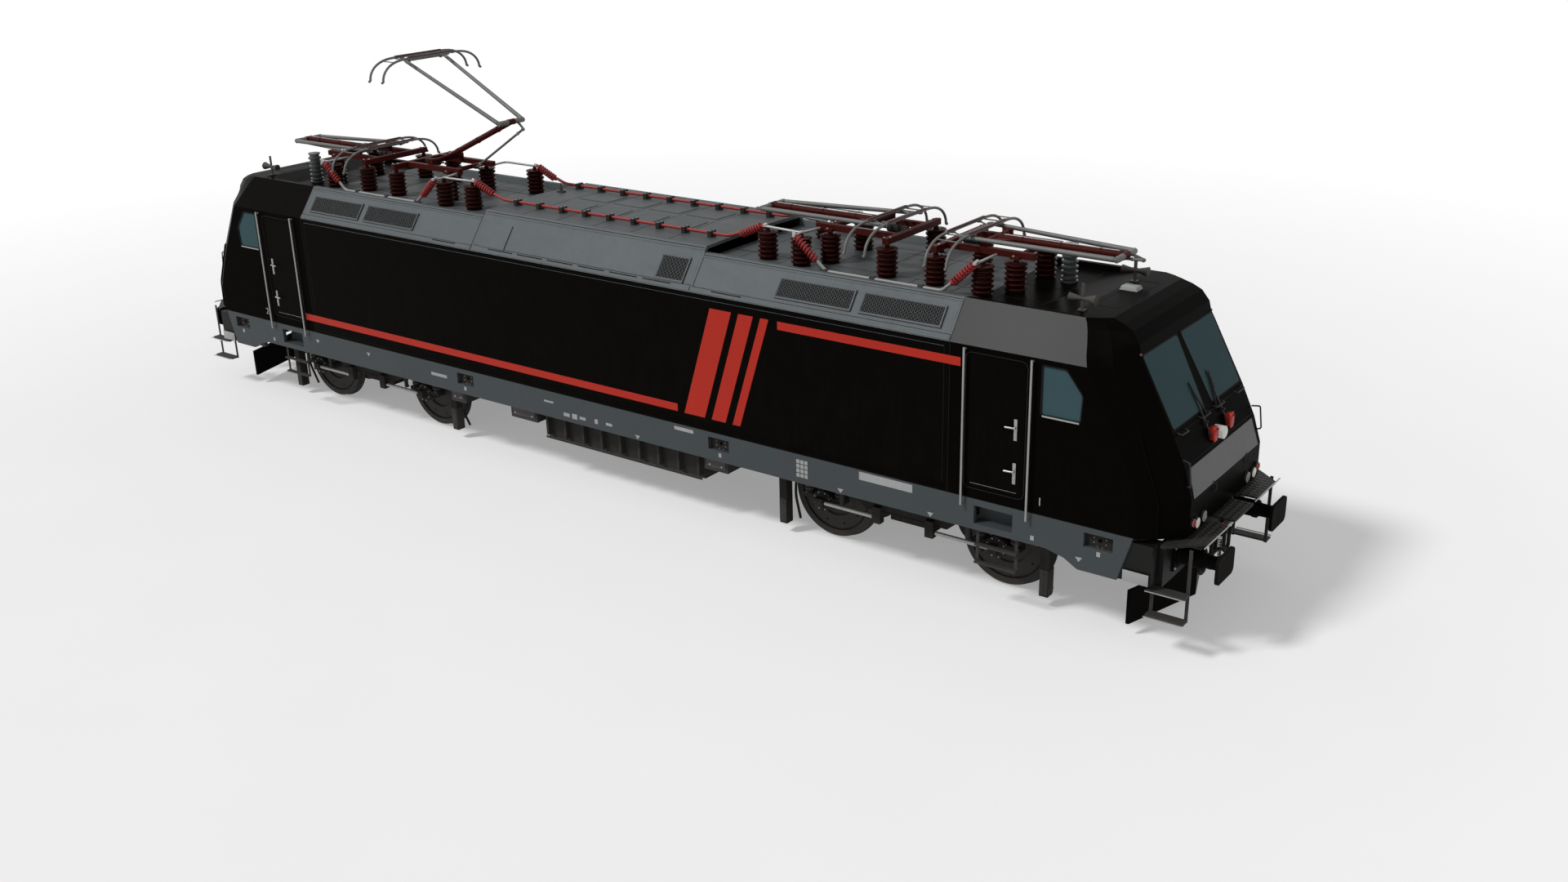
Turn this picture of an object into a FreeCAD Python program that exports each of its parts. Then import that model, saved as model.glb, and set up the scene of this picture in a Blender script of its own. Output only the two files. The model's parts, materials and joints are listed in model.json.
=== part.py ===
import FreeCAD, Part
import math
import os
import re

import Sketcher

# Four-axle electric locomotive, as an assembly of separate pieces. Millimetres.
# +X runs to cab 1, +Y to the locomotive's left, +Z up. The origin is midway between
# the bogies, on the floor under the wheel flanges. Heights chain upwards from the
# wheels: rail, axle, wheel top, deck, eave, roof.

doc = FreeCAD.newDocument("Locomotive")

# ------------------------------------------------------------------ driving dimensions
# alias, millimetres or degrees
SIZES = (
    # wheels and axles
    ("wheel_radius", 625), ("flange_depth", 28), ("flange_width", 32), ("rim_width", 135),
    ("rim_depth", 85), ("wheel_back", 680), ("web_width", 50), ("ring_width", 100),
    ("ring_inner", 330), ("ring_outer", 515), ("axle_radius", 95), ("hub_radius", 150),
    ("hub_end", 850), ("journal_radius", 65), ("journal_end", 1080),
    # bogies
    ("pivot_offset", 5280), ("axle_offset", 1320), ("beam_inner", 930), ("beam_width", 200),
    ("beam_half_length", 1950), ("beam_over_axle", 300), ("beam_depth", 180),
    ("beam_drop", 230), ("bolster_half", 350), ("bolster_drop", 100), ("pivot_radius", 80),
    ("pivot_length", 650), ("pivot_play", 5), ("spring_offset", 235), ("spring_radius", 110),
    ("seat_gap", 0.3), ("box_radius", 150), ("box_inner", 880), ("box_outer", 1110),
    ("bearing_play", 0.5), ("wing_half", 330), ("wing_height", 60), ("coil_offset", 245),
    ("coil_radius", 72), ("guide_rod_radius", 24), ("guide_rod_side", 1170),
    ("guide_bracket", 400), ("motor_radius", 300), ("motor_offset", 550), ("motor_half", 600),
    ("motor_nose", 110), ("guard_thick", 120), ("guard_inner", 960), ("guard_width", 140),
    ("guard_clear", 120),
    # underframe
    ("wheel_headroom", 60), ("deck_thick", 62), ("body_half_width", 1489), ("wall", 60),
    ("sole_depth", 410), ("sole_end_depth", 575), ("sole_half_straight", 7460),
    ("sole_dip", 7880), ("sole_dip_end", 8380), ("sole_end", 8550), ("beam_face", 8860),
    ("beam_plate", 60), ("beam_half", 1290), ("beam_height", 560), ("skirt_end", 8790),
    ("pocket_top", 75), ("pocket_foot", 255), ("socket_plate", 12), ("socket_boss", 70),
    ("socket_floor", 5), ("socket_radius", 30), ("socket_depth", 40),
    # body
    ("room_half", 6100), ("wall_height", 1940), ("slope_run", 349), ("slope_rise", 460),
    ("parapet", 70), ("well_depth", 80), ("well_end", 6950), ("well_ramp", 500),
    ("middle_half", 2100), ("middle_run", 410), ("middle_rise", 540), ("crown", 25),
    ("hood_thick", 45), ("grille_thick", 15), ("cab_front", 9055), ("cab_wall", 60),
    ("cab_floor", 40),
    # doors and windows
    ("door_inset", 240), ("door_width", 790), ("door_sill", 145), ("door_head", 90),
    ("door_gap", 10), ("knuckle_height", 90), ("pin_radius", 6),
    ("pin_play", 0.3), ("eye_radius", 14), ("door_corner", 60), ("window_corner", 35),
    ("desk_height", 760), ("seat_side", 520), ("window_start", 1230),
    ("window_length", 490), ("window_sill", 1270),
    ("window_head", 80), ("screen_sill", 1220), ("screen_head", 80), ("screen_half", 1010),
    ("pillar_top", 59), ("pillar_foot", 121), ("glass_thick", 12), ("glass_inset", 10),
    ("pane_play", 0.4),
    # pantographs
    ("foot_inner", 4130), ("foot_outer", 5880), ("lower_arm", 1720), ("upper_arm", 2009),
    ("arm_radius", 45), ("upper_radius", 24), ("knuckle_radius_tube", 28),
    ("knuckle_half", 250), ("apex_half", 400), ("apex_radius", 20), ("raised_angle", 24.5),
    ("fold_ratio", 1.967), ("folded_rise", 1.5), ("rod_foot", 600), ("rod_drop", 102),
    ("rod_length", 1316), ("rod_low_angle", 2.2), ("rod_ratio", 1.215), ("rod_side", 85),
    ("rod_radius", 18), ("tail_length", 200), ("tail_angle", 15), ("strip_offset", 150),
    ("strip_half", 560), ("strip_height", 75), ("horn_reach", 1000), ("horn_drop", 270),
    ("shaft_half", 285), ("shaft_radius", 40), ("turn_play", 0.4), ("journal_stub", 20),
    ("rod_pin", 8), ("rear_mount", 520),
    ("front_mount", 490), ("rear_half", 600), ("front_half", 400), ("frame_side", 350),
    ("frame_bar", 80), ("frame_width", 80), ("foot_rise", 40), ("insulator_radius", 142),
    ("insulator_core", 70), ("insulator_height", 385), ("stem_height", 35), ("stem_radius", 30),
    ("shed_count", 5), ("shed_thick", 26),
    # roof cables and busbars
    ("bus_width", 60), ("bus_thick", 12), ("sleeve_radius", 42), ("sleeve_shed", 62),
    ("cable_radius", 22), ("cable_bend", 500), ("well_bend", 150), ("cable_stand_off", 12),
    ("clamp_pitch", 465), ("cable_inset", 190),
    # below the underframe
    ("tank_start", -1000), ("tank_clear", 3230), ("tank_inset", 179), ("tank_rib", 90),
    ("tank_depth", 790), ("box_inset", 49), ("box_depth", 560),
    ("plough_clear", 150), ("plough_top", 600),
    # ends and trim
    ("buffer_face", 9450), ("buffer_side", 875), ("buffer_height", 1073), ("head_half_width", 250),
    ("head_half_height", 170), ("head_thick", 40), ("buffer_radius", 105), ("plunger_radius", 82),
    ("buffer_sleeve", 330), ("hose_side", 300), ("hose_height", 960), ("hose_loop", 80),
    ("hose_drop", 300), ("hose_bend", 65), ("hose_radius", 24), ("beam_top_stile", 1340),
    ("footboard_front", 9300), ("footboard_thick", 30), ("rail_tube", 15),
    ("rail_stand_off", 50),
)

sheet = doc.addObject("Spreadsheet::Sheet", "Sizes")
for row, (alias, number) in enumerate(SIZES, start=1):
    sheet.set(f"A{row}", alias)
    sheet.set(f"B{row}", str(number))
    sheet.setAlias(f"B{row}", alias)
doc.recompute()

ALIAS = re.compile(r"\b(" + "|".join(alias for alias, number in SIZES) + r")\b")

# Heights that follow from the driving dimensions
AXLE = "(flange_depth + wheel_radius)"
DECK_LOW = "(2 * flange_depth + 2 * wheel_radius + wheel_headroom)"
DECK = f"({DECK_LOW} + deck_thick)"
EAVE = f"({DECK} + wall_height)"
ROOF = f"({EAVE} + slope_rise)"
WELL = f"({ROOF} - well_depth)"
PANTO = f"({WELL} + insulator_height + stem_height + frame_bar + foot_rise)"

ENDS = ((1, 1), (2, -1))        # cab number, sign along X
SIDES = (("left", 1), ("right", -1))  # side name, sign along Y


def size(alias):
    """One cell of the sheet as a number."""
    return float(sheet.get(alias))


# ------------------------------------------------------------------ building helpers
def bind(feature, prop, rule):
    """Tie a property to a rule written with the sheet's aliases."""
    feature.setExpression(prop, ALIAS.sub(r"Sizes.\1", str(rule)))


def both_ways(low, high, sign):
    """A span on the positive side, or its mirror image."""
    return (low, high) if sign > 0 else (f"-({high})", f"-({low})")


def place(feature, x="0", y="0", z="0", axis=(0, 0, 1), angle=0):
    """Put a feature at three rules, turned about an axis by a fixed angle."""
    turn = FreeCAD.Rotation(FreeCAD.Vector(*axis), angle)
    feature.Placement = FreeCAD.Placement(FreeCAD.Vector(), turn)
    for letter, rule in zip("xyz", (x, y, z)):
        bind(feature, f"Placement.Base.{letter}", rule)
    return feature


def box(name, x, y, z):
    """A block between a low and a high rule on each axis."""
    block = doc.addObject("Part::Box", name)
    for prop, (low, high) in zip(("Length", "Width", "Height"), (x, y, z)):
        bind(block, prop, f"({high}) - ({low})")
    return place(block, x[0], y[0], z[0])


TURNS = {"X": ((0, 1, 0), 90), "Y": ((1, 0, 0), -90), "Z": ((0, 0, 1), 0)}


def rod(name, axis, start, length, radius):
    """A cylinder from a start point along +X, +Y or +Z."""
    bar = doc.addObject("Part::Cylinder", name)
    bind(bar, "Radius", radius)
    bind(bar, "Height", length)
    return place(bar, *start, *TURNS[axis])


def cone(name, axis, start, length, radius_1, radius_2):
    """A cone from a start point along +X, +Y or +Z."""
    taper = doc.addObject("Part::Cone", name)
    bind(taper, "Radius1", radius_1)
    bind(taper, "Radius2", radius_2)
    bind(taper, "Height", length)
    return place(taper, *start, *TURNS[axis])


def draw_outline(sketch, corners):
    """Fill a sketch with a closed loop of lines, each corner held by two rules."""
    count = len(corners)
    circle = [2 * math.pi * index / count for index in range(count)]
    start = [FreeCAD.Vector(100 * math.cos(turn), 100 * math.sin(turn), 0) for turn in circle]
    for index in range(count):
        sketch.addGeometry(Part.LineSegment(start[index], start[(index + 1) % count]), False)
    for index in range(count):
        sketch.addConstraint(Sketcher.Constraint("Coincident", index, 2, (index + 1) % count, 1))
    for index, corner in enumerate(corners):
        for kind, rule, guess in zip(("DistanceX", "DistanceY"), corner, start[index]):
            number = sketch.addConstraint(Sketcher.Constraint(kind, -1, 1, index, 1, guess))
            bind(sketch, f"Constraints[{number}]", rule)


def outline(body, plane, corners, offset):
    """A closed sketch on one of a body's own planes."""
    sketch = body.newObject("Sketcher::SketchObject", body.Name + "Outline")
    origin = [item for item in body.Origin.OriginFeatures if item.Role == plane + "_Plane"]
    sketch.AttachmentSupport = [(origin[0], "")]
    sketch.MapMode = "FlatFace"
    bind(sketch, "AttachmentOffset.Base.z", offset)
    draw_outline(sketch, corners)
    return sketch


def prism(name, plane, corners, low, high):
    """An outline in a plane, padded along the plane's axis from low to high."""
    body = doc.addObject("PartDesign::Body", name)
    # the XZ plane faces -Y, so its pad starts at the high end
    sketch = outline(body, plane, corners, f"-({high})" if plane == "XZ" else low)
    pad = body.newObject("PartDesign::Pad", name + "Pad")
    pad.Profile = sketch
    bind(pad, "Length", f"({high}) - ({low})")
    body.Tip = pad
    return body


def spun(name, plane, corners, axis):
    """An outline turned fully round one of its own sketch axes, H_Axis or V_Axis."""
    body = doc.addObject("PartDesign::Body", name)
    sketch = outline(body, plane, corners, "0")
    turned = body.newObject("PartDesign::Revolution", name + "Turned")
    turned.Profile = sketch
    turned.ReferenceAxis = (sketch, [axis])
    turned.Angle = 360
    body.Tip = turned
    return body


def joined(name, pieces):
    """One solid fused from touching pieces."""
    fusion = doc.addObject("Part::MultiFuse", name)
    fusion.Shapes = pieces
    fusion.Refine = True
    return fusion


def group(name, pieces):
    """Pieces of one kind that don't touch, kept as separate solids."""
    bundle = doc.addObject("Part::Compound", name)
    bundle.Links = pieces
    return bundle


def cut(name, base, tools):
    """A base with every tool taken out of it."""
    removal = doc.addObject("Part::Cut", name)
    removal.Base = base
    removal.Tool = tools[0] if len(tools) == 1 else group(name + "Tools", tools)
    return removal


def common(name, pieces):
    """What all the pieces share."""
    shared = doc.addObject("Part::MultiCommon", name)
    shared.Shapes = pieces
    return shared


def mirrored(name, source, normal=(1, 0, 0)):
    """A mirror image through the origin."""
    image = doc.addObject("Part::Mirroring", name)
    image.Source = source
    image.Normal = FreeCAD.Vector(*normal)
    return image


def placed(name, source, x="0", y="0", z="0", axis=(0, 0, 1), angle=0):
    """Another example of a piece, somewhere else."""
    return place(group(name, [source]), x, y, z, axis, angle)


def fixed_shape(name, shape):
    """A piece whose shape is worked out below from the sheet's numbers."""
    piece = doc.addObject("Part::Feature", name)
    piece.Shape = shape
    return piece


def bent_tube(name, corners, bend, radius):
    """A round cable through corner points: straight runs joined by tangent arcs."""
    points = [FreeCAD.Vector(*corner) for corner in corners]
    edges, last = [], points[0]
    for before, corner, after in zip(points, points[1:], points[2:]):
        inward = (corner - before).normalize()
        outward = (after - corner).normalize()
        half_turn = inward.getAngle(outward) / 2
        start = corner - inward * (bend * math.tan(half_turn))
        end = corner + outward * (bend * math.tan(half_turn))
        bulge = (outward - inward).normalize() * (bend / math.cos(half_turn) - bend)
        edges.append(Part.LineSegment(last, start).toShape())
        edges.append(Part.Arc(start, corner + bulge, end).toShape())
        last = end
    edges.append(Part.LineSegment(last, points[-1]).toShape())
    wire = Part.Wire(edges)
    section = Part.Wire(Part.makeCircle(radius, points[0], points[1] - points[0]))
    tube = wire.makePipeShell([section], True, False)
    print(name, "length", round(wire.Length), "bend", bend, "volume over section",
          round(tube.Volume / (math.pi * radius ** 2)))
    return fixed_shape(name, tube)


NODES = {}


def node(name, feature):
    """Name a finished sub-part; its label is its file's name."""
    feature.Label = name
    NODES[name] = feature
    return feature


# ------------------------------------------------------------------ wheelsets
def wheelset_outline():
    """Half outline along the axle: (distance from the middle, radius)."""
    rim = "wheel_radius - rim_depth"
    web_low = "wheel_back + rim_width / 2 - web_width / 2"
    web_high = "wheel_back + rim_width / 2 + web_width / 2"
    ring_low = "wheel_back + rim_width / 2 - ring_width / 2"
    ring_high = "wheel_back + rim_width / 2 + ring_width / 2"
    return (
        ("wheel_back - 20", "axle_radius"), ("wheel_back - 20", "hub_radius"),
        (web_low, "hub_radius"), (web_low, "ring_inner"), (ring_low, "ring_inner"),
        (ring_low, "ring_outer"), (web_low, "ring_outer"), (web_low, rim),
        ("wheel_back", rim), ("wheel_back", "wheel_radius + flange_depth"),
        ("wheel_back + flange_width", "wheel_radius + flange_depth"),
        ("wheel_back + flange_width + 14", "wheel_radius"),
        ("wheel_back + rim_width", "wheel_radius"), ("wheel_back + rim_width", rim),
        (web_high, rim), (web_high, "ring_outer"), (ring_high, "ring_outer"),
        (ring_high, "ring_inner"), (web_high, "ring_inner"), (web_high, "hub_radius"),
        ("hub_end", "hub_radius"), ("hub_end", "journal_radius"),
        ("journal_end", "journal_radius"),
    )


half = wheelset_outline()
far_half = [(radius, distance) for distance, radius in half]
near_half = [(radius, f"-({distance})") for distance, radius in reversed(half)]
wheelset = spun("WheelsetForm", "XY",
                [("0", "-journal_end"), *near_half, *far_half, ("0", "journal_end")], "V_Axis")

AXLES = ((1, 1, 1), (2, 1, -1), (3, -1, 1), (4, -1, -1))  # number, end, sign in its bogie


def axle_place(end, sign):
    """Rule for an axle's place along X."""
    return f"({end}) * pivot_offset + ({sign}) * axle_offset"


for number, end, sign in AXLES:
    node(f"wheelset_{number}",
         placed(f"Wheelset{number}", wheelset, axle_place(end, sign), "0", AXLE))


# ------------------------------------------------------------------ bogies
def bogie_frame():
    """Side beams, bolster, guide brackets, body springs and rail guards as one weldment."""
    low, high = f"{AXLE} + beam_over_axle", f"{AXLE} + beam_over_axle + beam_depth"
    dip_low, dip_high = f"{low} - beam_drop", f"{high} - beam_drop"
    side = (("-beam_half_length", low), ("-900", low), ("-620", dip_low), ("620", dip_low),
            ("900", low), ("beam_half_length", low), ("beam_half_length", high),
            ("800", high), ("540", dip_high), ("-540", dip_high), ("-800", high),
            ("-beam_half_length", high))
    pieces = [box("Bolster", ("-bolster_half", "bolster_half"), ("-beam_inner", "beam_inner"),
                  (f"{AXLE} - bolster_drop", dip_high))]
    for label, sign in SIDES:
        pieces.append(prism(f"Beam{label}", "XZ", side,
                            *both_ways("beam_inner", "beam_inner + beam_width", sign)))
        middle = f"{sign} * (beam_inner + beam_width / 2)"
        for offset in (-1, 1):
            pieces.append(rod(f"BodySpring{label}{offset + 1}", "Z",
                              (f"{offset} * spring_offset", middle, dip_high),
                              f"{DECK_LOW} - seat_gap - ({dip_high})", "spring_radius"))
            face = (f"{offset} * guide_bracket - 60", f"{offset} * guide_bracket + 60")
            pieces.append(box(f"GuideBracket{label}{offset + 1}", face,
                              both_ways("beam_inner + beam_width - 20", "guide_rod_side + 45",
                                        sign),
                              (f"{AXLE} - 70", f"{dip_low} + 90")))
            guard_face = "beam_half_length - 20"
            pieces.append(box(f"RailGuard{label}{offset + 1}",
                              both_ways(guard_face, f"{guard_face} + guard_thick", offset),
                              both_ways("guard_inner", "guard_inner + guard_width", sign),
                              ("flange_depth + guard_clear", high)))
    bore = rod("PivotBore", "Z", ("0", "0", f"{AXLE} - bolster_drop - 10"),
               "bolster_drop + beam_over_axle + beam_depth + 20",
               "pivot_radius + pivot_play")
    return cut("BogieFrameForm", joined("BogieWeldment", pieces), [bore])


def axle_box(sign, side):
    """One axle box with its springs and guide rod, round the journal of an axle."""
    def across(low, high):
        """A span across the axle on this box's side."""
        return both_ways(low, high, side)

    tag = f"{(sign + 1) // 2}{(side + 1) // 2}"
    axle = f"{sign} * axle_offset"
    inner, outer = across("box_inner", "box_outer")
    shell = rod(f"BoxShell{tag}", "Y", (axle, inner, AXLE), "box_outer - box_inner", "box_radius")
    wing = box(f"BoxWing{tag}", (f"{axle} - wing_half", f"{axle} + wing_half"),
               across("box_inner + 70", "box_outer"), (AXLE, f"{AXLE} + wing_height"))
    lug = box(f"BoxLug{tag}", (f"{axle} - 60", f"{axle} + 60"),
              across("box_outer - 30", "guide_rod_side + 45"), (f"{AXLE} - 60", f"{AXLE} + 60"))
    pieces = [shell, wing, lug]
    for offset in (-1, 1):
        pieces.append(rod(f"Coil{tag}{offset + 1}", "Z",
                          (f"{axle} + {offset} * coil_offset",
                           f"{side} * (beam_inner + beam_width / 2)", f"{AXLE} + wing_height"),
                          "beam_over_axle - wing_height", "coil_radius"))
    low, high = "guide_bracket + 60", "axle_offset - 40"
    start = low if sign > 0 else f"-({high})"
    pieces.append(rod(f"GuideRod{tag}", "X", (start, f"{side} * guide_rod_side", AXLE),
                      f"({high}) - ({low})", "guide_rod_radius"))
    bore_start = across("box_inner - 10", "journal_end + 5")[0]
    bore = rod(f"JournalBore{tag}", "Y", (axle, bore_start, AXLE),
               "journal_end + 15 - box_inner", "journal_radius + bearing_play")
    return cut(f"AxleBox{tag}", joined(f"AxleBoxBody{tag}", pieces), [bore])


def motor(sign):
    """A transverse traction motor with the nose that hangs it on the bolster."""
    centre = f"{sign} * (axle_offset - motor_offset)"
    drum = rod(f"MotorDrum{sign + 1}", "Y", (centre, "-motor_half", AXLE), "2 * motor_half",
               "motor_radius")
    nose = ("bolster_half", "axle_offset - motor_offset")
    if sign < 0:
        nose = tuple(f"-({edge})" for edge in reversed(nose))
    lug = box(f"MotorNose{sign + 1}", nose, ("-300", "300"),
              (f"{AXLE} - bolster_drop", f"{AXLE} - bolster_drop + 2 * motor_nose"))
    return joined(f"Motor{sign + 1}", [drum, lug])


frame_form = bogie_frame()
boxes_form = group("AxleBoxesForm", [axle_box(sign, side) for sign in (-1, 1) for side in (-1, 1)])
motors_form = group("MotorsForm", [motor(sign) for sign in (-1, 1)])
for cab, end in ENDS:
    for suffix, form in (("frame", frame_form), ("axle_boxes", boxes_form),
                         ("motors", motors_form)):
        node(f"bogie_{cab}_{suffix}",
             placed(f"Bogie{cab}{suffix}", form, f"({end}) * pivot_offset"))


# ------------------------------------------------------------------ underframe
POCKETS = ((8130, 185), (2500, 180))   # jacking pockets: place along X, half length
STEP_POCKET = (6745, 265)              # step pocket under each door: place, half length


def underframe():
    """Deck, sole bars, buffer beams, pivots and corner skirts as one weldment."""
    deck_end = (("sole_end", "body_half_width - wall"), ("beam_face", "beam_half - 260"))
    corners = [*deck_end, *[(x, f"-({y})") for x, y in reversed(deck_end)]]
    corners += [(f"-({x})", f"-({y})") for x, y in deck_end]
    corners += [(f"-({x})", y) for x, y in reversed(deck_end)]
    pieces = [prism("Deck", "XY", corners, DECK_LOW, DECK)]
    low, dip = f"{DECK} - sole_depth", f"{DECK} - sole_end_depth"
    half = (("sole_half_straight", low), ("sole_half_straight + 240", f"{low} - 60"),
            ("sole_dip", dip), ("sole_dip_end", dip), ("sole_end", DECK))
    bar = [*half, *[(f"-({x})", z) for x, z in reversed(half)]]
    tools = []
    for label, sign in SIDES:
        span = both_ways("body_half_width - wall", "body_half_width", sign)
        pieces.append(prism(f"SoleBar{label}", "XZ", bar, *span))
        for cab, end in ENDS:
            tread = f"{end} * {STEP_POCKET[0]}"
            x = (f"{tread} - {STEP_POCKET[1]}", f"{tread} + {STEP_POCKET[1]}")
            tools.append(box(f"StepHole{label}{cab}", x,
                             both_ways("body_half_width - wall - 5", "body_half_width + 5", sign),
                             (f"{DECK} - 330", f"{DECK} - 90")))
            ledge = (f"{tread} - {STEP_POCKET[1]} - 20", f"{tread} + {STEP_POCKET[1]} + 20")
            back = "body_half_width - wall - 130"
            pieces.append(box(f"StepTread{label}{cab}", ledge,
                              both_ways(back, "body_half_width - wall", sign),
                              (f"{DECK} - 360", f"{DECK} - 330")))
            pieces.append(box(f"StepBack{label}{cab}", ledge,
                              both_ways(f"{back} - 20", back, sign),
                              (f"{DECK} - 360", DECK_LOW)))
            for place_x, half_length in POCKETS:
                middle = f"{end} * {place_x}"
                tools.append(box(f"JackPocket{label}{cab}{place_x}",
                                 (f"{middle} - {half_length}", f"{middle} + {half_length}"),
                                 both_ways("body_half_width - wall - 5",
                                           "body_half_width + 5", sign),
                                 (f"{DECK} - pocket_foot", f"{DECK} - pocket_top")))
    for cab, end in ENDS:
        x = both_ways("beam_face - beam_plate", "beam_face", end)
        pieces.append(box(f"BufferBeam{cab}", x, ("-beam_half", "beam_half"),
                          (f"{DECK_LOW} - beam_height", DECK_LOW)))
        for label, sign in SIDES:
            pieces.append(box(f"BeamCheek{cab}{label}",
                              both_ways("sole_dip", "beam_face - beam_plate", end),
                              both_ways("beam_half - 60", "beam_half", sign),
                              (f"{DECK_LOW} - beam_height", DECK_LOW)))
            skirt = (("sole_dip_end - 60", f"{DECK} - sole_end_depth + 15"),
                     ("skirt_end", f"{DECK} - sole_end_depth + 15"),
                     ("skirt_end", DECK_LOW), ("sole_dip_end - 60", DECK_LOW))
            skirt = skirt if end > 0 else [(f"-({x})", z) for x, z in skirt]
            pieces.append(prism(f"Skirt{cab}{label}", "XZ", skirt,
                                *both_ways("body_half_width - 2 * wall", "body_half_width - 25",
                                           sign)))
        pieces.append(rod(f"Pivot{cab}", "Z",
                          (f"{end} * pivot_offset", "0", f"{DECK_LOW} - pivot_length"),
                          "pivot_length + deck_thick / 2", "pivot_radius"))
    return cut("Underframe", joined("UnderframeWeldment", pieces), tools)


def lifting_socket(label, sign, cab, end, place_x, half_length):
    """A plate that closes a pocket from behind, with a blind round lifting socket in it."""
    tag = f"{label}{cab}{place_x}"
    middle = f"{end} * {place_x}"
    face = "body_half_width - wall - seat_gap"
    level = f"{DECK} - (pocket_top + pocket_foot) / 2"
    plate = box(f"SocketPlate{tag}",
                (f"{middle} - {half_length} - 4", f"{middle} + {half_length} + 4"),
                both_ways(f"{face} - socket_plate", face, sign),
                (f"{DECK} - pocket_foot - 12", f"{DECK} - pocket_top + 10"))
    boss_back = f"{face} - socket_depth - socket_floor"
    boss = rod(f"SocketBoss{tag}", "Y", (middle, both_ways(boss_back, face, sign)[0], level),
               "socket_depth + socket_floor", "socket_boss")
    bore = rod(f"SocketBore{tag}", "Y",
               (middle, both_ways(f"{face} - socket_depth", face, sign)[0], level),
               "socket_depth", "socket_radius")
    return cut(f"Socket{tag}", joined(f"SocketSolid{tag}", [plate, boss]), [bore])


node("underframe", underframe())
node("lifting_sockets", group("Sockets", [
    lifting_socket(label, sign, cab, end, *pocket)
    for label, sign in SIDES for cab, end in ENDS for pocket in POCKETS]))


# ------------------------------------------------------------------ machine room and roof
def room_walls():
    """Both side walls and the two cab bulkheads, one hollow weldment."""
    pieces = []
    for label, sign in SIDES:
        pieces.append(box(f"SideWall{label}", ("-room_half", "room_half"),
                          both_ways("body_half_width - wall", "body_half_width", sign),
                          (DECK, EAVE)))
    for cab, end in ENDS:
        pieces.append(box(f"Bulkhead{cab}", both_ways("room_half - wall", "room_half", end),
                          ("wall - body_half_width", "body_half_width - wall"), (DECK, EAVE)))
    return joined("RoomWalls", pieces)


def hood_outline(run, rise, parapet, well):
    """Closed outline of a roof hood across the locomotive, as a shell."""
    top = f"{EAVE} + {rise}"
    half = [("body_half_width", EAVE), (f"body_half_width - {run}", top)]
    inside = [("0", f"{top} + crown - hood_thick"),
              (f"body_half_width - {run} - 30", f"{top} - hood_thick"),
              ("body_half_width - hood_thick - 12", EAVE)]
    if parapet:
        half += [(f"body_half_width - {run} - parapet", top),
                 (f"body_half_width - {run} - parapet - 20", f"{top} - {well}"),
                 ("0", f"{top} - {well}")]
        inside = [("0", f"{top} - {well} - hood_thick"),
                  (f"body_half_width - {run} - 30", f"{top} - {well} - hood_thick"),
                  ("body_half_width - hood_thick - 12", EAVE)]
    else:
        half += [("0", f"{top} + crown")]
    mirror_half = [(f"-({y})", z) for y, z in reversed(half[:-1])]
    mirror_inside = [(f"-({y})", z) for y, z in reversed(inside[1:])]
    return [*half, *mirror_half, *mirror_inside, *inside]



node("machine_room_walls", room_walls())


def hood_pair(name, form):
    """A hood over the far half of a pair of lengths, and its mirror image."""
    return group(name, [form, mirrored(name + "Mirror", form)])


end_hood = prism("EndHood", "YZ", hood_outline("slope_run", "slope_rise", True, "well_depth"),
                 "middle_half", "room_half")
node("end_roof_hoods", hood_pair("EndHoods", end_hood))
node("middle_roof_hood",
     prism("MiddleHood", "YZ", hood_outline("middle_run", "middle_rise", False, "0"),
           "-middle_half", "middle_half"))

# Intake grilles on the sloping edges: start and end along X, low and high share of the slope
GRILLES = ((3450, 4620, 0.24, 0.74), (4740, 5920, 0.24, 0.74), (1450, 1940, 0.15, 0.70))


def grille(number, start, end, low, high):
    """A thin panel lying on the slope of a hood."""
    foot = (f"body_half_width - {low} * slope_run", f"{EAVE} + {low} * slope_rise")
    head = (f"body_half_width - {high} * slope_run", f"{EAVE} + {high} * slope_rise")

    def lifted(point, height):
        """The point moved off the slope, along its normal."""
        slope = "sqrt(slope_run ^ 2 + slope_rise ^ 2)"
        return (f"{point[0]} + ({height}) * slope_rise / {slope}",
                f"{point[1]} + ({height}) * slope_run / {slope}")

    thick = "seat_gap + grille_thick"
    corners = [lifted(foot, "seat_gap"), lifted(foot, thick), lifted(head, thick),
               lifted(head, "seat_gap")]
    return prism(f"Grille{number}", "YZ", corners, str(start), str(end))


near_grilles = group("GrillesOneCorner", [grille(number, *row) for number, row in enumerate(GRILLES)])
side_grilles = group("GrillesOneSide", [near_grilles, mirrored("GrillesMirror", near_grilles)])
node("roof_grilles", group("Grilles", [side_grilles,
                                      mirrored("GrillesOther", side_grilles, (0, 1, 0))]))


# ------------------------------------------------------------------ cabs
# Horizontal sections through a cab. height: share of the wall below the eave (up to 1) or,
# above it, 1 + the share of the roof's rise. Set-backs from the cab's front: crease where
# the side plane ends, rib on the bevel, front corner; with half widths of rib and front.
CAB_SECTIONS = (
    # height, crease, rib, rib_half, front, front_half
    (0.000, 476, 259, 1350, 0, 1100),
    (0.230, 485, 263, 1350, 0, 1090),
    (0.402, 611, 386, 1340, 100, 1075),
    (0.598, 780, 533, 1330, 275, 1065),
    (1.000, 1187, 944, 1324, 691, 1050),
    (1.217, 1235, 980, 1265, 744, 1040),
    (1.478, 1275, 1029, 1205, 772, 1030),
    (1.761, 1325, 1101, 1135, 869, 1010),
    (1.900, 1360, 1180, 1105, 990, 995),
    (2.000, 1395, 1265, 1075, 1125, 980),
)


def section_sketch(name, corners, height):
    """A horizontal closed outline of straight lines at a height."""
    sketch = doc.addObject("Sketcher::SketchObject", name)
    bind(sketch, "Placement.Base.z", height)
    draw_outline(sketch, corners)
    return sketch


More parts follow.
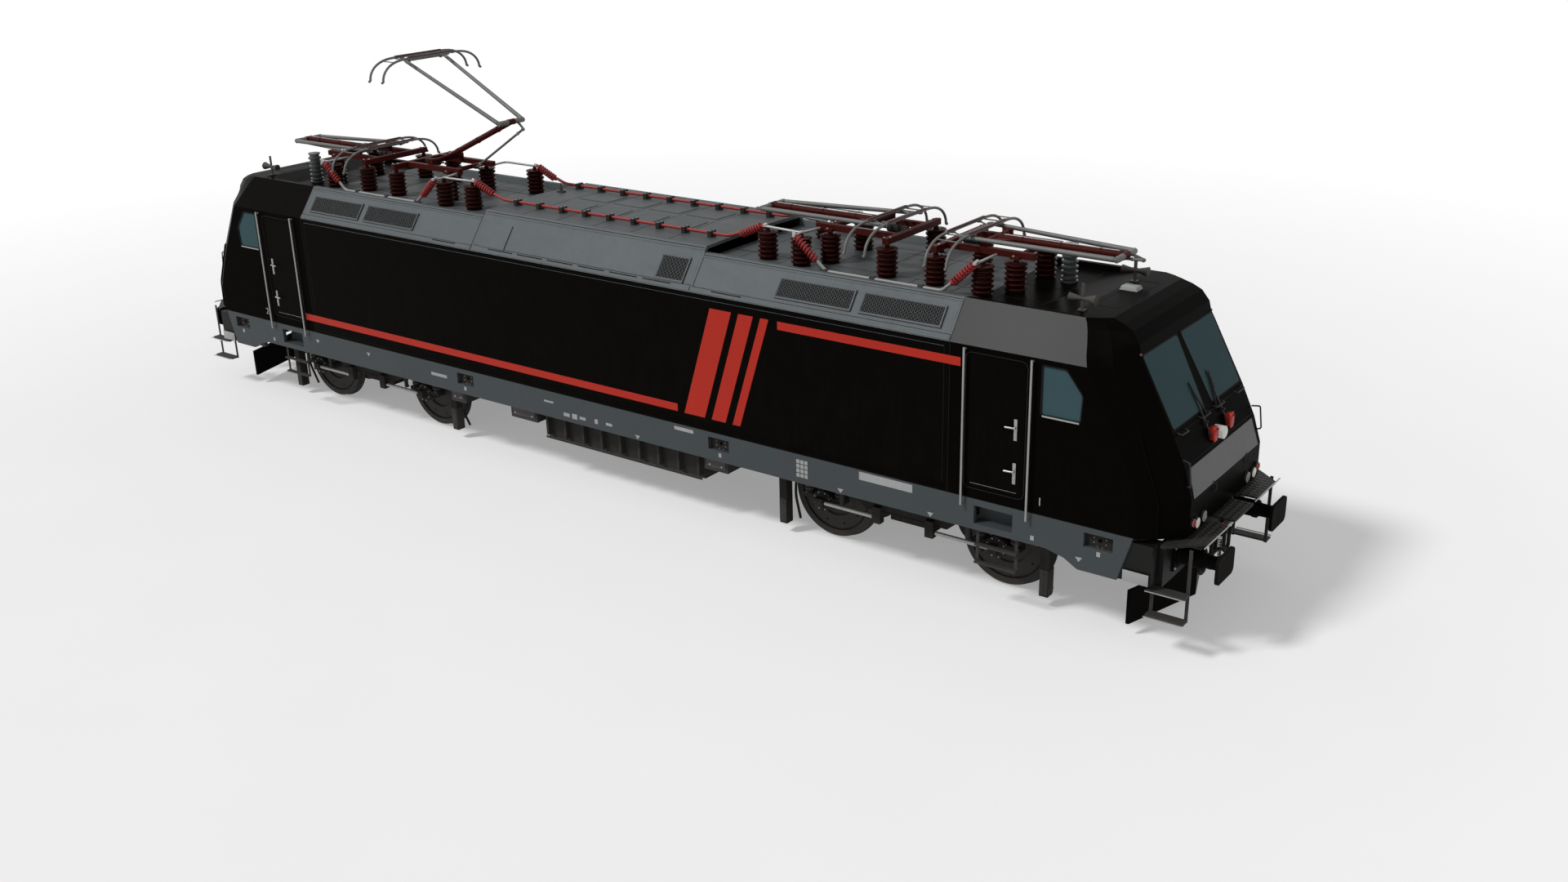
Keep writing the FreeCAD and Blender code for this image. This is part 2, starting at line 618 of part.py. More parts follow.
def cab_loft(name, inset):
    """The cab's outside (inset 0), or its hollow drawn in by the wall."""
    sections = []
    hollow = inset != "0"
    rows = CAB_SECTIONS[:-2] if hollow else CAB_SECTIONS
    for row, (height, crease, rib, rib_half, front, front_half) in enumerate(rows):
        below, above = min(height, 1), max(height - 1, 0)
        level = f"{DECK} + {below} * wall_height + {above} * slope_rise"
        if hollow and row == 0:
            level += " + cab_floor"
        half = f"body_half_width - {above} * slope_run"
        side_in = f"{1.25 if above else 1} * {inset}"
        corners = [
            ("room_half", f"{half} - {side_in}"),
            (f"cab_front - {crease} - 0.4 * {inset}", f"{half} - {side_in}"),
            (f"cab_front - {rib} - 0.8 * {inset}", f"{rib_half} - 0.9 * {inset}"),
            (f"cab_front - {front} - 1.2 * {inset}", f"{front_half} - 0.5 * {inset}"),
        ]
        corners += [(x, f"-({y})") for x, y in reversed(corners)]
        sections.append(section_sketch(f"{name}Section{row}", corners, level))
    loft = doc.addObject("Part::Loft", name)
    loft.Sections = sections
    loft.Solid = True
    loft.Ruled = True
    return loft


def rounded_prism(name, plane, corners, low, high, radius):
    """A padded outline whose edges along the pad are rounded."""
    block = prism(name + "Sharp", plane, corners, low, high)
    pad = block.Tip
    doc.recompute()
    normal = {"XZ": FreeCAD.Vector(0, 1, 0), "YZ": FreeCAD.Vector(1, 0, 0),
              "XY": FreeCAD.Vector(0, 0, 1)}[plane]
    edges = []
    for number, edge in enumerate(pad.Shape.Edges, start=1):
        if abs(abs(edge.tangentAt(edge.FirstParameter).dot(normal)) - 1) < 1e-6:
            edges.append(f"Edge{number}")
    fillet = block.newObject("PartDesign::Fillet", name + "Fillet")
    fillet.Base = (pad, edges)
    bind(fillet, "Radius", radius)
    block.Tip = fillet
    return block


DOOR_LOW, DOOR_HIGH = "(room_half + door_inset)", "(room_half + door_inset + door_width)"
SILL, HEAD = f"({DECK} + door_sill)", f"({EAVE} - door_head)"


def opening(x_low, x_high, z_low, z_high):
    """Corners of an upright rectangle in the XZ plane."""
    return [(x_low, z_low), (x_high, z_low), (x_high, z_high), (x_low, z_high)]


def window_corners(play="0"):
    """Side window, with its slanted front corner, drawn in by the play."""
    start, low = "(room_half + window_start)", f"{DECK} + window_sill"
    high = f"{EAVE} - window_head - {play}"
    return [(f"{start} + {play}", f"{low} + {play}"),
            (f"{start} + window_length - {play}", f"{low} + {play}"),
            (f"{start} + window_length + 20 - {play}", f"{low} + 320"),
            (f"{start} + 0.6 * window_length - {play}", high),
            (f"{start} + {play}", high)]


def screen_corners(side, play="0"):
    """One pane of the windscreen seen from ahead, drawn in by the play."""
    low, high = f"{DECK} + screen_sill + {play}", f"{EAVE} + screen_head - {play}"
    corners = [(f"pillar_foot + {play}", low), (f"screen_half - {play}", low),
               (f"screen_half - {play}", high), (f"pillar_top + {play}", high)]
    return corners if side > 0 else [(f"-({y})", z) for y, z in corners]


# door hinge axis, from the hinge side of the opening and the wall's inner face
HINGE_X = f"({DOOR_LOW} + door_gap + 6)"
HINGE_Y = "(body_half_width - wall - 16)"
HINGES = (250, 1300)            # heights of the hinge arms above the door sill

cab_outer = cab_loft("CabOuter", "0")
cab_inner = cab_loft("CabInner", "cab_wall")
glass_layer_x = ("cab_front - 1100", "cab_front")
door_holes, window_holes, screen_holes, brackets = [], [], [], []
for label, sign in SIDES:
    through = both_ways("body_half_width - wall - 20", "body_half_width + 20", sign)
    door_holes.append(rounded_prism(f"DoorHole{label}", "XZ",
                                    opening(DOOR_LOW, DOOR_HIGH, SILL, HEAD), *through,
                                    "door_corner"))
    window_holes.append(rounded_prism(f"WindowHole{label}", "XZ", window_corners(), *through,
                                      "window_corner"))
    screen_holes.append(rounded_prism(f"ScreenHole{label}", "YZ", screen_corners(sign),
                                      *glass_layer_x, "window_corner"))
    inner_face = "body_half_width - wall"
    for level in HINGES:
        low = f"{SILL} + {level}"
        brackets.append(box(f"HingeLug{label}{level}", (f"{HINGE_X} - 70", f"{HINGE_X} - 20"),
                            both_ways(f"{HINGE_Y} - 12", inner_face, sign),
                            (low, f"{low} + 16")))
        brackets.append(box(f"HingeArm{label}{level}", (f"{HINGE_X} - 70", f"{HINGE_X} + 9"),
                            both_ways(f"{HINGE_Y} - 9", f"{HINGE_Y} + 9", sign),
                            (low, f"{low} + 16")))
        brackets.append(rod(f"HingePin{label}{level}", "Z",
                            (HINGE_X, f"{sign} * {HINGE_Y}", f"{low} + 16"),
                            "knuckle_height", "pin_radius"))

roof_well = prism("RoofWell", "XZ",
                  [("room_half - 10", WELL), ("well_end", WELL), ("well_end + well_ramp", ROOF),
                   ("well_end + well_ramp + 100", f"{ROOF} + 20"),
                   ("room_half - 10", f"{ROOF} + 20")],
                  "slope_run + parapet - body_half_width", "body_half_width - slope_run - parapet")
cab_walls = cut("CabWalls", cab_outer, [cab_inner, roof_well, *door_holes, *window_holes,
                                        *screen_holes])
cab_shell = joined("CabShell", [cab_walls, *brackets])
node("cab_1_shell", placed("Cab1", cab_shell))
node("cab_2_shell", mirrored("Cab2", cab_shell))

# window panes: the side panes lie in the wall, the screens in the raked front face
# set-back of the screen's face for each unit of height, between two rows of CAB_SECTIONS
SCREEN_FOOT, SCREEN_EAVE = CAB_SECTIONS[3], CAB_SECTIONS[4]
RAKE = (f"({SCREEN_EAVE[4]} - {SCREEN_FOOT[4]}) / "
        f"(({SCREEN_EAVE[0]} - {SCREEN_FOOT[0]}) * wall_height)")


def screen_x(level, depth):
    """Place of the raked front face at a height above the deck, and a depth behind it."""
    above_foot = f"({level} - {SCREEN_FOOT[0]} * wall_height)"
    return f"cab_front - {SCREEN_FOOT[4]} - {RAKE} * {above_foot} - ({depth})"


SCREEN_LOW = "(screen_sill - 60)"
SCREEN_HIGH = "(wall_height + screen_head + 40)"
slab = prism("ScreenSlab", "XZ",
             [(screen_x(SCREEN_LOW, "glass_inset - 1.13 * glass_thick"), f"{DECK} + {SCREEN_LOW}"),
              (screen_x(SCREEN_LOW, "glass_inset"), f"{DECK} + {SCREEN_LOW}"),
              (screen_x(SCREEN_HIGH, "glass_inset"), f"{DECK} + {SCREEN_HIGH}"),
              (screen_x(SCREEN_HIGH, "glass_inset - 1.13 * glass_thick"),
               f"{DECK} + {SCREEN_HIGH}")],
             "-screen_half - 50", "screen_half + 50")
panes = []
for label, sign in SIDES:
    screen = rounded_prism(f"ScreenGlass{label}", "YZ", screen_corners(sign, "pane_play"),
                           *glass_layer_x, "window_corner")
    panes.append(common(f"ScreenPane{label}", [screen, slab]))
    panes.append(rounded_prism(f"SidePane{label}", "XZ", window_corners("pane_play"),
                               *both_ways("body_half_width - glass_inset - glass_thick",
                                          "body_half_width - glass_inset", sign),
                               "window_corner"))
cab_panes = group("CabPanes", panes)
node("cab_glass", group("Glass", [cab_panes, mirrored("GlassMirror", cab_panes)]))


def door_leaf():
    """A right-hand cab door with its two hinge eyes, closed."""
    leaf = rounded_prism("DoorLeafPlate", "XZ",
                         opening(f"{DOOR_LOW} + door_gap", f"{DOOR_HIGH} - door_gap",
                                 f"{SILL} + door_gap", f"{HEAD} - door_gap"),
                         "-body_half_width", "wall - body_half_width",
                         "door_corner - door_gap")
    pieces, bores = [leaf], []
    for level in HINGES:
        low = f"{SILL} + {level} + 16.5"
        pieces.append(rod(f"DoorEye{level}", "Z", (HINGE_X, f"-{HINGE_Y}", low),
                          "knuckle_height - 1", "eye_radius"))
        pieces.append(box(f"DoorTab{level}", (f"{HINGE_X} - 2", f"{HINGE_X} + eye_radius"),
                          ("wall - body_half_width", f"-{HINGE_Y}"),
                          (low, f"{low} + knuckle_height - 1")))
        bores.append(rod(f"DoorBore{level}", "Z", (HINGE_X, f"-{HINGE_Y}", f"{low} - 5"),
                         "knuckle_height + 10", "pin_radius + pin_play"))
    return cut("DoorLeaf", joined("DoorLeafSolid", pieces), bores)


door_right = door_leaf()
door_left = mirrored("DoorLeafLeft", door_right, (0, 1, 0))
node("cab_1_door_right", placed("Door1Right", door_right))
node("cab_1_door_left", placed("Door1Left", door_left))
node("cab_2_door_right", mirrored("Door2Right", door_right))
node("cab_2_door_left", mirrored("Door2Left", door_left))


def driver_desk():
    """A desk across the cab under the windscreen."""
    top = f"{DECK} + cab_floor + desk_height"
    return prism("Desk", "XZ",
                 [("cab_front - 1150", f"{DECK} + cab_floor"),
                  ("cab_front - 500", f"{DECK} + cab_floor"),
                  ("cab_front - 420", f"{top} + 60"), ("cab_front - 800", top),
                  ("cab_front - 1300", f"{top} - 60"), ("cab_front - 1300", f"{top} - 110"),
                  ("cab_front - 1150", f"{top} - 110")], "-1080", "1080")


def seat(side):
    """A driver's seat on its pedestal."""
    floor, y = f"{DECK} + cab_floor", f"{side} * seat_side"
    across = (f"{y} - 240", f"{y} + 240")
    back = "cab_front - 1900"
    return joined(f"Seat{side + 1}", [
        box(f"SeatFoot{side + 1}", (f"{back} + 120", f"{back} + 320"), (f"{y} - 100", f"{y} + 100"),
            (floor, f"{floor} + 420")),
        box(f"SeatCushion{side + 1}", (back, f"{back} + 480"), across,
            (f"{floor} + 400", f"{floor} + 510")),
        box(f"SeatBack{side + 1}", (f"{back} - 60", f"{back} + 60"), across,
            (f"{floor} + 460", f"{floor} + 1150"))])


desk = driver_desk()
seats = group("SeatPair", [seat(-1), seat(1)])
node("driver_desks", group("Desks", [desk, mirrored("DeskMirror", desk)]))
node("driver_seats", group("Seats", [seats, mirrored("SeatMirror", seats)]))
node("machinery_block", box("Machinery", ("-4800", "4800"), ("-1000", "1000"),
                            (DECK, f"{DECK} + 1500")))


# ------------------------------------------------------------------ pantographs
# name, place of the foot along X, way the lower arm points (1 towards cab 1), raised
PANTOGRAPHS = (
    ("1_outer", "foot_outer", 1, False), ("1_inner", "foot_inner", -1, False),
    ("2_inner", "-foot_inner", 1, True), ("2_outer", "-foot_outer", -1, False),
)


def lower_arm_form():
    """A single tube from the foot shaft to the knuckle's eye, along +X from the foot."""
    eye = rod("KnuckleEye", "Y", ("lower_arm", "-60", "0"), "120",
              "arm_radius")
    pieces = [rod("LowerTube", "X", ("0", "0", "0"), "lower_arm", "arm_radius - 2"),
              rod("FootShaft", "Y", ("0", "-shaft_half", "0"), "2 * shaft_half", "shaft_radius"),
              rod("FootJournals", "Y", ("0", "-shaft_half - 45", "0"), "2 * shaft_half + 90",
                  "journal_stub"), eye]
    bore = rod("KnuckleBore", "Y", ("lower_arm", "-70", "0"), "140",
               "knuckle_radius_tube + turn_play")
    return cut("LowerArmForm", joined("LowerArmSolid", pieces), [bore])


def sloping_rod(start, end, radius):
    """A cylinder between two points given as numbers."""
    first, last = FreeCAD.Vector(*start), FreeCAD.Vector(*end)
    return Part.makeCylinder(radius, (last - first).Length, first, last - first)


def upper_arm_form():
    """Two tubes from the knuckle back to the apex, along -X, and the tail for the rod."""
    length, half, tip = size("upper_arm"), size("knuckle_half"), size("apex_half")
    tubes = []
    for side in (-1, 1):
        tube = sloping_rod((0, side * half, 0), (-length, side * tip, 0), size("upper_radius"))
        tubes.append(fixed_shape(f"UpperTube{side + 1}", tube))
    tail = prism("Tail", "XZ",
                 [("0", "-22"), ("0", "22"),
                  ("tail_length * cos(tail_angle)", "14 - tail_length * sin(tail_angle)"),
                  ("tail_length * cos(tail_angle)", "-14 - tail_length * sin(tail_angle)")],
                 "rod_side + rod_radius + 12", "rod_side + rod_radius + 27")
    pieces = [*tubes, tail,
              rod("KnuckleTube", "Y", ("0", "-knuckle_half", "0"), "2 * knuckle_half",
                  "knuckle_radius_tube"),
              rod("ApexTube", "Y", ("-upper_arm", "-apex_half", "0"), "2 * apex_half",
                  "apex_radius")]
    return joined("UpperArmForm", pieces)


def head_form():
    """Two contact strips with drooping horns, on links that pivot on the apex tube."""
    pieces, bores = [], []
    for side in (-1, 1):
        low, high = sorted((side * 315, side * 345))
        pieces.append(prism(f"HeadLink{side + 1}", "XZ",
                            [("-strip_offset - 25", "40"), ("-34", "-34"), ("34", "-34"),
                             ("strip_offset + 25", "40"), ("strip_offset + 25", "52"),
                             ("-strip_offset - 25", "52")], str(low), str(high)))
        bores.append(rod(f"HeadBore{side + 1}", "Y", ("0", f"{low} - 5", "0"), "40",
                         "apex_radius + turn_play"))
        strip = [("-strip_half", "strip_height - 30"), ("strip_half", "strip_height - 30"),
                 ("strip_half + 300", "strip_height - 100"), ("horn_reach", "-horn_drop"),
                 ("horn_reach + 26", "-horn_drop"), ("strip_half + 320", "strip_height - 76"),
                 ("strip_half", "strip_height"), ("-strip_half", "strip_height"),
                 ("-strip_half - 320", "strip_height - 76"), ("-horn_reach - 26", "-horn_drop"),
                 ("-horn_reach", "-horn_drop"), ("-strip_half - 300", "strip_height - 100")]
        pieces.append(prism(f"Strip{side + 1}", "YZ", strip,
                            f"{side} * strip_offset - 22", f"{side} * strip_offset + 22"))
    return cut("HeadForm", joined("HeadSolid", pieces), bores)


def control_rod_form():
    """The rod from the base frame to beside the upper arm's tail, along +X from its foot."""
    side_low, side_high = "rod_side - 13", "rod_side + 13"
    pieces = [rod("RodTube", "X", ("0", "rod_side", "0"), "rod_length", "rod_radius"),
              rod("RodFootEye", "Y", ("0", side_low, "0"), f"{side_high} - ({side_low})", "24"),
              rod("RodTopEye", "Y", ("rod_length", side_low, "0"),
                  f"{side_high} - ({side_low})", "24")]
    bores = [rod(f"RodBore{place_x}", "Y", (x, f"{side_low} - 5", "0"), "40",
                 "rod_pin + turn_play") for place_x, x in enumerate(("0", "rod_length"))]
    return cut("ControlRodForm", joined("ControlRodSolid", pieces), bores)


def base_frame_form():
    """Cross bar, two beams, foot bearings and the rod's clevis, about the foot's axis."""
    low, high = "-foot_rise - frame_bar", "-foot_rise"
    rear = ("-rear_mount - frame_width / 2", "frame_width / 2 - rear_mount")
    pieces = [box("CrossBar", rear, ("-rear_half - 60", "rear_half + 60"), (low, high)),
              box("RodCrossBar", ("rod_foot - 110", "rod_foot - 60"), ("-frame_side", "frame_side"),
                  (low, f"{high} - 20"))]
    bores = []
    for side in (-1, 1):
        middle = f"{side} * frame_side"
        pieces.append(box(f"FrameBeam{side + 1}", ("-rear_mount", "rod_foot + 120"),
                          (f"{middle} - frame_width / 2", f"{middle} + frame_width / 2"),
                          (low, high)))
        pieces.append(box(f"FrontEar{side + 1}", ("front_mount - 60", "front_mount + 60"),
                          (f"{side} * front_half - 60", f"{side} * front_half + 60"),
                          (low, f"{low} + 30")))
        pieces.append(box(f"FootBearing{side + 1}", ("-55", "55"),
                          both_ways("shaft_half + 10", "shaft_half + 50", side), (high, "45")))
        bores.append(rod(f"FootBore{side + 1}", "Y",
                         ("0", both_ways("shaft_half", "shaft_half + 60", side)[0], "0"), "60",
                         "journal_stub + turn_play"))
        cheek = both_ways("rod_radius + 6", "rod_radius + 14", side)
        pieces.append(box(f"RodCheek{side + 1}", ("rod_foot - 70", "rod_foot + 30"),
                          (f"rod_side + {cheek[0]}", f"rod_side + {cheek[1]}"),
                          ("-rod_drop - 15", "-rod_drop + 30")))
    pin = rod("RodPin", "Y", ("rod_foot", "rod_side - rod_radius - 14", "-rod_drop"),
              "2 * rod_radius + 28", "rod_pin")
    return joined("BaseFrameForm", [cut("BaseFrameSolid", joined("BaseWeldment", pieces), bores),
                                    pin])


base_form, lower_form, upper_form = base_frame_form(), lower_arm_form(), upper_arm_form()
head_shape, rod_form = head_form(), control_rod_form()


def hinged(name, source, x, z, angle):
    """A piece at a point of the pantograph's plane, lifted by an angle (degrees, a rule)."""
    turned = placed(name, source, x, "0", z, (0, 1, 0), 1)
    bind(turned, "Placement.Rotation.Angle", f"-({angle})")
    return turned


base_frames = []
for name, foot, way, raised in PANTOGRAPHS:
    lift = "raised_angle" if raised else "0"
    knuckle = (f"lower_arm * cos({lift})", f"lower_arm * sin({lift})")
    back = f"((fold_ratio - 1) * {lift} + folded_rise)"
    apex = (f"{knuckle[0]} - upper_arm * cos{back}", f"{knuckle[1]} + upper_arm * sin{back}")
    poses = (
        ("lower_arm", lower_form, "0", "0", lift),
        ("upper_arm", upper_form, *knuckle, f"-{back}"),
        ("head", head_shape, *apex, "0"),
        ("control_rod", rod_form, "rod_foot", "-rod_drop",
         f"rod_low_angle + rod_ratio * {lift}"),
    )
    turn = 0 if way > 0 else 180
    for piece, form, x, z, angle in poses:
        local = hinged(f"Local{name}{piece}", form, x, z, angle)
        node(f"pantograph_{name}_{piece}",
             placed(f"Pantograph{name}{piece}", local, foot, "0", PANTO, (0, 0, 1), turn))
    base_frames.append(placed(f"BaseFrame{name}", base_form, foot, "0", PANTO, (0, 0, 1), turn))
node("pantograph_bases", group("BaseFrames", base_frames))


# ------------------------------------------------------------------ roof equipment
def insulator_outline():
    """Half outline of a ribbed post insulator: (radius, height)."""
    corners = [("0", "0"), ("insulator_radius * 0.7", "0"), ("insulator_radius * 0.7", "25"),
               ("insulator_core", "25")]
    count = int(size("shed_count"))
    for shed in range(count):
        low = f"45 + {shed} * (insulator_height - 75) / {count}"
        corners += [("insulator_core", low), ("insulator_radius", f"{low} + 6"),
                    ("insulator_radius", f"{low} + shed_thick - 8"),
                    ("insulator_core", f"{low} + shed_thick + 6")]
    return corners + [("insulator_core", "insulator_height"), ("stem_radius", "insulator_height"),
                      ("stem_radius", "insulator_height + stem_height"),
                      ("0", "insulator_height + stem_height")]


post_form = spun("InsulatorForm", "XZ", insulator_outline(), "V_Axis")
posts = []
for name, foot, way, raised in PANTOGRAPHS:
    for side in (-1, 1):
        for number, (along, half) in enumerate((("-rear_mount", "rear_half"),
                                                ("front_mount", "front_half"))):
            posts.append(placed(f"Post{name}{side + 1}{number}", post_form,
                                f"{foot} + ({way}) * ({along})", f"{side} * {half}", WELL))

# Posts that only carry busbars: place along X and Y
BUSBAR_POSTS = ((2820, -670), (3400, -720), (2820, 670), (6080, -700))
for number, (x, y) in enumerate(BUSBAR_POSTS):
    for cab, end in ENDS:
        posts.append(placed(f"BusPost{number}{cab}", post_form, str(end * x), str(y), WELL))
node("roof_insulators", group("Insulators", posts))

# Flat busbars on top of the posts, one row per connected run of points (X, Y)
well_half = size("body_half_width") - size("slope_run") - size("parapet")
cable_side = size("cable_inset") - well_half
beyond = cable_side - 35        # a bar runs this far, past the sleeve that it carries
BUSBARS = (((2765, -670), (3400, -720), (3470, -350)), ((3400, -700), (3425, beyond)),
           ((2765, 670), (3470, 670), (3470, 350)), ((6090, -360), (6090, beyond)))
BUS_LOW = f"({WELL} + insulator_height + stem_height)"


def flat_bar(name, start, end):
    """A flat bar between two points, lying on the posts."""
    run_x, run_y = end[0] - start[0], end[1] - start[1]
    length = math.hypot(run_x, run_y)
    bar = box(name, ("-bus_width / 3", f"{length:.2f} + bus_width / 3"),
              ("-bus_width / 2", "bus_width / 2"), ("0", "bus_thick"))
    return placed(name + "Placed", bar, str(start[0]), str(start[1]), BUS_LOW,
                  (0, 0, 1), math.degrees(math.atan2(run_y, run_x)))


runs = []
for number, run in enumerate(BUSBARS):
    runs.append([flat_bar(f"Bus{number}{step}", *pair) for step, pair in
                 enumerate(zip(run, run[1:]))])
near_bars = joined("BusNear", runs[0] + runs[1])
bar_set = group("BusOneEnd", [near_bars, joined("BusFar", runs[2]), runs[3][0]])
node("roof_busbars", cut("Busbars", group("AllBusbars", [bar_set,
                                                        mirrored("BusMirror", bar_set)]),
                         [NODES["pantograph_bases"]]))


def sleeve(name, low, high):
    """An inclined ribbed sleeve on the end of a high-voltage cable."""
    start, end = FreeCAD.Vector(*low), FreeCAD.Vector(*high)
    along = end - start
    length = along.Length
    along.normalize()
    shape = Part.makeCylinder(size("sleeve_radius"), length, start, along)
    for ring in range(5):
        step = start + along * (length * (0.12 + 0.17 * ring))
        shape = shape.fuse(Part.makeCylinder(size("sleeve_shed"), 14, step, along))
    return fixed_shape(name, shape)


def share(first, last, part):
    """The point a share of the way between two points."""
    return tuple(a + (b - a) * part for a, b in zip(first, last))


# Cables about the well's floor: corner where each end turns up, upper end, share of the rise
# where the sleeve starts. Heights in the middle run are above the well.
over_hood = size("middle_rise") - size("slope_rise") + size("well_depth") + size("crown")
over_hood += size("cable_stand_off") + size("cable_radius")
bus_middle = size("insulator_height") + size("stem_height") + size("bus_thick") / 2
floor_level = size("cable_radius") + size("seat_gap")
cables, sleeves = [], []
for label, sign in SIDES:
    side = sign * 670
    right = ((2160, side, over_hood), (2765, side, bus_middle))
    left = tuple((-x, y, z) for x, y, z in right)
    joint = share(*right, 0.32), share(*left, 0.32)
    cables.append(placed(f"RoofCablePlaced{label}", bent_tube(
        f"RoofCable{label}", [joint[1], left[0], right[0], joint[0]], size("cable_bend"),
        size("cable_radius")), "0", "0", WELL))
    for number, (start, end) in enumerate(((joint[0], right[1]), (joint[1], left[1]))):
        sleeves.append(placed(f"SleevePlaced{label}{number}",
                              sleeve(f"Sleeve{label}{number}", start, end), "0", "0", WELL))
for cab, end in ENDS:
    inner = ((end * 3900, cable_side, floor_level), (end * 3430, cable_side, bus_middle))
    outer = ((end * 5620, cable_side, floor_level), (end * 6070, cable_side, bus_middle))
    joint = share(*inner, 0.3), share(*outer, 0.3)
    cables.append(placed(f"WellCablePlaced{cab}", bent_tube(
        f"WellCable{cab}", [joint[0], inner[0], outer[0], joint[1]], size("well_bend"),
        size("cable_radius")), "0", "0", WELL))
    for number, (start, last) in enumerate(((joint[0], inner[1]), (joint[1], outer[1]))):
        sleeves.append(placed(f"WellSleevePlaced{cab}{number}",
                              sleeve(f"WellSleeve{cab}{number}", start, last), "0", "0", WELL))
node("high_voltage_cables", group("Cables", cables))
node("cable_terminations", cut("Terminations", group("Sleeves", sleeves),
                               [NODES["roof_busbars"], NODES["roof_insulators"]]))
cable_level = f"({WELL} + middle_rise - slope_rise + well_depth + crown + cable_stand_off" \
              " + cable_radius)"

clamps = []
for label, sign in SIDES:
    middle = f"{sign} * 670"
    for step in range(9):
        x = f"({step} - 4) * clamp_pitch"
        block = box(f"Clamp{label}{step}", (f"{x} - 30", f"{x} + 30"),
                    (f"{middle} - 60", f"{middle} + 60"),
                    (f"{EAVE} + middle_rise", f"{cable_level} + cable_radius + 16"))
        bore = rod(f"ClampBore{label}{step}", "X", (f"{x} - 40", middle, cable_level), "80",
                   "cable_radius + seat_gap")
        clamps.append(cut(f"ClampCut{label}{step}", block, [bore, NODES["middle_roof_hood"]]))
node("cable_clamps", group("Clamps", clamps))


def horn_pair(number, x, side):
    """Two trumpets back to back on a bracket."""
    level = f"{ROOF} + 140"
    return joined(f"Horn{number}", [
        box(f"HornFoot{number}", (f"{x} - 45", f"{x} + 45"), (f"{side} - 40", f"{side} + 40"),
            (ROOF, f"{ROOF} + 12")),
        box(f"HornPost{number}", (f"{x} - 20", f"{x} + 20"), (f"{side} - 8", f"{side} + 8"),
            (ROOF, f"{level} + 180")),
        cone(f"HornFront{number}", "X", (f"{x}", side, level), "170", "18", "62"),
        cone(f"HornBack{number}", "X", (f"{x} - 170", side, level), "170", "50", "18")])


horns = [horn_pair(0, "(room_half + 1400)", "-900"), horn_pair(1, "(room_half + 1400)", "550")]
aerial = joined("Aerial", [
    box("AerialFoot", ("-1960", "-1850"), ("260", "350"),
        (f"{EAVE} + middle_rise", f"{EAVE} + middle_rise + crown + 20")),
    cone("AerialFin", "Z", ("-1905", "305", f"{EAVE} + middle_rise + crown + 20"), "120", "30",
         "8")])
node("roof_horns", group("Horns", [*horns, mirrored("HornMirror", group("HornPair", horns)),
                                  cut("AerialSeated", aerial, [NODES["middle_roof_hood"]])]))


# ------------------------------------------------------------------ below the underframe
def transformer():
    """Transformer tank slung between the bogies, with four ribbed bays on each side."""
    low, high = f"{DECK_LOW} - tank_depth", DECK_LOW
    half, end = "body_half_width - wall - tank_inset", "(pivot_offset - tank_clear)"
    pieces = [box("Tank", ("tank_start", end), (f"-({half})", half), (low, high))]
    for label, sign in SIDES:
        for rib in range(9):
            x = f"tank_start + 60 + {rib} * ({end} - tank_start - 120) / 8"
            pieces.append(box(f"TankRib{label}{rib}", (f"{x} - 20", f"{x} + 20"),
                              both_ways(half, f"{half} + tank_rib", sign),
                              (f"{low} + 60", f"{high} - 260")))
    return joined("Transformer", pieces)


node("transformer", transformer())

# Boxes hung between the bogies: start and end along X, inner half width (0 for right across)
FLOOR_BOXES = (("pivot_offset - 3130", "pivot_offset - 2720", 0),
               ("tank_start - 650", "tank_start - 100", 0),
               ("2290 - pivot_offset", "2620 - pivot_offset", 500))
boxes = []
box_side = "body_half_width - wall - box_inset"
for number, (start, end, inner) in enumerate(FLOOR_BOXES):
    span = (f"{DECK_LOW} - box_depth", DECK_LOW)
    if inner:
        for label, sign in SIDES:
            boxes.append(box(f"FloorBox{number}{label}", (start, end),
                             both_ways(str(inner), box_side, sign), span))
    else:
        boxes.append(box(f"FloorBox{number}", (start, end), (f"-({box_side})", box_side), span))
node("underfloor_boxes", group("FloorBoxes", boxes))

tip = "beam_face"
buffers, couplings, hoses, boards, lamps, wipers = [], [], [], [], [], []
for label, sign in SIDES:
    middle = f"{sign} * buffer_side"
    stem = rod(f"BufferSleeve{label}", "X", (tip, middle, "buffer_height"),
               "buffer_sleeve", "buffer_radius")
    plunger = rod(f"Plunger{label}", "X", (tip, middle, "buffer_height"),
                  "buffer_face - beam_face - 10", "plunger_radius")
    flange = box(f"BufferFlange{label}", (tip, f"{tip} + 25"),
                 (f"{middle} - 160", f"{middle} + 160"),
                 ("buffer_height - 160", "buffer_height + 160"))
    face = rounded_prism(f"BufferHead{label}", "YZ",
                         [(f"{middle} - head_half_width", "buffer_height - head_half_height"),
                          (f"{middle} + head_half_width", "buffer_height - head_half_height"),
                          (f"{middle} + head_half_width", "buffer_height + head_half_height"),
                          (f"{middle} - head_half_width", "buffer_height + head_half_height")],
                         "buffer_face - head_thick", "buffer_face", "70")
    buffers.append(joined(f"Buffer{label}", [stem, plunger, flange, face]))
buffer_pair = group("BufferPair", buffers)
node("buffers", group("Buffers", [buffer_pair, mirrored("BufferMirror", buffer_pair)]))

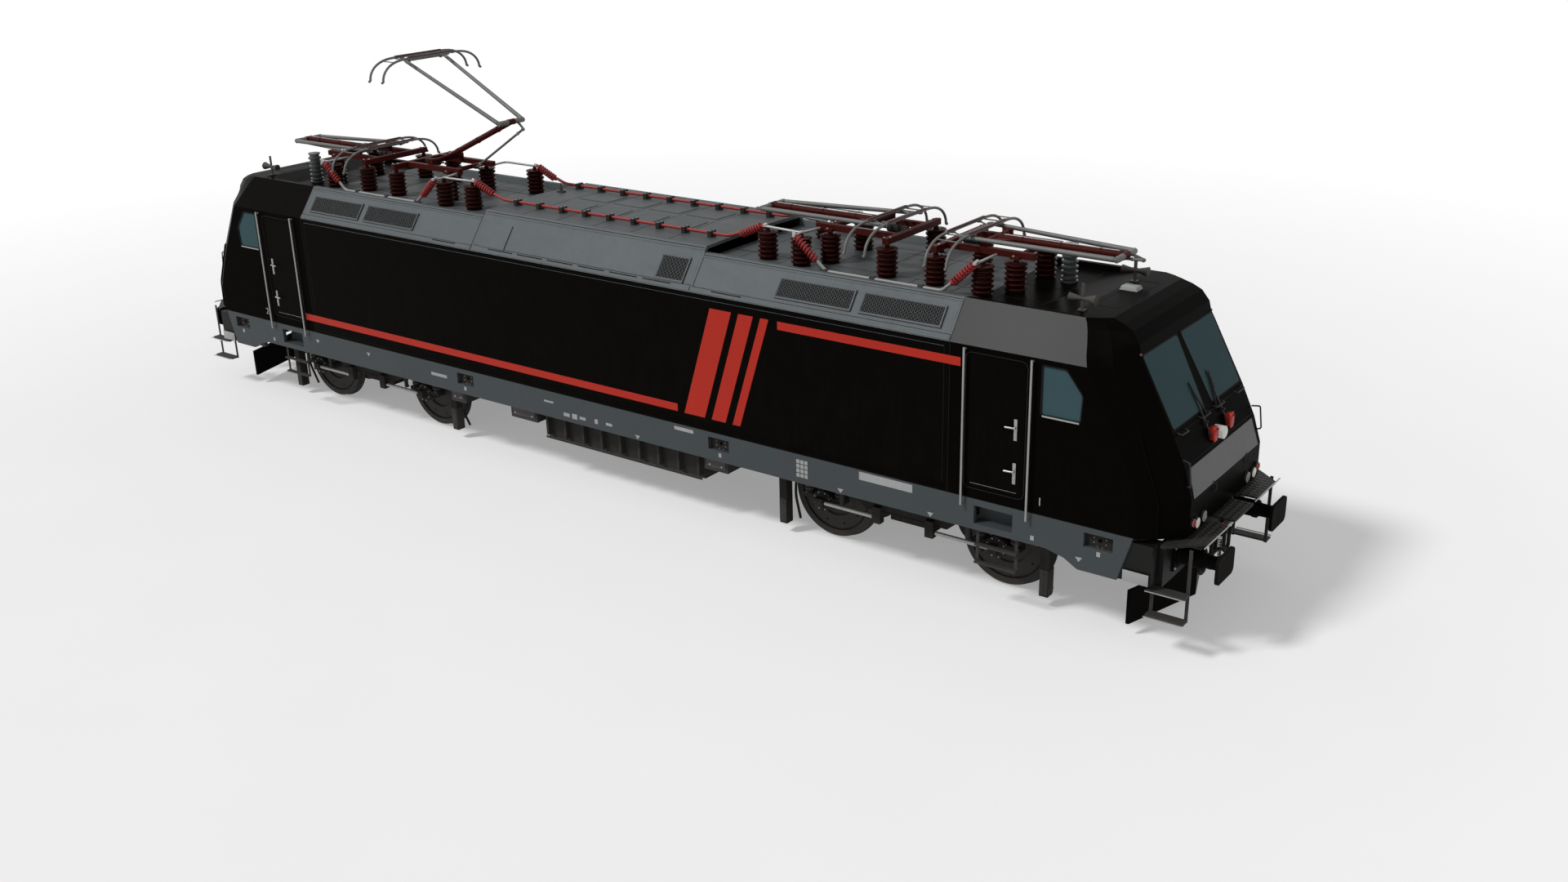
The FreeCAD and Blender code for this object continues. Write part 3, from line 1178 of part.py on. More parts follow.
hook = prism("Hook", "XZ",
             [(tip, "buffer_height - 55"), (f"{tip} + 210", "buffer_height - 60"),
              (f"{tip} + 265", "buffer_height - 5"), (f"{tip} + 255", "buffer_height + 75"),
              (f"{tip} + 200", "buffer_height + 75"), (f"{tip} + 195", "buffer_height + 20"),
              (f"{tip} + 165", "buffer_height"), (f"{tip} + 120", "buffer_height + 45"),
              (tip, "buffer_height + 45")], "-28", "28")
hook_plate = box("HookPlate", (tip, f"{tip} + 20"), ("-110", "110"),
                 ("buffer_height - 130", "buffer_height + 130"))
links = [rod("LinkPin", "Y", (f"{tip} + 110", "-90", "buffer_height - 20"), "180", "20")]
for label, sign in SIDES:
    links.append(box(f"LinkBar{label}", (f"{tip} + 88", f"{tip} + 132"),
                     both_ways("58", "82", sign), ("buffer_height - 300", "buffer_height - 5")))
links.append(rod("LinkNut", "Y", (f"{tip} + 110", "-95", "buffer_height - 300"), "190", "32"))
links.append(rod("Screw", "Z", (f"{tip} + 110", "0", "buffer_height - 470"), "170", "20"))
links.append(box("Shackle", (f"{tip} + 85", f"{tip} + 135"), ("-85", "85"),
                 ("buffer_height - 500", "buffer_height - 450")))
coupling = joined("Coupling", [hook, hook_plate, *links])
node("screw_couplings", group("Couplings", [coupling, mirrored("CouplingMirror", coupling)]))


def hose(name, sign):
    """A brake hose hung in a loop from its cock to its parking bracket."""
    y, loop, top = sign * size("hose_side"), sign * size("hose_loop"), size("hose_height")
    root = size("beam_face") + 60
    x, low = root + 70, top - size("hose_drop")
    corners = [(root, y, top), (x, y, top), (x, y, low), (x, y + 2 * loop, low),
               (x, y + 2 * loop, top - 100)]
    return bent_tube(name, corners, size("hose_bend"), size("hose_radius"))


for label, sign in SIDES:
    tube = hose(f"Hose{label}", sign)
    base_y = f"{sign} * hose_side"
    parked = f"{sign} * (hose_side + 2 * hose_loop)"
    x = "beam_face + 130"
    hoses.append(joined(f"HoseSet{label}", [
        tube,
        rod(f"HoseCock{label}", "X", (tip, base_y, "hose_height"), "60", "32"),
        box(f"HoseHead{label}", (f"{x} - 35", f"{x} + 35"), (f"{parked} - 35", f"{parked} + 35"),
            ("hose_height - 105", "hose_height - 25")),
        box(f"HoseArm{label}", (tip, f"{x} + 10"), (f"{parked} - 12", f"{parked} + 12"),
            ("hose_height - 40", "hose_height - 25"))]))
hose_pair = group("HosePair", hoses)
node("brake_hoses", group("Hoses", [hose_pair, mirrored("HoseMirror", hose_pair)]))

board_low, board_high = DECK_LOW, f"{DECK_LOW} + footboard_thick"
for label, sign in SIDES:
    corners = [(tip, "500"), ("footboard_front", "500"), ("footboard_front", "1090"),
               (f"{tip} + 44", "1425"), (tip, "1425")]
    corners = corners if sign > 0 else [(x, f"-({y})") for x, y in corners]
    pieces = [prism(f"Footboard{label}", "XY", corners, board_low, board_high)]
    for number, y in enumerate(("560", "1150")):
        pieces.append(prism(f"Gusset{label}{number}", "XZ",
                            [(tip, f"{board_low} - 120"), (f"{tip} + 260", board_low),
                             (tip, board_low)],
                            *both_ways(y, f"{y} + 12", sign)))
    boards.append(joined(f"FootboardSet{label}", pieces))
boards.append(box("MiddleStep", (tip, "footboard_front + 8"), ("-300", "300"),
                  (board_low, board_high)))
board_set = group("BoardSet", boards)
node("footboards", group("Footboards", [board_set, mirrored("BoardMirror", board_set)]))


def ladder(name, x_low, x_high, y_low, y_high, top_low, top_high, foot, treads, sign):
    """Two flat stiles with deep treads between them."""
    pieces = []
    for number, (x, top) in enumerate(((x_low, top_low), (f"{x_high} - 40", top_high))):
        pieces.append(box(f"{name}Stile{number}", (x, f"{x} + 40"),
                          both_ways(y_low, f"{y_low} + 12", sign), (foot, top)))
    for number, level in enumerate(treads):
        pieces.append(box(f"{name}Tread{number}", (x_low, x_high), both_ways(y_low, y_high, sign),
                          (level, f"{level} + 25")))
    return joined(name, pieces)


ladders = []
for label, sign in SIDES:
    ladders.append(ladder(f"CornerLadder{label}", f"{tip} - 130", "footboard_front - 100",
                          "beam_half", "beam_half + 140", "beam_top_stile", board_low,
                          "flange_depth + 420", ("flange_depth + 430", "flange_depth + 760"),
                          sign))
    ladders.append(ladder(f"SideLadder{label}", "room_half + 390", "room_half + 965",
                          "body_half_width - wall - 12", "body_half_width - 10",
                          f"{DECK} - sole_depth + 45", f"{DECK} - sole_depth + 45",
                          "flange_depth + 520", ("flange_depth + 530", "flange_depth + 770"),
                          sign))
ladder_set = group("LadderSet", ladders)
node("ladders", group("Ladders", [ladder_set, mirrored("LadderMirror", ladder_set)]))

plough = joined("Plough", [
    prism("PloughBlade", "XY",
          [(f"{tip} - 60", "0"), (f"{tip} - 420", "1180"), (f"{tip} - 460", "1180"),
           (f"{tip} - 110", "0"), (f"{tip} - 460", "-1180"), (f"{tip} - 420", "-1180")],
          "plough_clear", "plough_top"),
    *[prism(f"PloughArm{label}", "XZ",
            [(f"{tip} - 285", "plough_top - 150"), (f"{tip} - 225", "plough_top - 150"),
             (f"{tip} - beam_plate", f"{DECK_LOW} - beam_height"),
             (f"{tip} - beam_plate", f"{DECK_LOW} - beam_height + 90"),
             (f"{tip} - beam_plate - 60", f"{DECK_LOW} - beam_height + 90")],
            *both_ways("520", "600", sign)) for label, sign in SIDES]])
node("ploughs", group("Ploughs", [plough, mirrored("PloughMirror", plough)]))

# Front lamps: place along Y, height above the deck, radius
LAMPS = ((900, 107, 62), (694, 113, 62), (1020, 150, 45))
for label, sign in SIDES:
    for number, (y, level, radius) in enumerate(LAMPS):
        lamps.append(rod(f"Lamp{label}{number}", "X",
                         ("cab_front", f"{sign} * {y}", f"{DECK} + {level}"), "28", str(radius)))
upper = rod("UpperLampBarrel", "X", ("cab_front - 400", "0", f"{DECK} + 910"), "330", "78")
lamps.append(cut("UpperLamp", upper, [cab_outer]))
lamp_set = group("LampSet", lamps)
node("lamps", group("Lamps", [lamp_set, mirrored("LampMirror", lamp_set)]))


def wiper(label, sign):
    """A wiper arm lying just ahead of the screen, on its spindle."""
    low, high = "(screen_sill - 300)", "(screen_sill + 320)"
    y = f"{sign} * 260"
    arm = prism(f"WiperArm{label}", "XZ",
                [(screen_x(low, "-14"), f"{DECK} + {low}"), (screen_x(low, "-26"), f"{DECK} + {low}"),
                 (screen_x(high, "-26"), f"{DECK} + {high}"),
                 (screen_x(high, "-14"), f"{DECK} + {high}")], f"{y} - 12", f"{y} + 12")
    spindle = rod(f"WiperSpindle{label}", "X",
                  ("cab_front - 400", y, f"{DECK} + screen_sill - 120"), "210", "14")
    return cut(f"Wiper{label}", joined(f"WiperSolid{label}", [arm, spindle]), [cab_outer])


wiper_set = group("WiperSet", [wiper(label, sign) for label, sign in SIDES])
node("wipers", group("Wipers", [wiper_set, mirrored("WiperMirror", wiper_set)]))


def handrail(number, x, sign):
    """An upright tube beside a door on two stand-offs."""
    y = f"{sign} * (body_half_width + rail_stand_off)"
    low, high = f"{DECK} - 100", f"{EAVE} - 20"
    pieces = [rod(f"RailTube{number}", "Z", (x, y, low), f"{high} - ({low})", "rail_tube")]
    for end, level in enumerate((f"{low} + 25", f"{high} - 25")):
        start = both_ways("body_half_width", "body_half_width + rail_stand_off", sign)[0]
        pieces.append(rod(f"RailFoot{number}{end}", "Y", (x, start, level), "rail_stand_off",
                          "rail_tube - 3"))
    return joined(f"Handrail{number}", pieces)


rails = []
for label, sign in SIDES:
    for step, x in enumerate((f"{DOOR_LOW} - 20", f"{DOOR_HIGH} + 80")):
        rails.append(handrail(f"{label}{step}", x, sign))
rail_set = group("RailSet", rails)
node("handrails", group("Rails", [rail_set, mirrored("RailMirror", rail_set)]))


# ------------------------------------------------------------------ finish
doc.recompute()
for item in doc.Objects:
    if "Invalid" in item.State or "Error" in item.State:
        raise RuntimeError(f"{item.Name} did not rebuild")
for name, feature in NODES.items():
    if feature.Shape.isNull() or not feature.Shape.isValid():
        raise RuntimeError(f"{name} has no sound shape")

os.makedirs("parts", exist_ok=True)
for name, feature in NODES.items():
    feature.Shape.exportStep(f"parts/{name}.step")
print(len(NODES), "sub-parts written")
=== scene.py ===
"""Looks of a four-axle electric locomotive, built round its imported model.

Metres, +X towards cab 1, +Y to the left, +Z up, floor at z = 0. Positions come from the boxes
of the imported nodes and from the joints; only small trim has sizes of its own.
"""

import json
import logging
import math
from dataclasses import dataclass
from enum import Enum
from typing import Callable, Iterable, Sequence

import bmesh
import bpy
from mathutils import Matrix, Vector
from mathutils.bvhtree import BVHTree


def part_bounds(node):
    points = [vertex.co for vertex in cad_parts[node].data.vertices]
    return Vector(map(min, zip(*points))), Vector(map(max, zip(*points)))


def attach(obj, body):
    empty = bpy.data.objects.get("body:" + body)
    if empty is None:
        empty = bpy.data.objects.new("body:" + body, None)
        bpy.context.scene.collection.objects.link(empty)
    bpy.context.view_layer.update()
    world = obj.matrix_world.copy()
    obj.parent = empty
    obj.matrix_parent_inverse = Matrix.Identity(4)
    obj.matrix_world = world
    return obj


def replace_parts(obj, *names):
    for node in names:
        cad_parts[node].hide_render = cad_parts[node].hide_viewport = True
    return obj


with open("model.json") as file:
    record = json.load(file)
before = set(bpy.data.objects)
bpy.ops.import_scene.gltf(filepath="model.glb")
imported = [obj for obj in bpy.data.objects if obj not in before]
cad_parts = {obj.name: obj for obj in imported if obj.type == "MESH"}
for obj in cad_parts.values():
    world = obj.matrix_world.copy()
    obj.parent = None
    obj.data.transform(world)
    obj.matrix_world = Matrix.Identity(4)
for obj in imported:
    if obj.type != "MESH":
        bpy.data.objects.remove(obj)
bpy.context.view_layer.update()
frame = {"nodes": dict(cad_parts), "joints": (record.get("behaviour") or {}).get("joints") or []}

LOG = logging.getLogger("locomotive")
Colour = tuple[float, float, float]
ENDS = ((1, 1), (2, -1))
SIDES = (("right", -1), ("left", 1))
CORNERS = ((1, 1), (1, -1), (-1, 1), (-1, -1))
AXES = ((1, 0, 0), (0, 1, 0), (0, 0, 1))


# ------------------------------------------------------------------ places read from the frame
@dataclass(frozen=True)
class Places:
    """Levels and faces of the locomotive, read from the boxes of its nodes."""

    deck: float
    eave: float
    roof: float
    well: float
    half: float
    room: float
    front: float

    @classmethod
    def from_frame(cls) -> "Places":
        """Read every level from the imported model.

        Returns:
            The places.
        """
        walls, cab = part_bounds("machine_room_walls"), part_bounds("cab_1_shell")
        return cls(deck=walls[0].z, eave=walls[1].z, roof=cab[1].z,
                   well=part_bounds("roof_insulators")[0].z, half=walls[1].y, room=walls[1].x,
                   front=cab[1].x)


AT = Places.from_frame()
JOINTS = {joint["name"]: joint for joint in frame["joints"]}


def ordered(sign: int, one: float, two: float) -> tuple[float, float]:
    """Two distances taken to the side that a sign names, the lower first."""
    low, high = sorted((sign * one, sign * two))
    return low, high


def joint_place(name: str) -> Vector:
    """The point that a joint turns about, at rest.

    Args:
        name: The joint's name.

    Returns:
        Its place in the row frame.
    """
    return Vector(JOINTS[name]["pos_m"])


# ------------------------------------------------------------------ shared shader effects
class NodeTree:
    """A thin wrapper that adds and links nodes in one line each."""

    def __init__(self, tree: bpy.types.NodeTree) -> None:
        """Wrap a node tree."""
        self.tree = tree

    def add(self, kind: str, inputs: dict | None = None, **settings: object) -> bpy.types.Node:
        """Add a node.

        Args:
            kind: Blender's node type.
            inputs: Values or output sockets by input name or number.
            **settings: Plain properties of the node.

        Returns:
            The new node.
        """
        node = self.tree.nodes.new(kind)
        for name, value in settings.items():
            setattr(node, name, value)
        for key, value in (inputs or {}).items():
            if isinstance(value, bpy.types.NodeSocket):
                self.tree.links.new(value, node.inputs[key])
            else:
                node.inputs[key].default_value = value
        return node

    def math(self, operation: str, *values: object) -> bpy.types.NodeSocket:
        """The result of one Math node."""
        node = self.add("ShaderNodeMath", dict(enumerate(values)), operation=operation)
        return node.outputs[0]

    def noise(self, where: bpy.types.NodeSocket, scale: float,
              detail: float = 2.0) -> bpy.types.NodeSocket:
        """The factor of a noise texture read at a coordinate."""
        node = self.add("ShaderNodeTexNoise", {"Vector": where, "Scale": scale, "Detail": detail})
        return node.outputs["Fac"]

    def blend(self, factor: object, first: object, second: object) -> bpy.types.NodeSocket:
        """A mix of two colours, as a socket."""
        node = self.add("ShaderNodeMix", {0: factor, 6: first, 7: second}, data_type="RGBA")
        return node.outputs[2]

    def spread(self, value: bpy.types.NodeSocket, low: float, high: float,
               to_low: float = 0.0, to_high: float = 1.0) -> bpy.types.NodeSocket:
        """A value moved from one range to another and clamped.

        Args:
            value: The value.
            low: Low end of the old range.
            high: High end of the old range.
            to_low: Low end of the new range.
            to_high: High end of the new range.

        Returns:
            The moved value.
        """
        node = self.add("ShaderNodeMapRange", {"Value": value, "From Min": low, "From Max": high,
                                               "To Min": to_low, "To Max": to_high})
        return node.outputs["Result"]


def shader_group(name: str, inputs: Sequence[tuple[str, str, object]],
                 outputs: Sequence[tuple[str, str]]) -> tuple[NodeTree, bpy.types.Node, bpy.types.Node]:
    """Start a shader node group with named sockets.

    Args:
        name: The group's name.
        inputs: Name, kind ("Float" or "Color") and default of each input.
        outputs: Name and kind of each output.

    Returns:
        The wrapped tree, its input node and its output node.
    """
    tree = bpy.data.node_groups.new(name, "ShaderNodeTree")
    for label, kind, default in inputs:
        socket = tree.interface.new_socket(label, in_out="INPUT",
                                           socket_type=f"NodeSocket{kind}")
        socket.default_value = default
    for label, kind in outputs:
        tree.interface.new_socket(label, in_out="OUTPUT", socket_type=f"NodeSocket{kind}")
    wrapped = NodeTree(tree)
    return wrapped, wrapped.add("NodeGroupInput"), wrapped.add("NodeGroupOutput")


def make_grime_group() -> bpy.types.NodeTree:
    """Road dirt that gathers low down and in patches: puts out a colour and a mask.

    Returns:
        The node group.
    """
    net, given, out = shader_group(
        "Grime", (("Paint", "Color", (0.1, 0.1, 0.1, 1)), ("Dirt", "Color", (0.1, 0.08, 0.06, 1)),
                  ("Amount", "Float", 0.3), ("Top", "Float", 1.5), ("Mottle", "Float", 0.1)),
        (("Color", "Color"), ("Mask", "Float")))
    where = net.add("ShaderNodeTexCoord").outputs["Object"]
    height = net.add("ShaderNodeSeparateXYZ", {0: where}).outputs["Z"]
    share = net.math("DIVIDE", height, given.outputs["Top"])
    low = net.math("SUBTRACT", 1.0, share)
    low = net.math("MAXIMUM", low, 0.0)
    patches = net.spread(net.noise(where, 3.5, 5.0), 0.35, 0.7)
    streaks = net.add("ShaderNodeMapping", {"Vector": where, "Scale": (9.0, 9.0, 0.8)})
    runs = net.spread(net.noise(streaks.outputs[0], 2.0, 3.0), 0.45, 0.75)
    spots = net.math("ADD", net.math("MULTIPLY", patches, 0.5), net.math("MULTIPLY", runs, 0.5))
    mask = net.math("MULTIPLY", net.math("ADD", low, 0.25), spots)
    mask = net.math("MULTIPLY", mask, given.outputs["Amount"])
    mask = net.math("MINIMUM", mask, 1.0)
    tone = net.math("SUBTRACT", net.noise(where, 0.9, 3.0), 0.5)
    tone = net.math("ADD", net.math("MULTIPLY", tone, given.outputs["Mottle"]), 1.0)
    varied = net.add("ShaderNodeVectorMath", {0: given.outputs["Paint"], 1: tone},
                     operation="MULTIPLY")
    net.tree.links.new(net.blend(mask, varied.outputs[0], given.outputs["Dirt"]),
                       out.inputs["Color"])
    net.tree.links.new(mask, out.inputs["Mask"])
    return net.tree


def make_grain_group() -> bpy.types.NodeTree:
    """Fine surface grain with faint brushing: puts out a height and a roughness.

    Returns:
        The node group.
    """
    net, given, out = shader_group(
        "Grain", (("Scale", "Float", 80.0), ("Roughness", "Float", 0.5), ("Spread", "Float", 0.1)),
        (("Height", "Float"), ("Roughness", "Float")))
    where = net.add("ShaderNodeTexCoord").outputs["Object"]
    fine = net.add("ShaderNodeTexNoise", {"Vector": where, "Scale": given.outputs["Scale"],
                                          "Detail": 3.0}).outputs["Fac"]
    broad = net.noise(where, 6.0, 4.0)
    wave = net.math("ADD", net.math("MULTIPLY", fine, 0.5), net.math("MULTIPLY", broad, 0.5))
    swing = net.math("MULTIPLY", net.math("SUBTRACT", wave, 0.5), given.outputs["Spread"])
    net.tree.links.new(fine, out.inputs["Height"])
    net.tree.links.new(net.math("ADD", given.outputs["Roughness"], swing),
                       out.inputs["Roughness"])
    return net.tree


def make_wear_group() -> bpy.types.NodeTree:
    """Paint rubbed off along edges, broken up by noise: puts out a mask.

    Returns:
        The node group.
    """
    net, given, out = shader_group("Edge wear", (("Amount", "Float", 0.3), ("Radius", "Float", 0.006)),
                                   (("Mask", "Float"),))
    where = net.add("ShaderNodeTexCoord").outputs["Object"]
    soft = net.add("ShaderNodeBevel", {"Radius": given.outputs["Radius"]}, samples=3)
    sharp = net.add("ShaderNodeNewGeometry").outputs["Normal"]
    turn = net.add("ShaderNodeVectorMath", {0: soft.outputs[0], 1: sharp},
                   operation="DOT_PRODUCT").outputs["Value"]
    edge = net.spread(turn, 0.97, 0.80)
    chips = net.spread(net.noise(where, 28.0, 4.0), 0.42, 0.62)
    mask = net.math("MULTIPLY", net.math("MULTIPLY", edge, chips), given.outputs["Amount"])
    net.tree.links.new(mask, out.inputs["Mask"])
    return net.tree


GRIME, GRAIN, WEAR = make_grime_group(), make_grain_group(), make_wear_group()


# ------------------------------------------------------------------ finishes
class Pattern(Enum):
    """What the surface relief of a finish looks like."""

    SMOOTH = "smooth"
    CHEQUER = "chequer plate"
    WEAVE = "weave"
    RINGED = "turned rings"


DIRT: Colour = (0.075, 0.062, 0.050)
BARE: Colour = (0.30, 0.29, 0.28)


@dataclass(frozen=True)
class Finish:
    """A painted, bare or moulded surface with grain, grime and worn edges.

    Attributes:
        unevenness: How far the roughness swings about its mean.
        second: Colour beyond a limit, or none.
        divide: Weights of the distances along X, Y and Z from the middle, and that limit.
        flat_shade: Share of painted shade on faces that look up, which darkens flat tops.
        lacquer: Clear coat on faces that lean as the eave slopes do.
    """

    name: str
    colour: Colour
    roughness: float = 0.5
    metallic: float = 0.0
    coat: float = 0.0
    specular: float = 0.25
    grain: float = 80.0
    relief: float = 0.08
    mottle: float = 0.25
    grime: float = 0.25
    grime_top: float = 1.5
    dirt: Colour = DIRT
    wear: float = 0.0
    bare: Colour = BARE
    pattern: Pattern = Pattern.SMOOTH
    unevenness: float = 0.25
    second: Colour | None = None
    divide: tuple[float, float, float, float] = (0.0, 1.0, 0.0, 0.8)
    flat_shade: float = 0.0
    lacquer: float = 0.0

    def build(self) -> bpy.types.Material:
        """Make the finish's material.

        Returns:
            A material whose colour, roughness and relief vary over the surface.
        """
        material = bpy.data.materials.new(self.name)
        material.use_nodes = True
        material.node_tree.nodes.clear()
        net = NodeTree(material.node_tree)
        grime = net.add("ShaderNodeGroup", node_tree=GRIME)
        grime.inputs["Paint"].default_value = (*self.colour, 1)
        grime.inputs["Dirt"].default_value = (*self.dirt, 1)
        for label, value in (("Amount", self.grime), ("Top", self.grime_top),
                             ("Mottle", self.mottle)):
            grime.inputs[label].default_value = value
        grain = net.add("ShaderNodeGroup", node_tree=GRAIN)
        for label, value in (("Scale", self.grain), ("Roughness", self.roughness),
                             ("Spread", self.unevenness)):
            grain.inputs[label].default_value = value
        colour, rough = grime.outputs["Color"], grain.outputs["Roughness"]
        if self.wear:
            wear = net.add("ShaderNodeGroup", node_tree=WEAR)
            wear.inputs["Amount"].default_value = self.wear
            colour = net.blend(wear.outputs["Mask"], colour, (*self.bare, 1))
        # Painted shade: faces that look up are darkened towards near-black, so flat tops read dimmer than
        # slopes.
        if self.flat_shade:
            facing = net.add("ShaderNodeNewGeometry").outputs["Normal"]
            rise = net.add("ShaderNodeSeparateXYZ", {0: facing}).outputs["Z"]
            flat = net.spread(rise, 0.90, 0.99, 0.0, self.flat_shade)
            colour = net.blend(flat, colour, (0.030, 0.031, 0.031, 1))
        if self.second:
            where = net.add("ShaderNodeTexCoord").outputs["Object"]
            away = net.add("ShaderNodeVectorMath", {0: where}, operation="ABSOLUTE").outputs[0]
            reach = net.add("ShaderNodeVectorMath", {0: away, 1: self.divide[:3]},
                            operation="DOT_PRODUCT").outputs["Value"]
            beyond = net.math("GREATER_THAN", reach, self.divide[3])
            colour = net.blend(beyond, colour, (*self.second, 1))
        rough = net.math("ADD", rough, net.math("MULTIPLY", grime.outputs["Mask"], 0.25))
        relief = self.relief_height(net, grain.outputs["Height"])
        bump = net.add("ShaderNodeBump", {"Height": relief, "Strength": self.relief,
                                          "Distance": 0.01})
        shader = net.add("ShaderNodeBsdfPrincipled",
                         {"Base Color": colour, "Roughness": rough, "Normal": bump.outputs[0]})
        shader.inputs["Metallic"].default_value = self.metallic
        shader.inputs["Coat Weight"].default_value = self.coat
        shader.inputs["Coat Roughness"].default_value = 0.18
        if self.lacquer:
            net.tree.links.new(self.eave_slope(net), shader.inputs["Coat Weight"])
        shader.inputs["Specular IOR Level"].default_value = self.specular
        net.add("ShaderNodeOutputMaterial", {"Surface": shader.outputs[0]})
        return material

    def eave_slope(self, net: NodeTree) -> bpy.types.NodeSocket:
        """The coat on faces that lean as the eave slopes do, and nowhere else.

        Args:
            net: The material's nodes.

        Returns:
            The coat's weight.
        """
        facing = net.add("ShaderNodeNewGeometry").outputs["Normal"]
        away = net.add("ShaderNodeVectorMath", {0: facing}, operation="ABSOLUTE").outputs[0]
        parts = net.add("ShaderNodeSeparateXYZ", {0: away})
        aside = net.spread(parts.outputs["Y"], 0.66, 0.76, 0.0, self.lacquer)
        return net.math("MULTIPLY", aside, net.spread(parts.outputs["Z"], 0.42, 0.56))

    def relief_height(self, net: NodeTree, fine: bpy.types.NodeSocket) -> bpy.types.NodeSocket:
        """The height that the finish's bump reads.

        Args:
            net: The material's nodes.
            fine: The fine grain, as a height.

        Returns:
            The grain, with the finish's pattern on it.
        """
        if self.pattern is Pattern.SMOOTH:
            return fine
        where = net.add("ShaderNodeTexCoord").outputs["Object"]
        turned = {Pattern.CHEQUER: ((0, 0, math.radians(45)), (1, 1, 0.01), 55.0),
                  Pattern.WEAVE: ((0, 0, 0), (1, 1, 1), 420.0),
                  Pattern.RINGED: ((0, 0, 0), (0.01, 1, 0.01), 30.0)}[self.pattern]
        mapping = net.add("ShaderNodeMapping", {"Vector": where, "Rotation": turned[0],
                                                "Scale": turned[1]})
        parts = net.add("ShaderNodeSeparateXYZ", {0: mapping.outputs[0]})
        waves = [net.math("SINE", net.math("MULTIPLY", parts.outputs[axis], turned[2]))
                 for axis in ("X", "Y")]
        product = net.math("MULTIPLY", *waves)
        raised = net.spread(product, -0.2, 0.9)
        return net.math("ADD", raised, net.math("MULTIPLY", fine, 0.15))


@dataclass(frozen=True)
class Glass:
    """A tinted pane or a lens."""

    name: str
    colour: Colour
    transmission: float
    roughness: float = 0.05
    glow: float = 0.0
    specular: float = 0.2
    index: float = 1.3

    def build(self) -> bpy.types.Material:
        """Make the pane's material.

        Returns:
            A material with faint dust over a plain transmission.
        """
        material = bpy.data.materials.new(self.name)
        material.use_nodes = True
        material.node_tree.nodes.clear()
        net = NodeTree(material.node_tree)
        grime = net.add("ShaderNodeGroup", node_tree=GRIME)
        grime.inputs["Paint"].default_value = (*self.colour, 1)
        grime.inputs["Dirt"].default_value = (0.16, 0.16, 0.15, 1)
        grime.inputs["Amount"].default_value = 0.15
        grime.inputs["Top"].default_value = 4.0
        grime.inputs["Mottle"].default_value = 0.1
        grain = net.add("ShaderNodeGroup", node_tree=GRAIN)
        grain.inputs["Scale"].default_value = 12.0
        grain.inputs["Roughness"].default_value = self.roughness
        grain.inputs["Spread"].default_value = 0.06
        shader = net.add("ShaderNodeBsdfPrincipled", {"Base Color": grime.outputs["Color"],
                                                      "Roughness": grain.outputs["Roughness"]})
        shader.inputs["Transmission Weight"].default_value = self.transmission
        shader.inputs["IOR"].default_value = self.index
        shader.inputs["Specular IOR Level"].default_value = self.specular
        if self.glow:
            net.tree.links.new(grime.outputs["Color"], shader.inputs["Emission Color"])
            shader.inputs["Emission Strength"].default_value = self.glow
        net.add("ShaderNodeOutputMaterial", {"Surface": shader.outputs[0]})
        return material


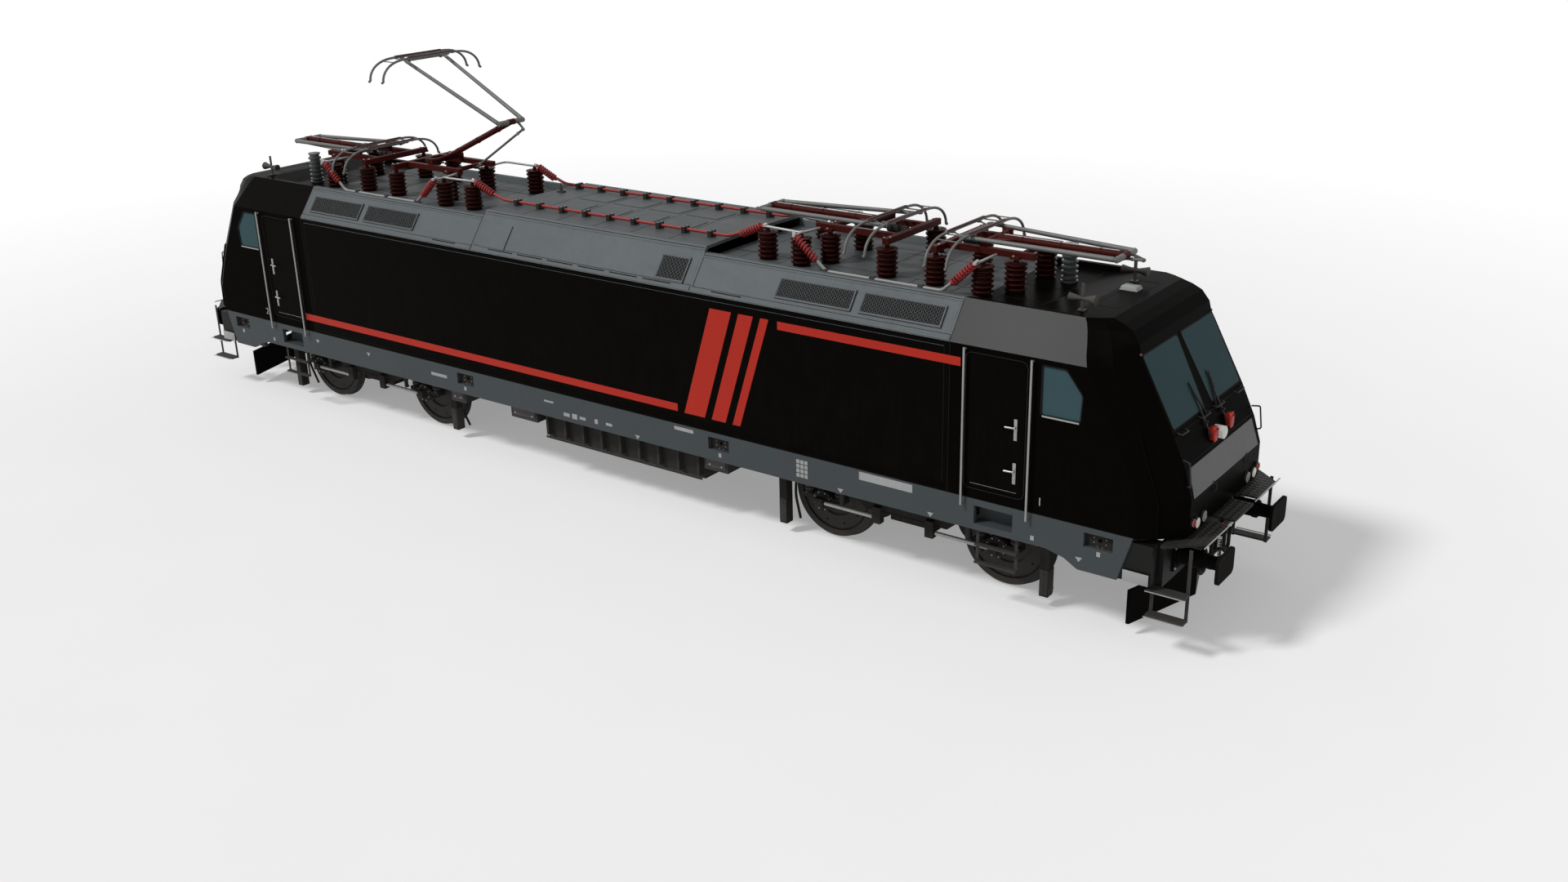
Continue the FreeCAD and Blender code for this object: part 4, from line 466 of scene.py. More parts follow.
class Finishes:
    """Every finish of the locomotive, built once and found by its plain name."""

    TABLE = (
        Finish("body_black", (0.0030, 0.0025, 0.0021), 0.32, specular=0.012,
               grime=0.03, grime_top=5.0, mottle=0.15, relief=0.004),
        Finish("cab_black", (0.0032, 0.0027, 0.0023), 0.30, specular=0.005, lacquer=0.045,
               grime=0.02, grime_top=5.0, mottle=0.10, relief=0.001, grain=6.0, unevenness=0.05),
        Finish("frame_grey", (0.058, 0.070, 0.076), 0.5, specular=0.2, grime=0.35,
               grime_top=2.0, wear=0.35, relief=0.04, second=(0.004, 0.0035, 0.003),
               divide=(1.0, 0.0, -0.287, 8.144)),
        # The roof's flat tops carry painted shade: a darker tone on faces that look up.
        Finish("roof_grey", (0.118, 0.135, 0.142), 0.55, specular=0.2, grime=0.30,
               grime_top=6.5, wear=0.25, relief=0.05, dirt=(0.07, 0.068, 0.062), flat_shade=0.55),
        # Near-black for real joints, and for painted shade in the intakes, eave slots and wheel holes.
        Finish("joint_and_shade_dark", (0.010, 0.010, 0.010), 0.7, specular=0.1, grime=0.2),
        Finish("stripe_red", (0.50, 0.022, 0.009), 0.42, coat=0.1, specular=0.15,
               grime=0.06, grime_top=5.0, mottle=0.15, relief=0.02),
        Finish("marking_white", (0.42, 0.43, 0.43), 0.5, specular=0.2, grime=0.25,
               grime_top=3.0, mottle=0.35),
        Finish("panel_white", (0.40, 0.41, 0.41), 0.4, specular=0.2, coat=0.1, grime=0.12,
               grime_top=4.0, mottle=0.15),
        # The front light strip is white; this darker grey is painted shade for the cab front.
        Finish("strip_painted_shade", (0.155, 0.158, 0.158), 0.45, specular=0.2, grime=0.15,
               grime_top=4.0, mottle=0.15),
        Finish("grille_metal", (0.075, 0.082, 0.085), 0.55, specular=0.2, grime=0.2,
               grime_top=6.5, wear=0.2, bare=(0.20, 0.20, 0.19)),
        Finish("interior", (0.16, 0.165, 0.16), 0.6, grime=0.1, relief=0.15, grain=200.0),
        Finish("desk_dark", (0.03, 0.032, 0.034), 0.55, grime=0.05, relief=0.2, grain=260.0),
        Finish("seat_cloth", (0.035, 0.045, 0.065), 0.9, specular=0.1, grime=0.05, relief=0.5,
               pattern=Pattern.WEAVE),
        Finish("insulator_brown", (0.025, 0.0036, 0.0026), 0.34, coat=0.02, specular=0.05,
               grime=0.05, grime_top=3.0, mottle=0.4, dirt=(0.04, 0.018, 0.013)),
        Finish("insulator_grey", (0.075, 0.085, 0.085), 0.4, coat=0.2, specular=0.4,
               grime=0.2, grime_top=8.0),
        Finish("bus_metal", (0.45, 0.455, 0.45), 0.42, metallic=0.35, grime=0.2,
               grime_top=7.0, mottle=0.2),
        Finish("cable_red", (0.30, 0.020, 0.020), 0.45, specular=0.35, grime=0.15,
               grime_top=8.0),
        Finish("cable_pair", (0.30, 0.020, 0.020), 0.45, specular=0.35, grime=0.15,
               grime_top=8.0, second=(0.36, 0.36, 0.35)),
        Finish("clamp_black", (0.016, 0.016, 0.016), 0.6, grime=0.2, grime_top=6.0),
        Finish("pantograph_red", (0.058, 0.0078, 0.0057), 0.5, specular=0.06, grime=0.15,
               grime_top=2.5, wear=0.2, bare=(0.16, 0.05, 0.04), dirt=(0.05, 0.022, 0.016)),
        Finish("pantograph_grey", (0.165, 0.165, 0.162), 0.48, metallic=0.2, grime=0.25,
               grime_top=9.0, wear=0.3, bare=(0.5, 0.5, 0.48)),
        Finish("horn_bronze", (0.060, 0.055, 0.049), 0.5, specular=0.2, grime=0.2,
               grime_top=2.5),
        Finish("carbon", (0.055, 0.018, 0.014), 0.55, specular=0.3, grime=0.1, relief=0.2),
        Finish("bright_metal", (0.36, 0.36, 0.35), 0.35, metallic=0.6, grime=0.15,
               grime_top=4.0, relief=0.05),
        Finish("running_gear", (0.022, 0.021, 0.020), 0.75, specular=0.12, grime=0.55,
               grime_top=1.8, wear=0.3, relief=0.25, grain=45.0),
        Finish("wheel_grey", (0.045, 0.042, 0.039), 0.6, specular=0.15, grime=0.5,
               grime_top=1.4, wear=0.3, relief=0.12),
        Finish("tank_grey", (0.030, 0.029, 0.027), 0.7, specular=0.15, grime=0.5,
               grime_top=1.8, wear=0.3, relief=0.15),
        Finish("box_grey", (0.040, 0.038, 0.037), 0.65, specular=0.2, grime=0.5,
               grime_top=1.8, wear=0.3, relief=0.12),
        Finish("door_grey", (0.085, 0.082, 0.078), 0.6, specular=0.2, grime=0.4,
               grime_top=1.8, wear=0.3, relief=0.08),
        Finish("spring_steel", (0.05, 0.05, 0.048), 0.5, metallic=0.3, grime=0.5, grime_top=1.6),
        Finish("buffer_grey", (0.0085, 0.0076, 0.0070), 0.55, specular=0.01, grime=0.03,
               grime_top=2.0, wear=0.05, pattern=Pattern.RINGED, relief=0.05),
        Finish("chequer_plate", (0.021, 0.020, 0.019), 0.55, specular=0.15, grime=0.3,
               grime_top=2.2, wear=0.3, relief=0.9, pattern=Pattern.CHEQUER),
        Finish("hose_rubber", (0.016, 0.016, 0.016), 0.7, specular=0.15, grime=0.4,
               grime_top=1.6, relief=0.3, grain=150.0),
        Finish("seal_rubber", (0.010, 0.010, 0.010), 0.75, specular=0.1, grime=0.1),
        Finish("tap_red", (0.35, 0.02, 0.012), 0.5, grime=0.35, grime_top=1.8),
        Finish("amber", (0.20, 0.06, 0.02), 0.4, grime=0.1, grime_top=4.0),
        Finish("dial_face", (0.5, 0.5, 0.48), 0.5, grime=0.05),
        Glass("tinted_glass", (0.082, 0.154, 0.173), 0.35, 0.12, specular=0.01,
              index=1.12),
        Glass("screen_glass", (0.012, 0.016, 0.02), 0.0, 0.12),
        Glass("lamp_white", (0.62, 0.62, 0.58), 0.15, 0.15, 0.25),
        Glass("lamp_grey", (0.30, 0.30, 0.29), 0.2, 0.15),
        Glass("lamp_red", (0.42, 0.018, 0.010), 0.2, 0.15, 0.10),
    )

    def __init__(self) -> None:
        """Build every material of the table."""
        self.made = {finish.name: finish.build() for finish in self.TABLE}

    def __getitem__(self, name: str) -> bpy.types.Material:
        """The material with a plain name."""
        return self.made[name]


FINISHES = Finishes()


# ------------------------------------------------------------------ mesh building
class Shape:
    """Closed forms gathered into one mesh, in the row frame."""

    def __init__(self) -> None:
        """Start an empty mesh."""
        self.mesh = bmesh.new()

    def ring(self, points: Iterable[Sequence[float]]) -> list[bmesh.types.BMVert]:
        """Add a row of vertices."""
        return [self.mesh.verts.new(point) for point in points]

    def face(self, corners: Sequence[bmesh.types.BMVert]) -> None:
        """Add one face."""
        self.mesh.faces.new(corners)

    def skin(self, rings: Sequence[Sequence[bmesh.types.BMVert]], closed: bool = False,
             capped: bool = True) -> None:
        """Join rings of equal count by faces.

        Args:
            rings: Rows of vertices, one after another.
            closed: Whether the last row joins the first.
            capped: Whether the two ends get a face each.
        """
        pairs = list(zip(rings, rings[1:]))
        if closed:
            pairs.append((rings[-1], rings[0]))
        for one, two in pairs:
            count = len(one)
            for index in range(count):
                after = (index + 1) % count
                self.face((one[index], one[after], two[after], two[index]))
        if capped and not closed:
            self.face(list(reversed(rings[0])))
            self.face(rings[-1])

    def solid(self, outline: Sequence[Sequence[float]], along: Sequence[float]) -> "Shape":
        """A flat outline drawn out along a vector.

        Args:
            outline: Corners of the outline in order.
            along: The vector that it is drawn out by.

        Returns:
            This shape.
        """
        way = Vector(along)
        base = [Vector(point) for point in outline]
        self.skin((self.ring(base), self.ring([point + way for point in base])))
        return self

    def block(self, low: Sequence[float], high: Sequence[float], soften: float = 0.0) -> "Shape":
        """A box between two corners, with its edges softened.

        Args:
            low: Lowest corner.
            high: Highest corner.
            soften: Width of the bevel along its edges.

        Returns:
            This shape.
        """
        one, two = Vector(low), Vector(high)
        fresh = bmesh.ops.create_cube(self.mesh, size=1.0)["verts"]
        middle, size = (one + two) / 2, two - one
        for vertex in fresh:
            vertex.co = middle + Vector(part * extent for part, extent in zip(vertex.co, size))
        if soften:
            self.soften(fresh, soften)
        return self

    def soften(self, vertices: Sequence[bmesh.types.BMVert], width: float) -> None:
        """Bevel every edge between some vertices.

        Args:
            vertices: The vertices.
            width: Width of the bevel.
        """
        chosen = set(vertices)
        edges = [edge for edge in self.mesh.edges if edge.verts[0] in chosen and edge.verts[1] in chosen]
        bmesh.ops.bevel(self.mesh, geom=edges, offset=width, segments=2, affect="EDGES",
                        profile=0.5, clamp_overlap=True)

    def sloped(self, middle: Sequence[float], axes: Sequence[Sequence[float]],
               size: Sequence[float], soften: float = 0.0) -> "Shape":
        """A box turned in space.

        Args:
            middle: Its centre.
            axes: Three directions.
            size: Its extent along each.
            soften: Width of the bevel along its edges.

        Returns:
            This shape.
        """
        fresh = bmesh.ops.create_cube(self.mesh, size=1.0)["verts"]
        ways = [Vector(axis).normalized() * extent for axis, extent in zip(axes, size)]
        for vertex in fresh:
            vertex.co = Vector(middle) + sum((way * part for way, part in zip(ways, vertex.co)),
                                             Vector())
        if soften:
            self.soften(fresh, soften)
        return self

    def lathe(self, start: Sequence[float], axis: Sequence[float],
              profile: Sequence[tuple[float, float]], sides: int = 20) -> "Shape":
        """A turned form.

        Args:
            start: Where the axis begins.
            axis: Its direction.
            profile: Pairs of distance along the axis and radius.
            sides: Facets round the axis.

        Returns:
            This shape.
        """
        along = Vector(axis).normalized()
        across = along.orthogonal().normalized()
        other = along.cross(across)
        rings = []
        for distance, radius in profile:
            middle = Vector(start) + along * distance
            steps = [math.tau * index / sides for index in range(sides)]
            rings.append(self.ring(middle + (across * math.cos(step) + other * math.sin(step)) * radius
                                   for step in steps))
        self.skin(rings)
        return self

    def rod(self, start: Sequence[float], end: Sequence[float], radius: float,
            sides: int = 12) -> "Shape":
        """A round bar with chamfered ends between two points.

        Args:
            start: One end.
            end: The other end.
            radius: Radius of the round.
            sides: Sides round it.

        Returns:
            This shape.
        """
        way = Vector(end) - Vector(start)
        edge = min(radius * 0.25, way.length * 0.3)
        return self.lathe(start, way, ((0, radius - edge), (edge, radius),
                                       (way.length - edge, radius), (way.length, radius - edge)), sides)

    def tube(self, path: Sequence[Sequence[float]], radius: float, sides: int = 10) -> "Shape":
        """A round bar that follows a path of points.

        Args:
            path: Points in order.
            radius: The bar's radius.
            sides: Facets round it.

        Returns:
            This shape.
        """
        points = [Vector(point) for point in path]
        ways = []
        for index, point in enumerate(points):
            before = points[max(index - 1, 0)]
            after = points[min(index + 1, len(points) - 1)]
            ways.append((after - before).normalized())
        across = ways[0].orthogonal().normalized()
        rings = []
        for point, way in zip(points, ways):
            across = (across - way * across.dot(way)).normalized()
            other = way.cross(across)
            rings.append(self.ring(point + (across * math.cos(step) + other * math.sin(step)) * radius
                                   for step in (math.tau * index / sides for index in range(sides))))
        self.skin(rings)
        return self

    def loop(self, path: Sequence[Sequence[float]], normal: Sequence[float], width: float,
             height: float) -> "Shape":
        """A flat strip that follows a closed outline, standing up from a surface.

        Args:
            path: Corners of the outline, in one plane.
            normal: The way out of the surface.
            width: The strip's width, inwards from the outline.
            height: How far it stands up.

        Returns:
            This shape.
        """
        points, up = [Vector(point) for point in path], Vector(normal).normalized()
        centre = sum(points, Vector()) / len(points)
        count = len(points)
        inner = []
        for index, point in enumerate(points):
            before = (point - points[index - 1]).normalized()
            after = (points[(index + 1) % count] - point).normalized()
            one, two = up.cross(before), up.cross(after)
            if one.dot(centre - point) < 0:
                one, two = -one, -two
            mean = (one + two).normalized()
            inner.append(point + mean * (width / max(mean.dot(one), 0.3)))
        corners = [self.ring((out, out + up * height, into + up * height, into))
                   for out, into in zip(points, inner)]
        self.skin(corners, closed=True)
        return self

    def ball(self, middle: Sequence[float], radius: float, squash: float = 1.0) -> "Shape":
        """A small rounded knob.

        Args:
            middle: Its middle.
            radius: Radius of the round.
            squash: Height as a share of its width.

        Returns:
            This shape.
        """
        fresh = bmesh.ops.create_icosphere(self.mesh, subdivisions=2, radius=radius)["verts"]
        for vertex in fresh:
            vertex.co = Vector(middle) + Vector((vertex.co.x, vertex.co.y, vertex.co.z * squash))
        return self

    def cap(self, middle: Sequence[float], axis: Sequence[float], radius: float,
            depth: float, sides: int = 6) -> "Shape":
        """A bolt head or cap that stands out along an axis."""
        return self.lathe(middle, axis, ((0, radius), (depth * 0.7, radius), (depth, radius * 0.75)),
                          sides)

    def done(self, name: str, body: str, finish: str, slot: str | None = None,
             smooth: float = 35.0) -> bpy.types.Object:
        """Close the mesh and hand it to the scene.

        Args:
            name: The piece's name.
            body: The body that it rides.
            finish: The finish's name.
            slot: Not used.
            smooth: Angle below which edges are shaded smooth, in degrees.

        Returns:
            The finished piece.
        """
        bmesh.ops.recalc_face_normals(self.mesh, faces=self.mesh.faces)
        data = bpy.data.meshes.new(name)
        self.mesh.to_mesh(data)
        self.mesh.free()
        data.shade_smooth()
        data.set_sharp_from_angle(angle=math.radians(smooth))
        piece = bpy.data.objects.new(name, data)
        bpy.context.scene.collection.objects.link(piece)
        data.materials.append(FINISHES[finish])
        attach(piece, body)
        return piece


def arc(middle: Sequence[float], one: Sequence[float], two: Sequence[float], radius: float,
        start: float, end: float, steps: int) -> list[Vector]:
    """Points on an arc.

    Args:
        middle: Centre.
        one: Direction at 0 degrees.
        two: Direction at 90 degrees.
        radius: Radius.
        start: First angle in degrees.
        end: Last angle in degrees.
        steps: Number of pieces.

    Returns:
        steps + 1 points.
    """
    first, second, centre = Vector(one), Vector(two), Vector(middle)
    turns = [math.radians(start + (end - start) * index / steps) for index in range(steps + 1)]
    return [centre + (first * math.cos(turn) + second * math.sin(turn)) * radius for turn in turns]


def rounded(low: Sequence[float], high: Sequence[float], radius: float,
            steps: int = 4) -> list[tuple[float, float]]:
    """Corners of a flat rectangle with rounded corners, in two coordinates.

    Args:
        low: Low corner.
        high: High corner.
        radius: Radius of the round.
        steps: Parts of each round.

    Returns:
        The corner points, in order.
    """
    corners = []
    for middle, start in (((high[0] - radius, high[1] - radius), 0),
                          ((low[0] + radius, high[1] - radius), 90),
                          ((low[0] + radius, low[1] + radius), 180),
                          ((high[0] - radius, low[1] + radius), 270)):
        for point in arc((*middle, 0), (1, 0, 0), (0, 1, 0), radius, start, start + 90, steps):
            corners.append((point.x, point.y))
    return corners


def filleted(path: Sequence[Sequence[float]], radius: float, steps: int = 5) -> list[Vector]:
    """A bent path with its inner corners rounded.

    Args:
        path: Corners of the path.
        radius: Bend radius, limited by the legs.
        steps: Points in each bend.

    Returns:
        Points along the rounded path.
    """
    points = [Vector(point) for point in path]
    result = [points[0]]
    for before, corner, after in zip(points, points[1:], points[2:]):
        one, two = (before - corner), (after - corner)
        reach = min(radius, one.length * 0.45, two.length * 0.45)
        start, end = corner + one.normalized() * reach, corner + two.normalized() * reach
        for index in range(steps + 1):
            share = index / steps
            result.append(start.lerp(corner, share).lerp(corner.lerp(end, share), share))
    result.append(points[-1])
    return result


# ------------------------------------------------------------------ repeats by Geometry Nodes
class Scatter:
    """Copies of one small shape at many places, made by a Geometry Nodes tree."""

    def __init__(self) -> None:
        """Build the tree once; every use sets its named inputs."""
        tree = bpy.data.node_groups.new("Repeat along points", "GeometryNodeTree")
        for label, kind in (("Points", "Geometry"), ("Item", "Object"), ("Finish", "Material")):
            tree.interface.new_socket(label, in_out="INPUT", socket_type=f"NodeSocket{kind}")
        tree.interface.new_socket("Seed", in_out="INPUT", socket_type="NodeSocketInt")
        tree.interface.new_socket("Sway", in_out="INPUT", socket_type="NodeSocketFloat")
        tree.interface.new_socket("Result", in_out="OUTPUT", socket_type="NodeSocketGeometry")
        net = NodeTree(tree)
        given = net.add("NodeGroupInput")
        item = net.add("GeometryNodeObjectInfo", {"Object": given.outputs["Item"]})
        turn = net.add("FunctionNodeRandomValue", data_type="FLOAT_VECTOR")
        for label, sign in (("Min", -1), ("Max", 1)):
            scaled = net.add("ShaderNodeMath", {0: given.outputs["Sway"], 1: float(sign)},
                             operation="MULTIPLY")
            tree.links.new(scaled.outputs[0], turn.inputs[label])
        tree.links.new(given.outputs["Seed"], turn.inputs["Seed"])
        placed = net.add("GeometryNodeInstanceOnPoints",
                         {"Points": given.outputs["Points"], "Instance": item.outputs["Geometry"],
                          "Rotation": turn.outputs["Value"]})
        real = net.add("GeometryNodeRealizeInstances", {"Geometry": placed.outputs["Instances"]})
        painted = net.add("GeometryNodeSetMaterial", {"Geometry": real.outputs["Geometry"],
                                                      "Material": given.outputs["Finish"]})
        net.add("NodeGroupOutput", {"Result": painted.outputs["Geometry"]})
        self.tree = tree
        self.sockets = {socket.name: socket.identifier for socket in tree.interface.items_tree
                        if socket.in_out == "INPUT"}

    def spread(self, name: str, item: Shape, places: Sequence[Sequence[float]], finish: str,
               body: str, slot: str | None = None, sway: float = 0.0) -> bpy.types.Object:
        """Place copies of a shape and hand them over as one mesh.

        Args:
            name: The piece's name.
            item: The shape to repeat, drawn round the origin.
            places: Where each copy goes.
            finish: The finish's name.
            body: The body that the copies ride.
            slot: Not used.
            sway: Largest turn either way about each axis, in radians.

        Returns:
            The finished piece.
        """
        bmesh.ops.recalc_face_normals(item.mesh, faces=item.mesh.faces)
        pattern_mesh = bpy.data.meshes.new(f"{name} item")
        item.mesh.to_mesh(pattern_mesh)
        item.mesh.free()
        pattern = bpy.data.objects.new(f"{name} item", pattern_mesh)
        points = bpy.data.meshes.new(f"{name} points")
        points.from_pydata([tuple(place) for place in places], [], [])
        holder = bpy.data.objects.new(f"{name} points", points)
        for temporary in (pattern, holder):
            bpy.context.scene.collection.objects.link(temporary)
        modifier = holder.modifiers.new("Repeat", "NODES")
        modifier.node_group = self.tree
        modifier[self.sockets["Item"]] = pattern
        modifier[self.sockets["Finish"]] = FINISHES[finish]
        modifier[self.sockets["Seed"]] = 7
        modifier[self.sockets["Sway"]] = sway
        graph = bpy.context.evaluated_depsgraph_get()
        graph.update()
        data = bpy.data.meshes.new_from_object(holder.evaluated_get(graph))
        data.name = name
        for temporary in (pattern, holder):
            bpy.data.objects.remove(temporary)
        data.shade_smooth()
        data.set_sharp_from_angle(angle=math.radians(35.0))
        piece = bpy.data.objects.new(name, data)
        bpy.context.scene.collection.objects.link(piece)
        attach(piece, body)
        return piece


SCATTER = Scatter()


# ------------------------------------------------------------------ studio
@dataclass(frozen=True)
class Studio:
    """Camera, pale floor, soft lights and a white background."""

    camera_place: tuple[float, float, float] = (14.7862, -16.5316, 8.9611)
    yaw: float = 2.2095
    pitch: float = -0.376
    roll: float = -0.0227
    lens: float = 35.06
    key: float = 1.80
    key_way: tuple[float, float, float] = (-0.434, -0.518, 0.739)
    key_spread: float = 11.0
    fill: float = 0.12
    fill_way: tuple[float, float, float] = (0.8, -0.5, 0.5)
    sky: float = 0.26
    floor_reach: float = 260.0
    fade: tuple[float, float] = (11.0, 26.0)
    lift: float = 0.30

    def build(self) -> None:
        """Make the camera, the world, the floor and the lights."""
        self.build_camera()
        self.build_world()
        self.build_floor()
        self.build_lights()

    def build_camera(self) -> None:
        """A camera turned by yaw, pitch and roll."""
        level = math.cos(self.pitch)
        look = Vector((level * math.cos(self.yaw), level * math.sin(self.yaw), math.sin(self.pitch)))
        right = look.cross(Vector((0, 0, 1))).normalized()
        top = right.cross(look)
        side = right * math.cos(self.roll) + top * math.sin(self.roll)
        top = top * math.cos(self.roll) - right * math.sin(self.roll)
        data = bpy.data.cameras.new("Camera")
        data.lens = self.lens
        data.sensor_width = 36.0
        data.clip_end = 600.0
        camera = bpy.data.objects.new("Camera", data)
        camera.matrix_world = Matrix.Translation(self.camera_place) @ Matrix(
            (side, top, -look)).transposed().to_4x4()
        bpy.context.scene.collection.objects.link(camera)
        bpy.context.scene.camera = camera

    def build_world(self) -> None:
        """Soft even light, seen as plain white."""
        world = bpy.data.worlds.new("White room")
        world.use_nodes = True
        world.node_tree.nodes.clear()
        net = NodeTree(world.node_tree)
        path = net.add("ShaderNodeLightPath")
        seen = net.math("MAXIMUM", path.outputs["Is Camera Ray"], path.outputs["Is Glossy Ray"])
        seen = net.math("MAXIMUM", seen, path.outputs["Is Transmission Ray"])
        strength = net.spread(seen, 0.0, 1.0, self.sky, 1.0)
        light = net.add("ShaderNodeBackground", {"Color": (1, 1, 1, 1), "Strength": strength})
        net.add("ShaderNodeOutputWorld", {"Surface": light.outputs[0]})
        bpy.context.scene.world = world
        bpy.context.scene.view_settings.view_transform = "Standard"

    def build_floor(self) -> None:
        """A pale floor that keeps the shadow and fades into the background."""
        shape = Shape()
        half = self.floor_reach
        shape.face(shape.ring(((-half, -half, 0), (half, -half, 0), (half, half, 0), (-half, half, 0))))
        data = bpy.data.meshes.new("Floor")
        shape.mesh.to_mesh(data)
        shape.mesh.free()
        floor = bpy.data.objects.new("Floor", data)
        bpy.context.scene.collection.objects.link(floor)
        material = bpy.data.materials.new("floor_pale")
        material.use_nodes = True
        material.node_tree.nodes.clear()
        net = NodeTree(material.node_tree)
        where = net.add("ShaderNodeTexCoord").outputs["Object"]
        tone = net.spread(net.noise(where, 0.4, 3.0), 0.3, 0.7, 0.98, 1.0)
        colour = net.add("ShaderNodeVectorMath", {0: (0.80, 0.80, 0.80), 1: tone},
                         operation="MULTIPLY")
        shader = net.add("ShaderNodeBsdfPrincipled", {"Base Color": colour.outputs[0]})
        shader.inputs["Roughness"].default_value = 0.9
        shader.inputs["Specular IOR Level"].default_value = 0.0
        distance = net.add("ShaderNodeVectorMath", {0: where}, operation="LENGTH").outputs["Value"]
        far = net.spread(distance, self.fade[0], self.fade[1])
        path = net.add("ShaderNodeLightPath")
        seen = net.math("MAXIMUM", path.outputs["Is Camera Ray"], path.outputs["Is Glossy Ray"])
        seen = net.math("MAXIMUM", seen, path.outputs["Is Transmission Ray"])
        glow = net.add("ShaderNodeEmission", {"Color": (1, 1, 1, 1), "Strength": 1.0})
        lift = net.add("ShaderNodeEmission", {"Color": (1, 1, 1, 1),
                                              "Strength": net.math("MULTIPLY", seen, self.lift)})
        near = net.add("ShaderNodeAddShader", {0: shader.outputs[0], 1: lift.outputs[0]})
        mixed = net.add("ShaderNodeMixShader", {0: net.math("MULTIPLY", far, seen),
                                                1: near.outputs[0], 2: glow.outputs[0]})
        net.add("ShaderNodeOutputMaterial", {"Surface": mixed.outputs[0]})
        data.materials.append(material)

    def build_lights(self) -> None:
        """A soft key from behind the camera's left shoulder, and a weak fill."""
        for name, way, spread, strength in (("Key", self.key_way, self.key_spread, self.key),
                                            ("Fill", self.fill_way, 60.0, self.fill)):
            data = bpy.data.lights.new(name, "SUN")
            data.angle = math.radians(spread)
            data.energy = strength
            lamp = bpy.data.objects.new(name, data)
            lamp.rotation_euler = (-Vector(way)).to_track_quat("-Z", "Y").to_euler()
            bpy.context.scene.collection.objects.link(lamp)


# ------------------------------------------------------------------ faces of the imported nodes
class Skin:
    """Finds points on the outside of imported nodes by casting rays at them."""

    REACH = 20.0

    def __init__(self, *nodes: str) -> None:
        """Gather the faces of some nodes into one search tree."""
        corners, faces = [], []
        for name in nodes:
            data = frame["nodes"][name].data
            first = len(corners)
            corners.extend(vertex.co.copy() for vertex in data.vertices)
            faces.extend([first + index for index in face.vertices] for face in data.polygons)
        self.tree = BVHTree.FromPolygons(corners, faces)

    def hit(self, start: Vector, way: Vector) -> Vector:
        """The first point that a ray meets.

        Args:
            start: Where the ray starts.
            way: Its direction.

        Returns:
            The point met.
        """
        point = self.tree.ray_cast(start, way)[0]
        if point is None:
            raise ValueError(f"no face ahead of {tuple(start)}")
        return point

    def front(self, y: float, z: float, end: int) -> Vector:
        """The point of an end face at a place across and a height."""
        return self.hit(Vector((end * self.REACH, y, z)), Vector((-end, 0, 0)))

    def side(self, x: float, z: float, sign: int) -> Vector:
        """The point of a side face at a place along and a height."""
        return self.hit(Vector((x, sign * self.REACH, z)), Vector((0, -sign, 0)))

    def top(self, x: float, y: float) -> Vector:
        """The highest point at a place along and across."""
        return self.hit(Vector((x, y, self.REACH)), Vector((0, 0, -1)))


def part_box(node: str, test: Callable[[Vector], bool]) -> tuple[Vector, Vector]:
    """The box of those corners of a node that pass a test.

    Args:
        node: The node's name.
        test: Says whether a corner belongs to the part wanted.

    Returns:
        Lowest and highest corner.
    """
    points = [vertex.co for vertex in frame["nodes"][node].data.vertices if test(vertex.co)]
    return (Vector(min(point[axis] for point in points) for axis in range(3)),
            Vector(max(point[axis] for point in points) for axis in range(3)))


CABS = Skin("cab_1_shell", "cab_2_shell")
ROOFS = Skin("end_roof_hoods", "middle_roof_hood")
DOOR = {(cab, label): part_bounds(f"cab_{cab}_door_{label}") for cab, _ in ENDS for label, _ in SIDES}


def on_side(x: float, z: float, sign: int, out: float = 0.0) -> Vector:
    """A point on the flat side wall, standing a little out of it."""
    return Vector((x, sign * (AT.half + out), z))


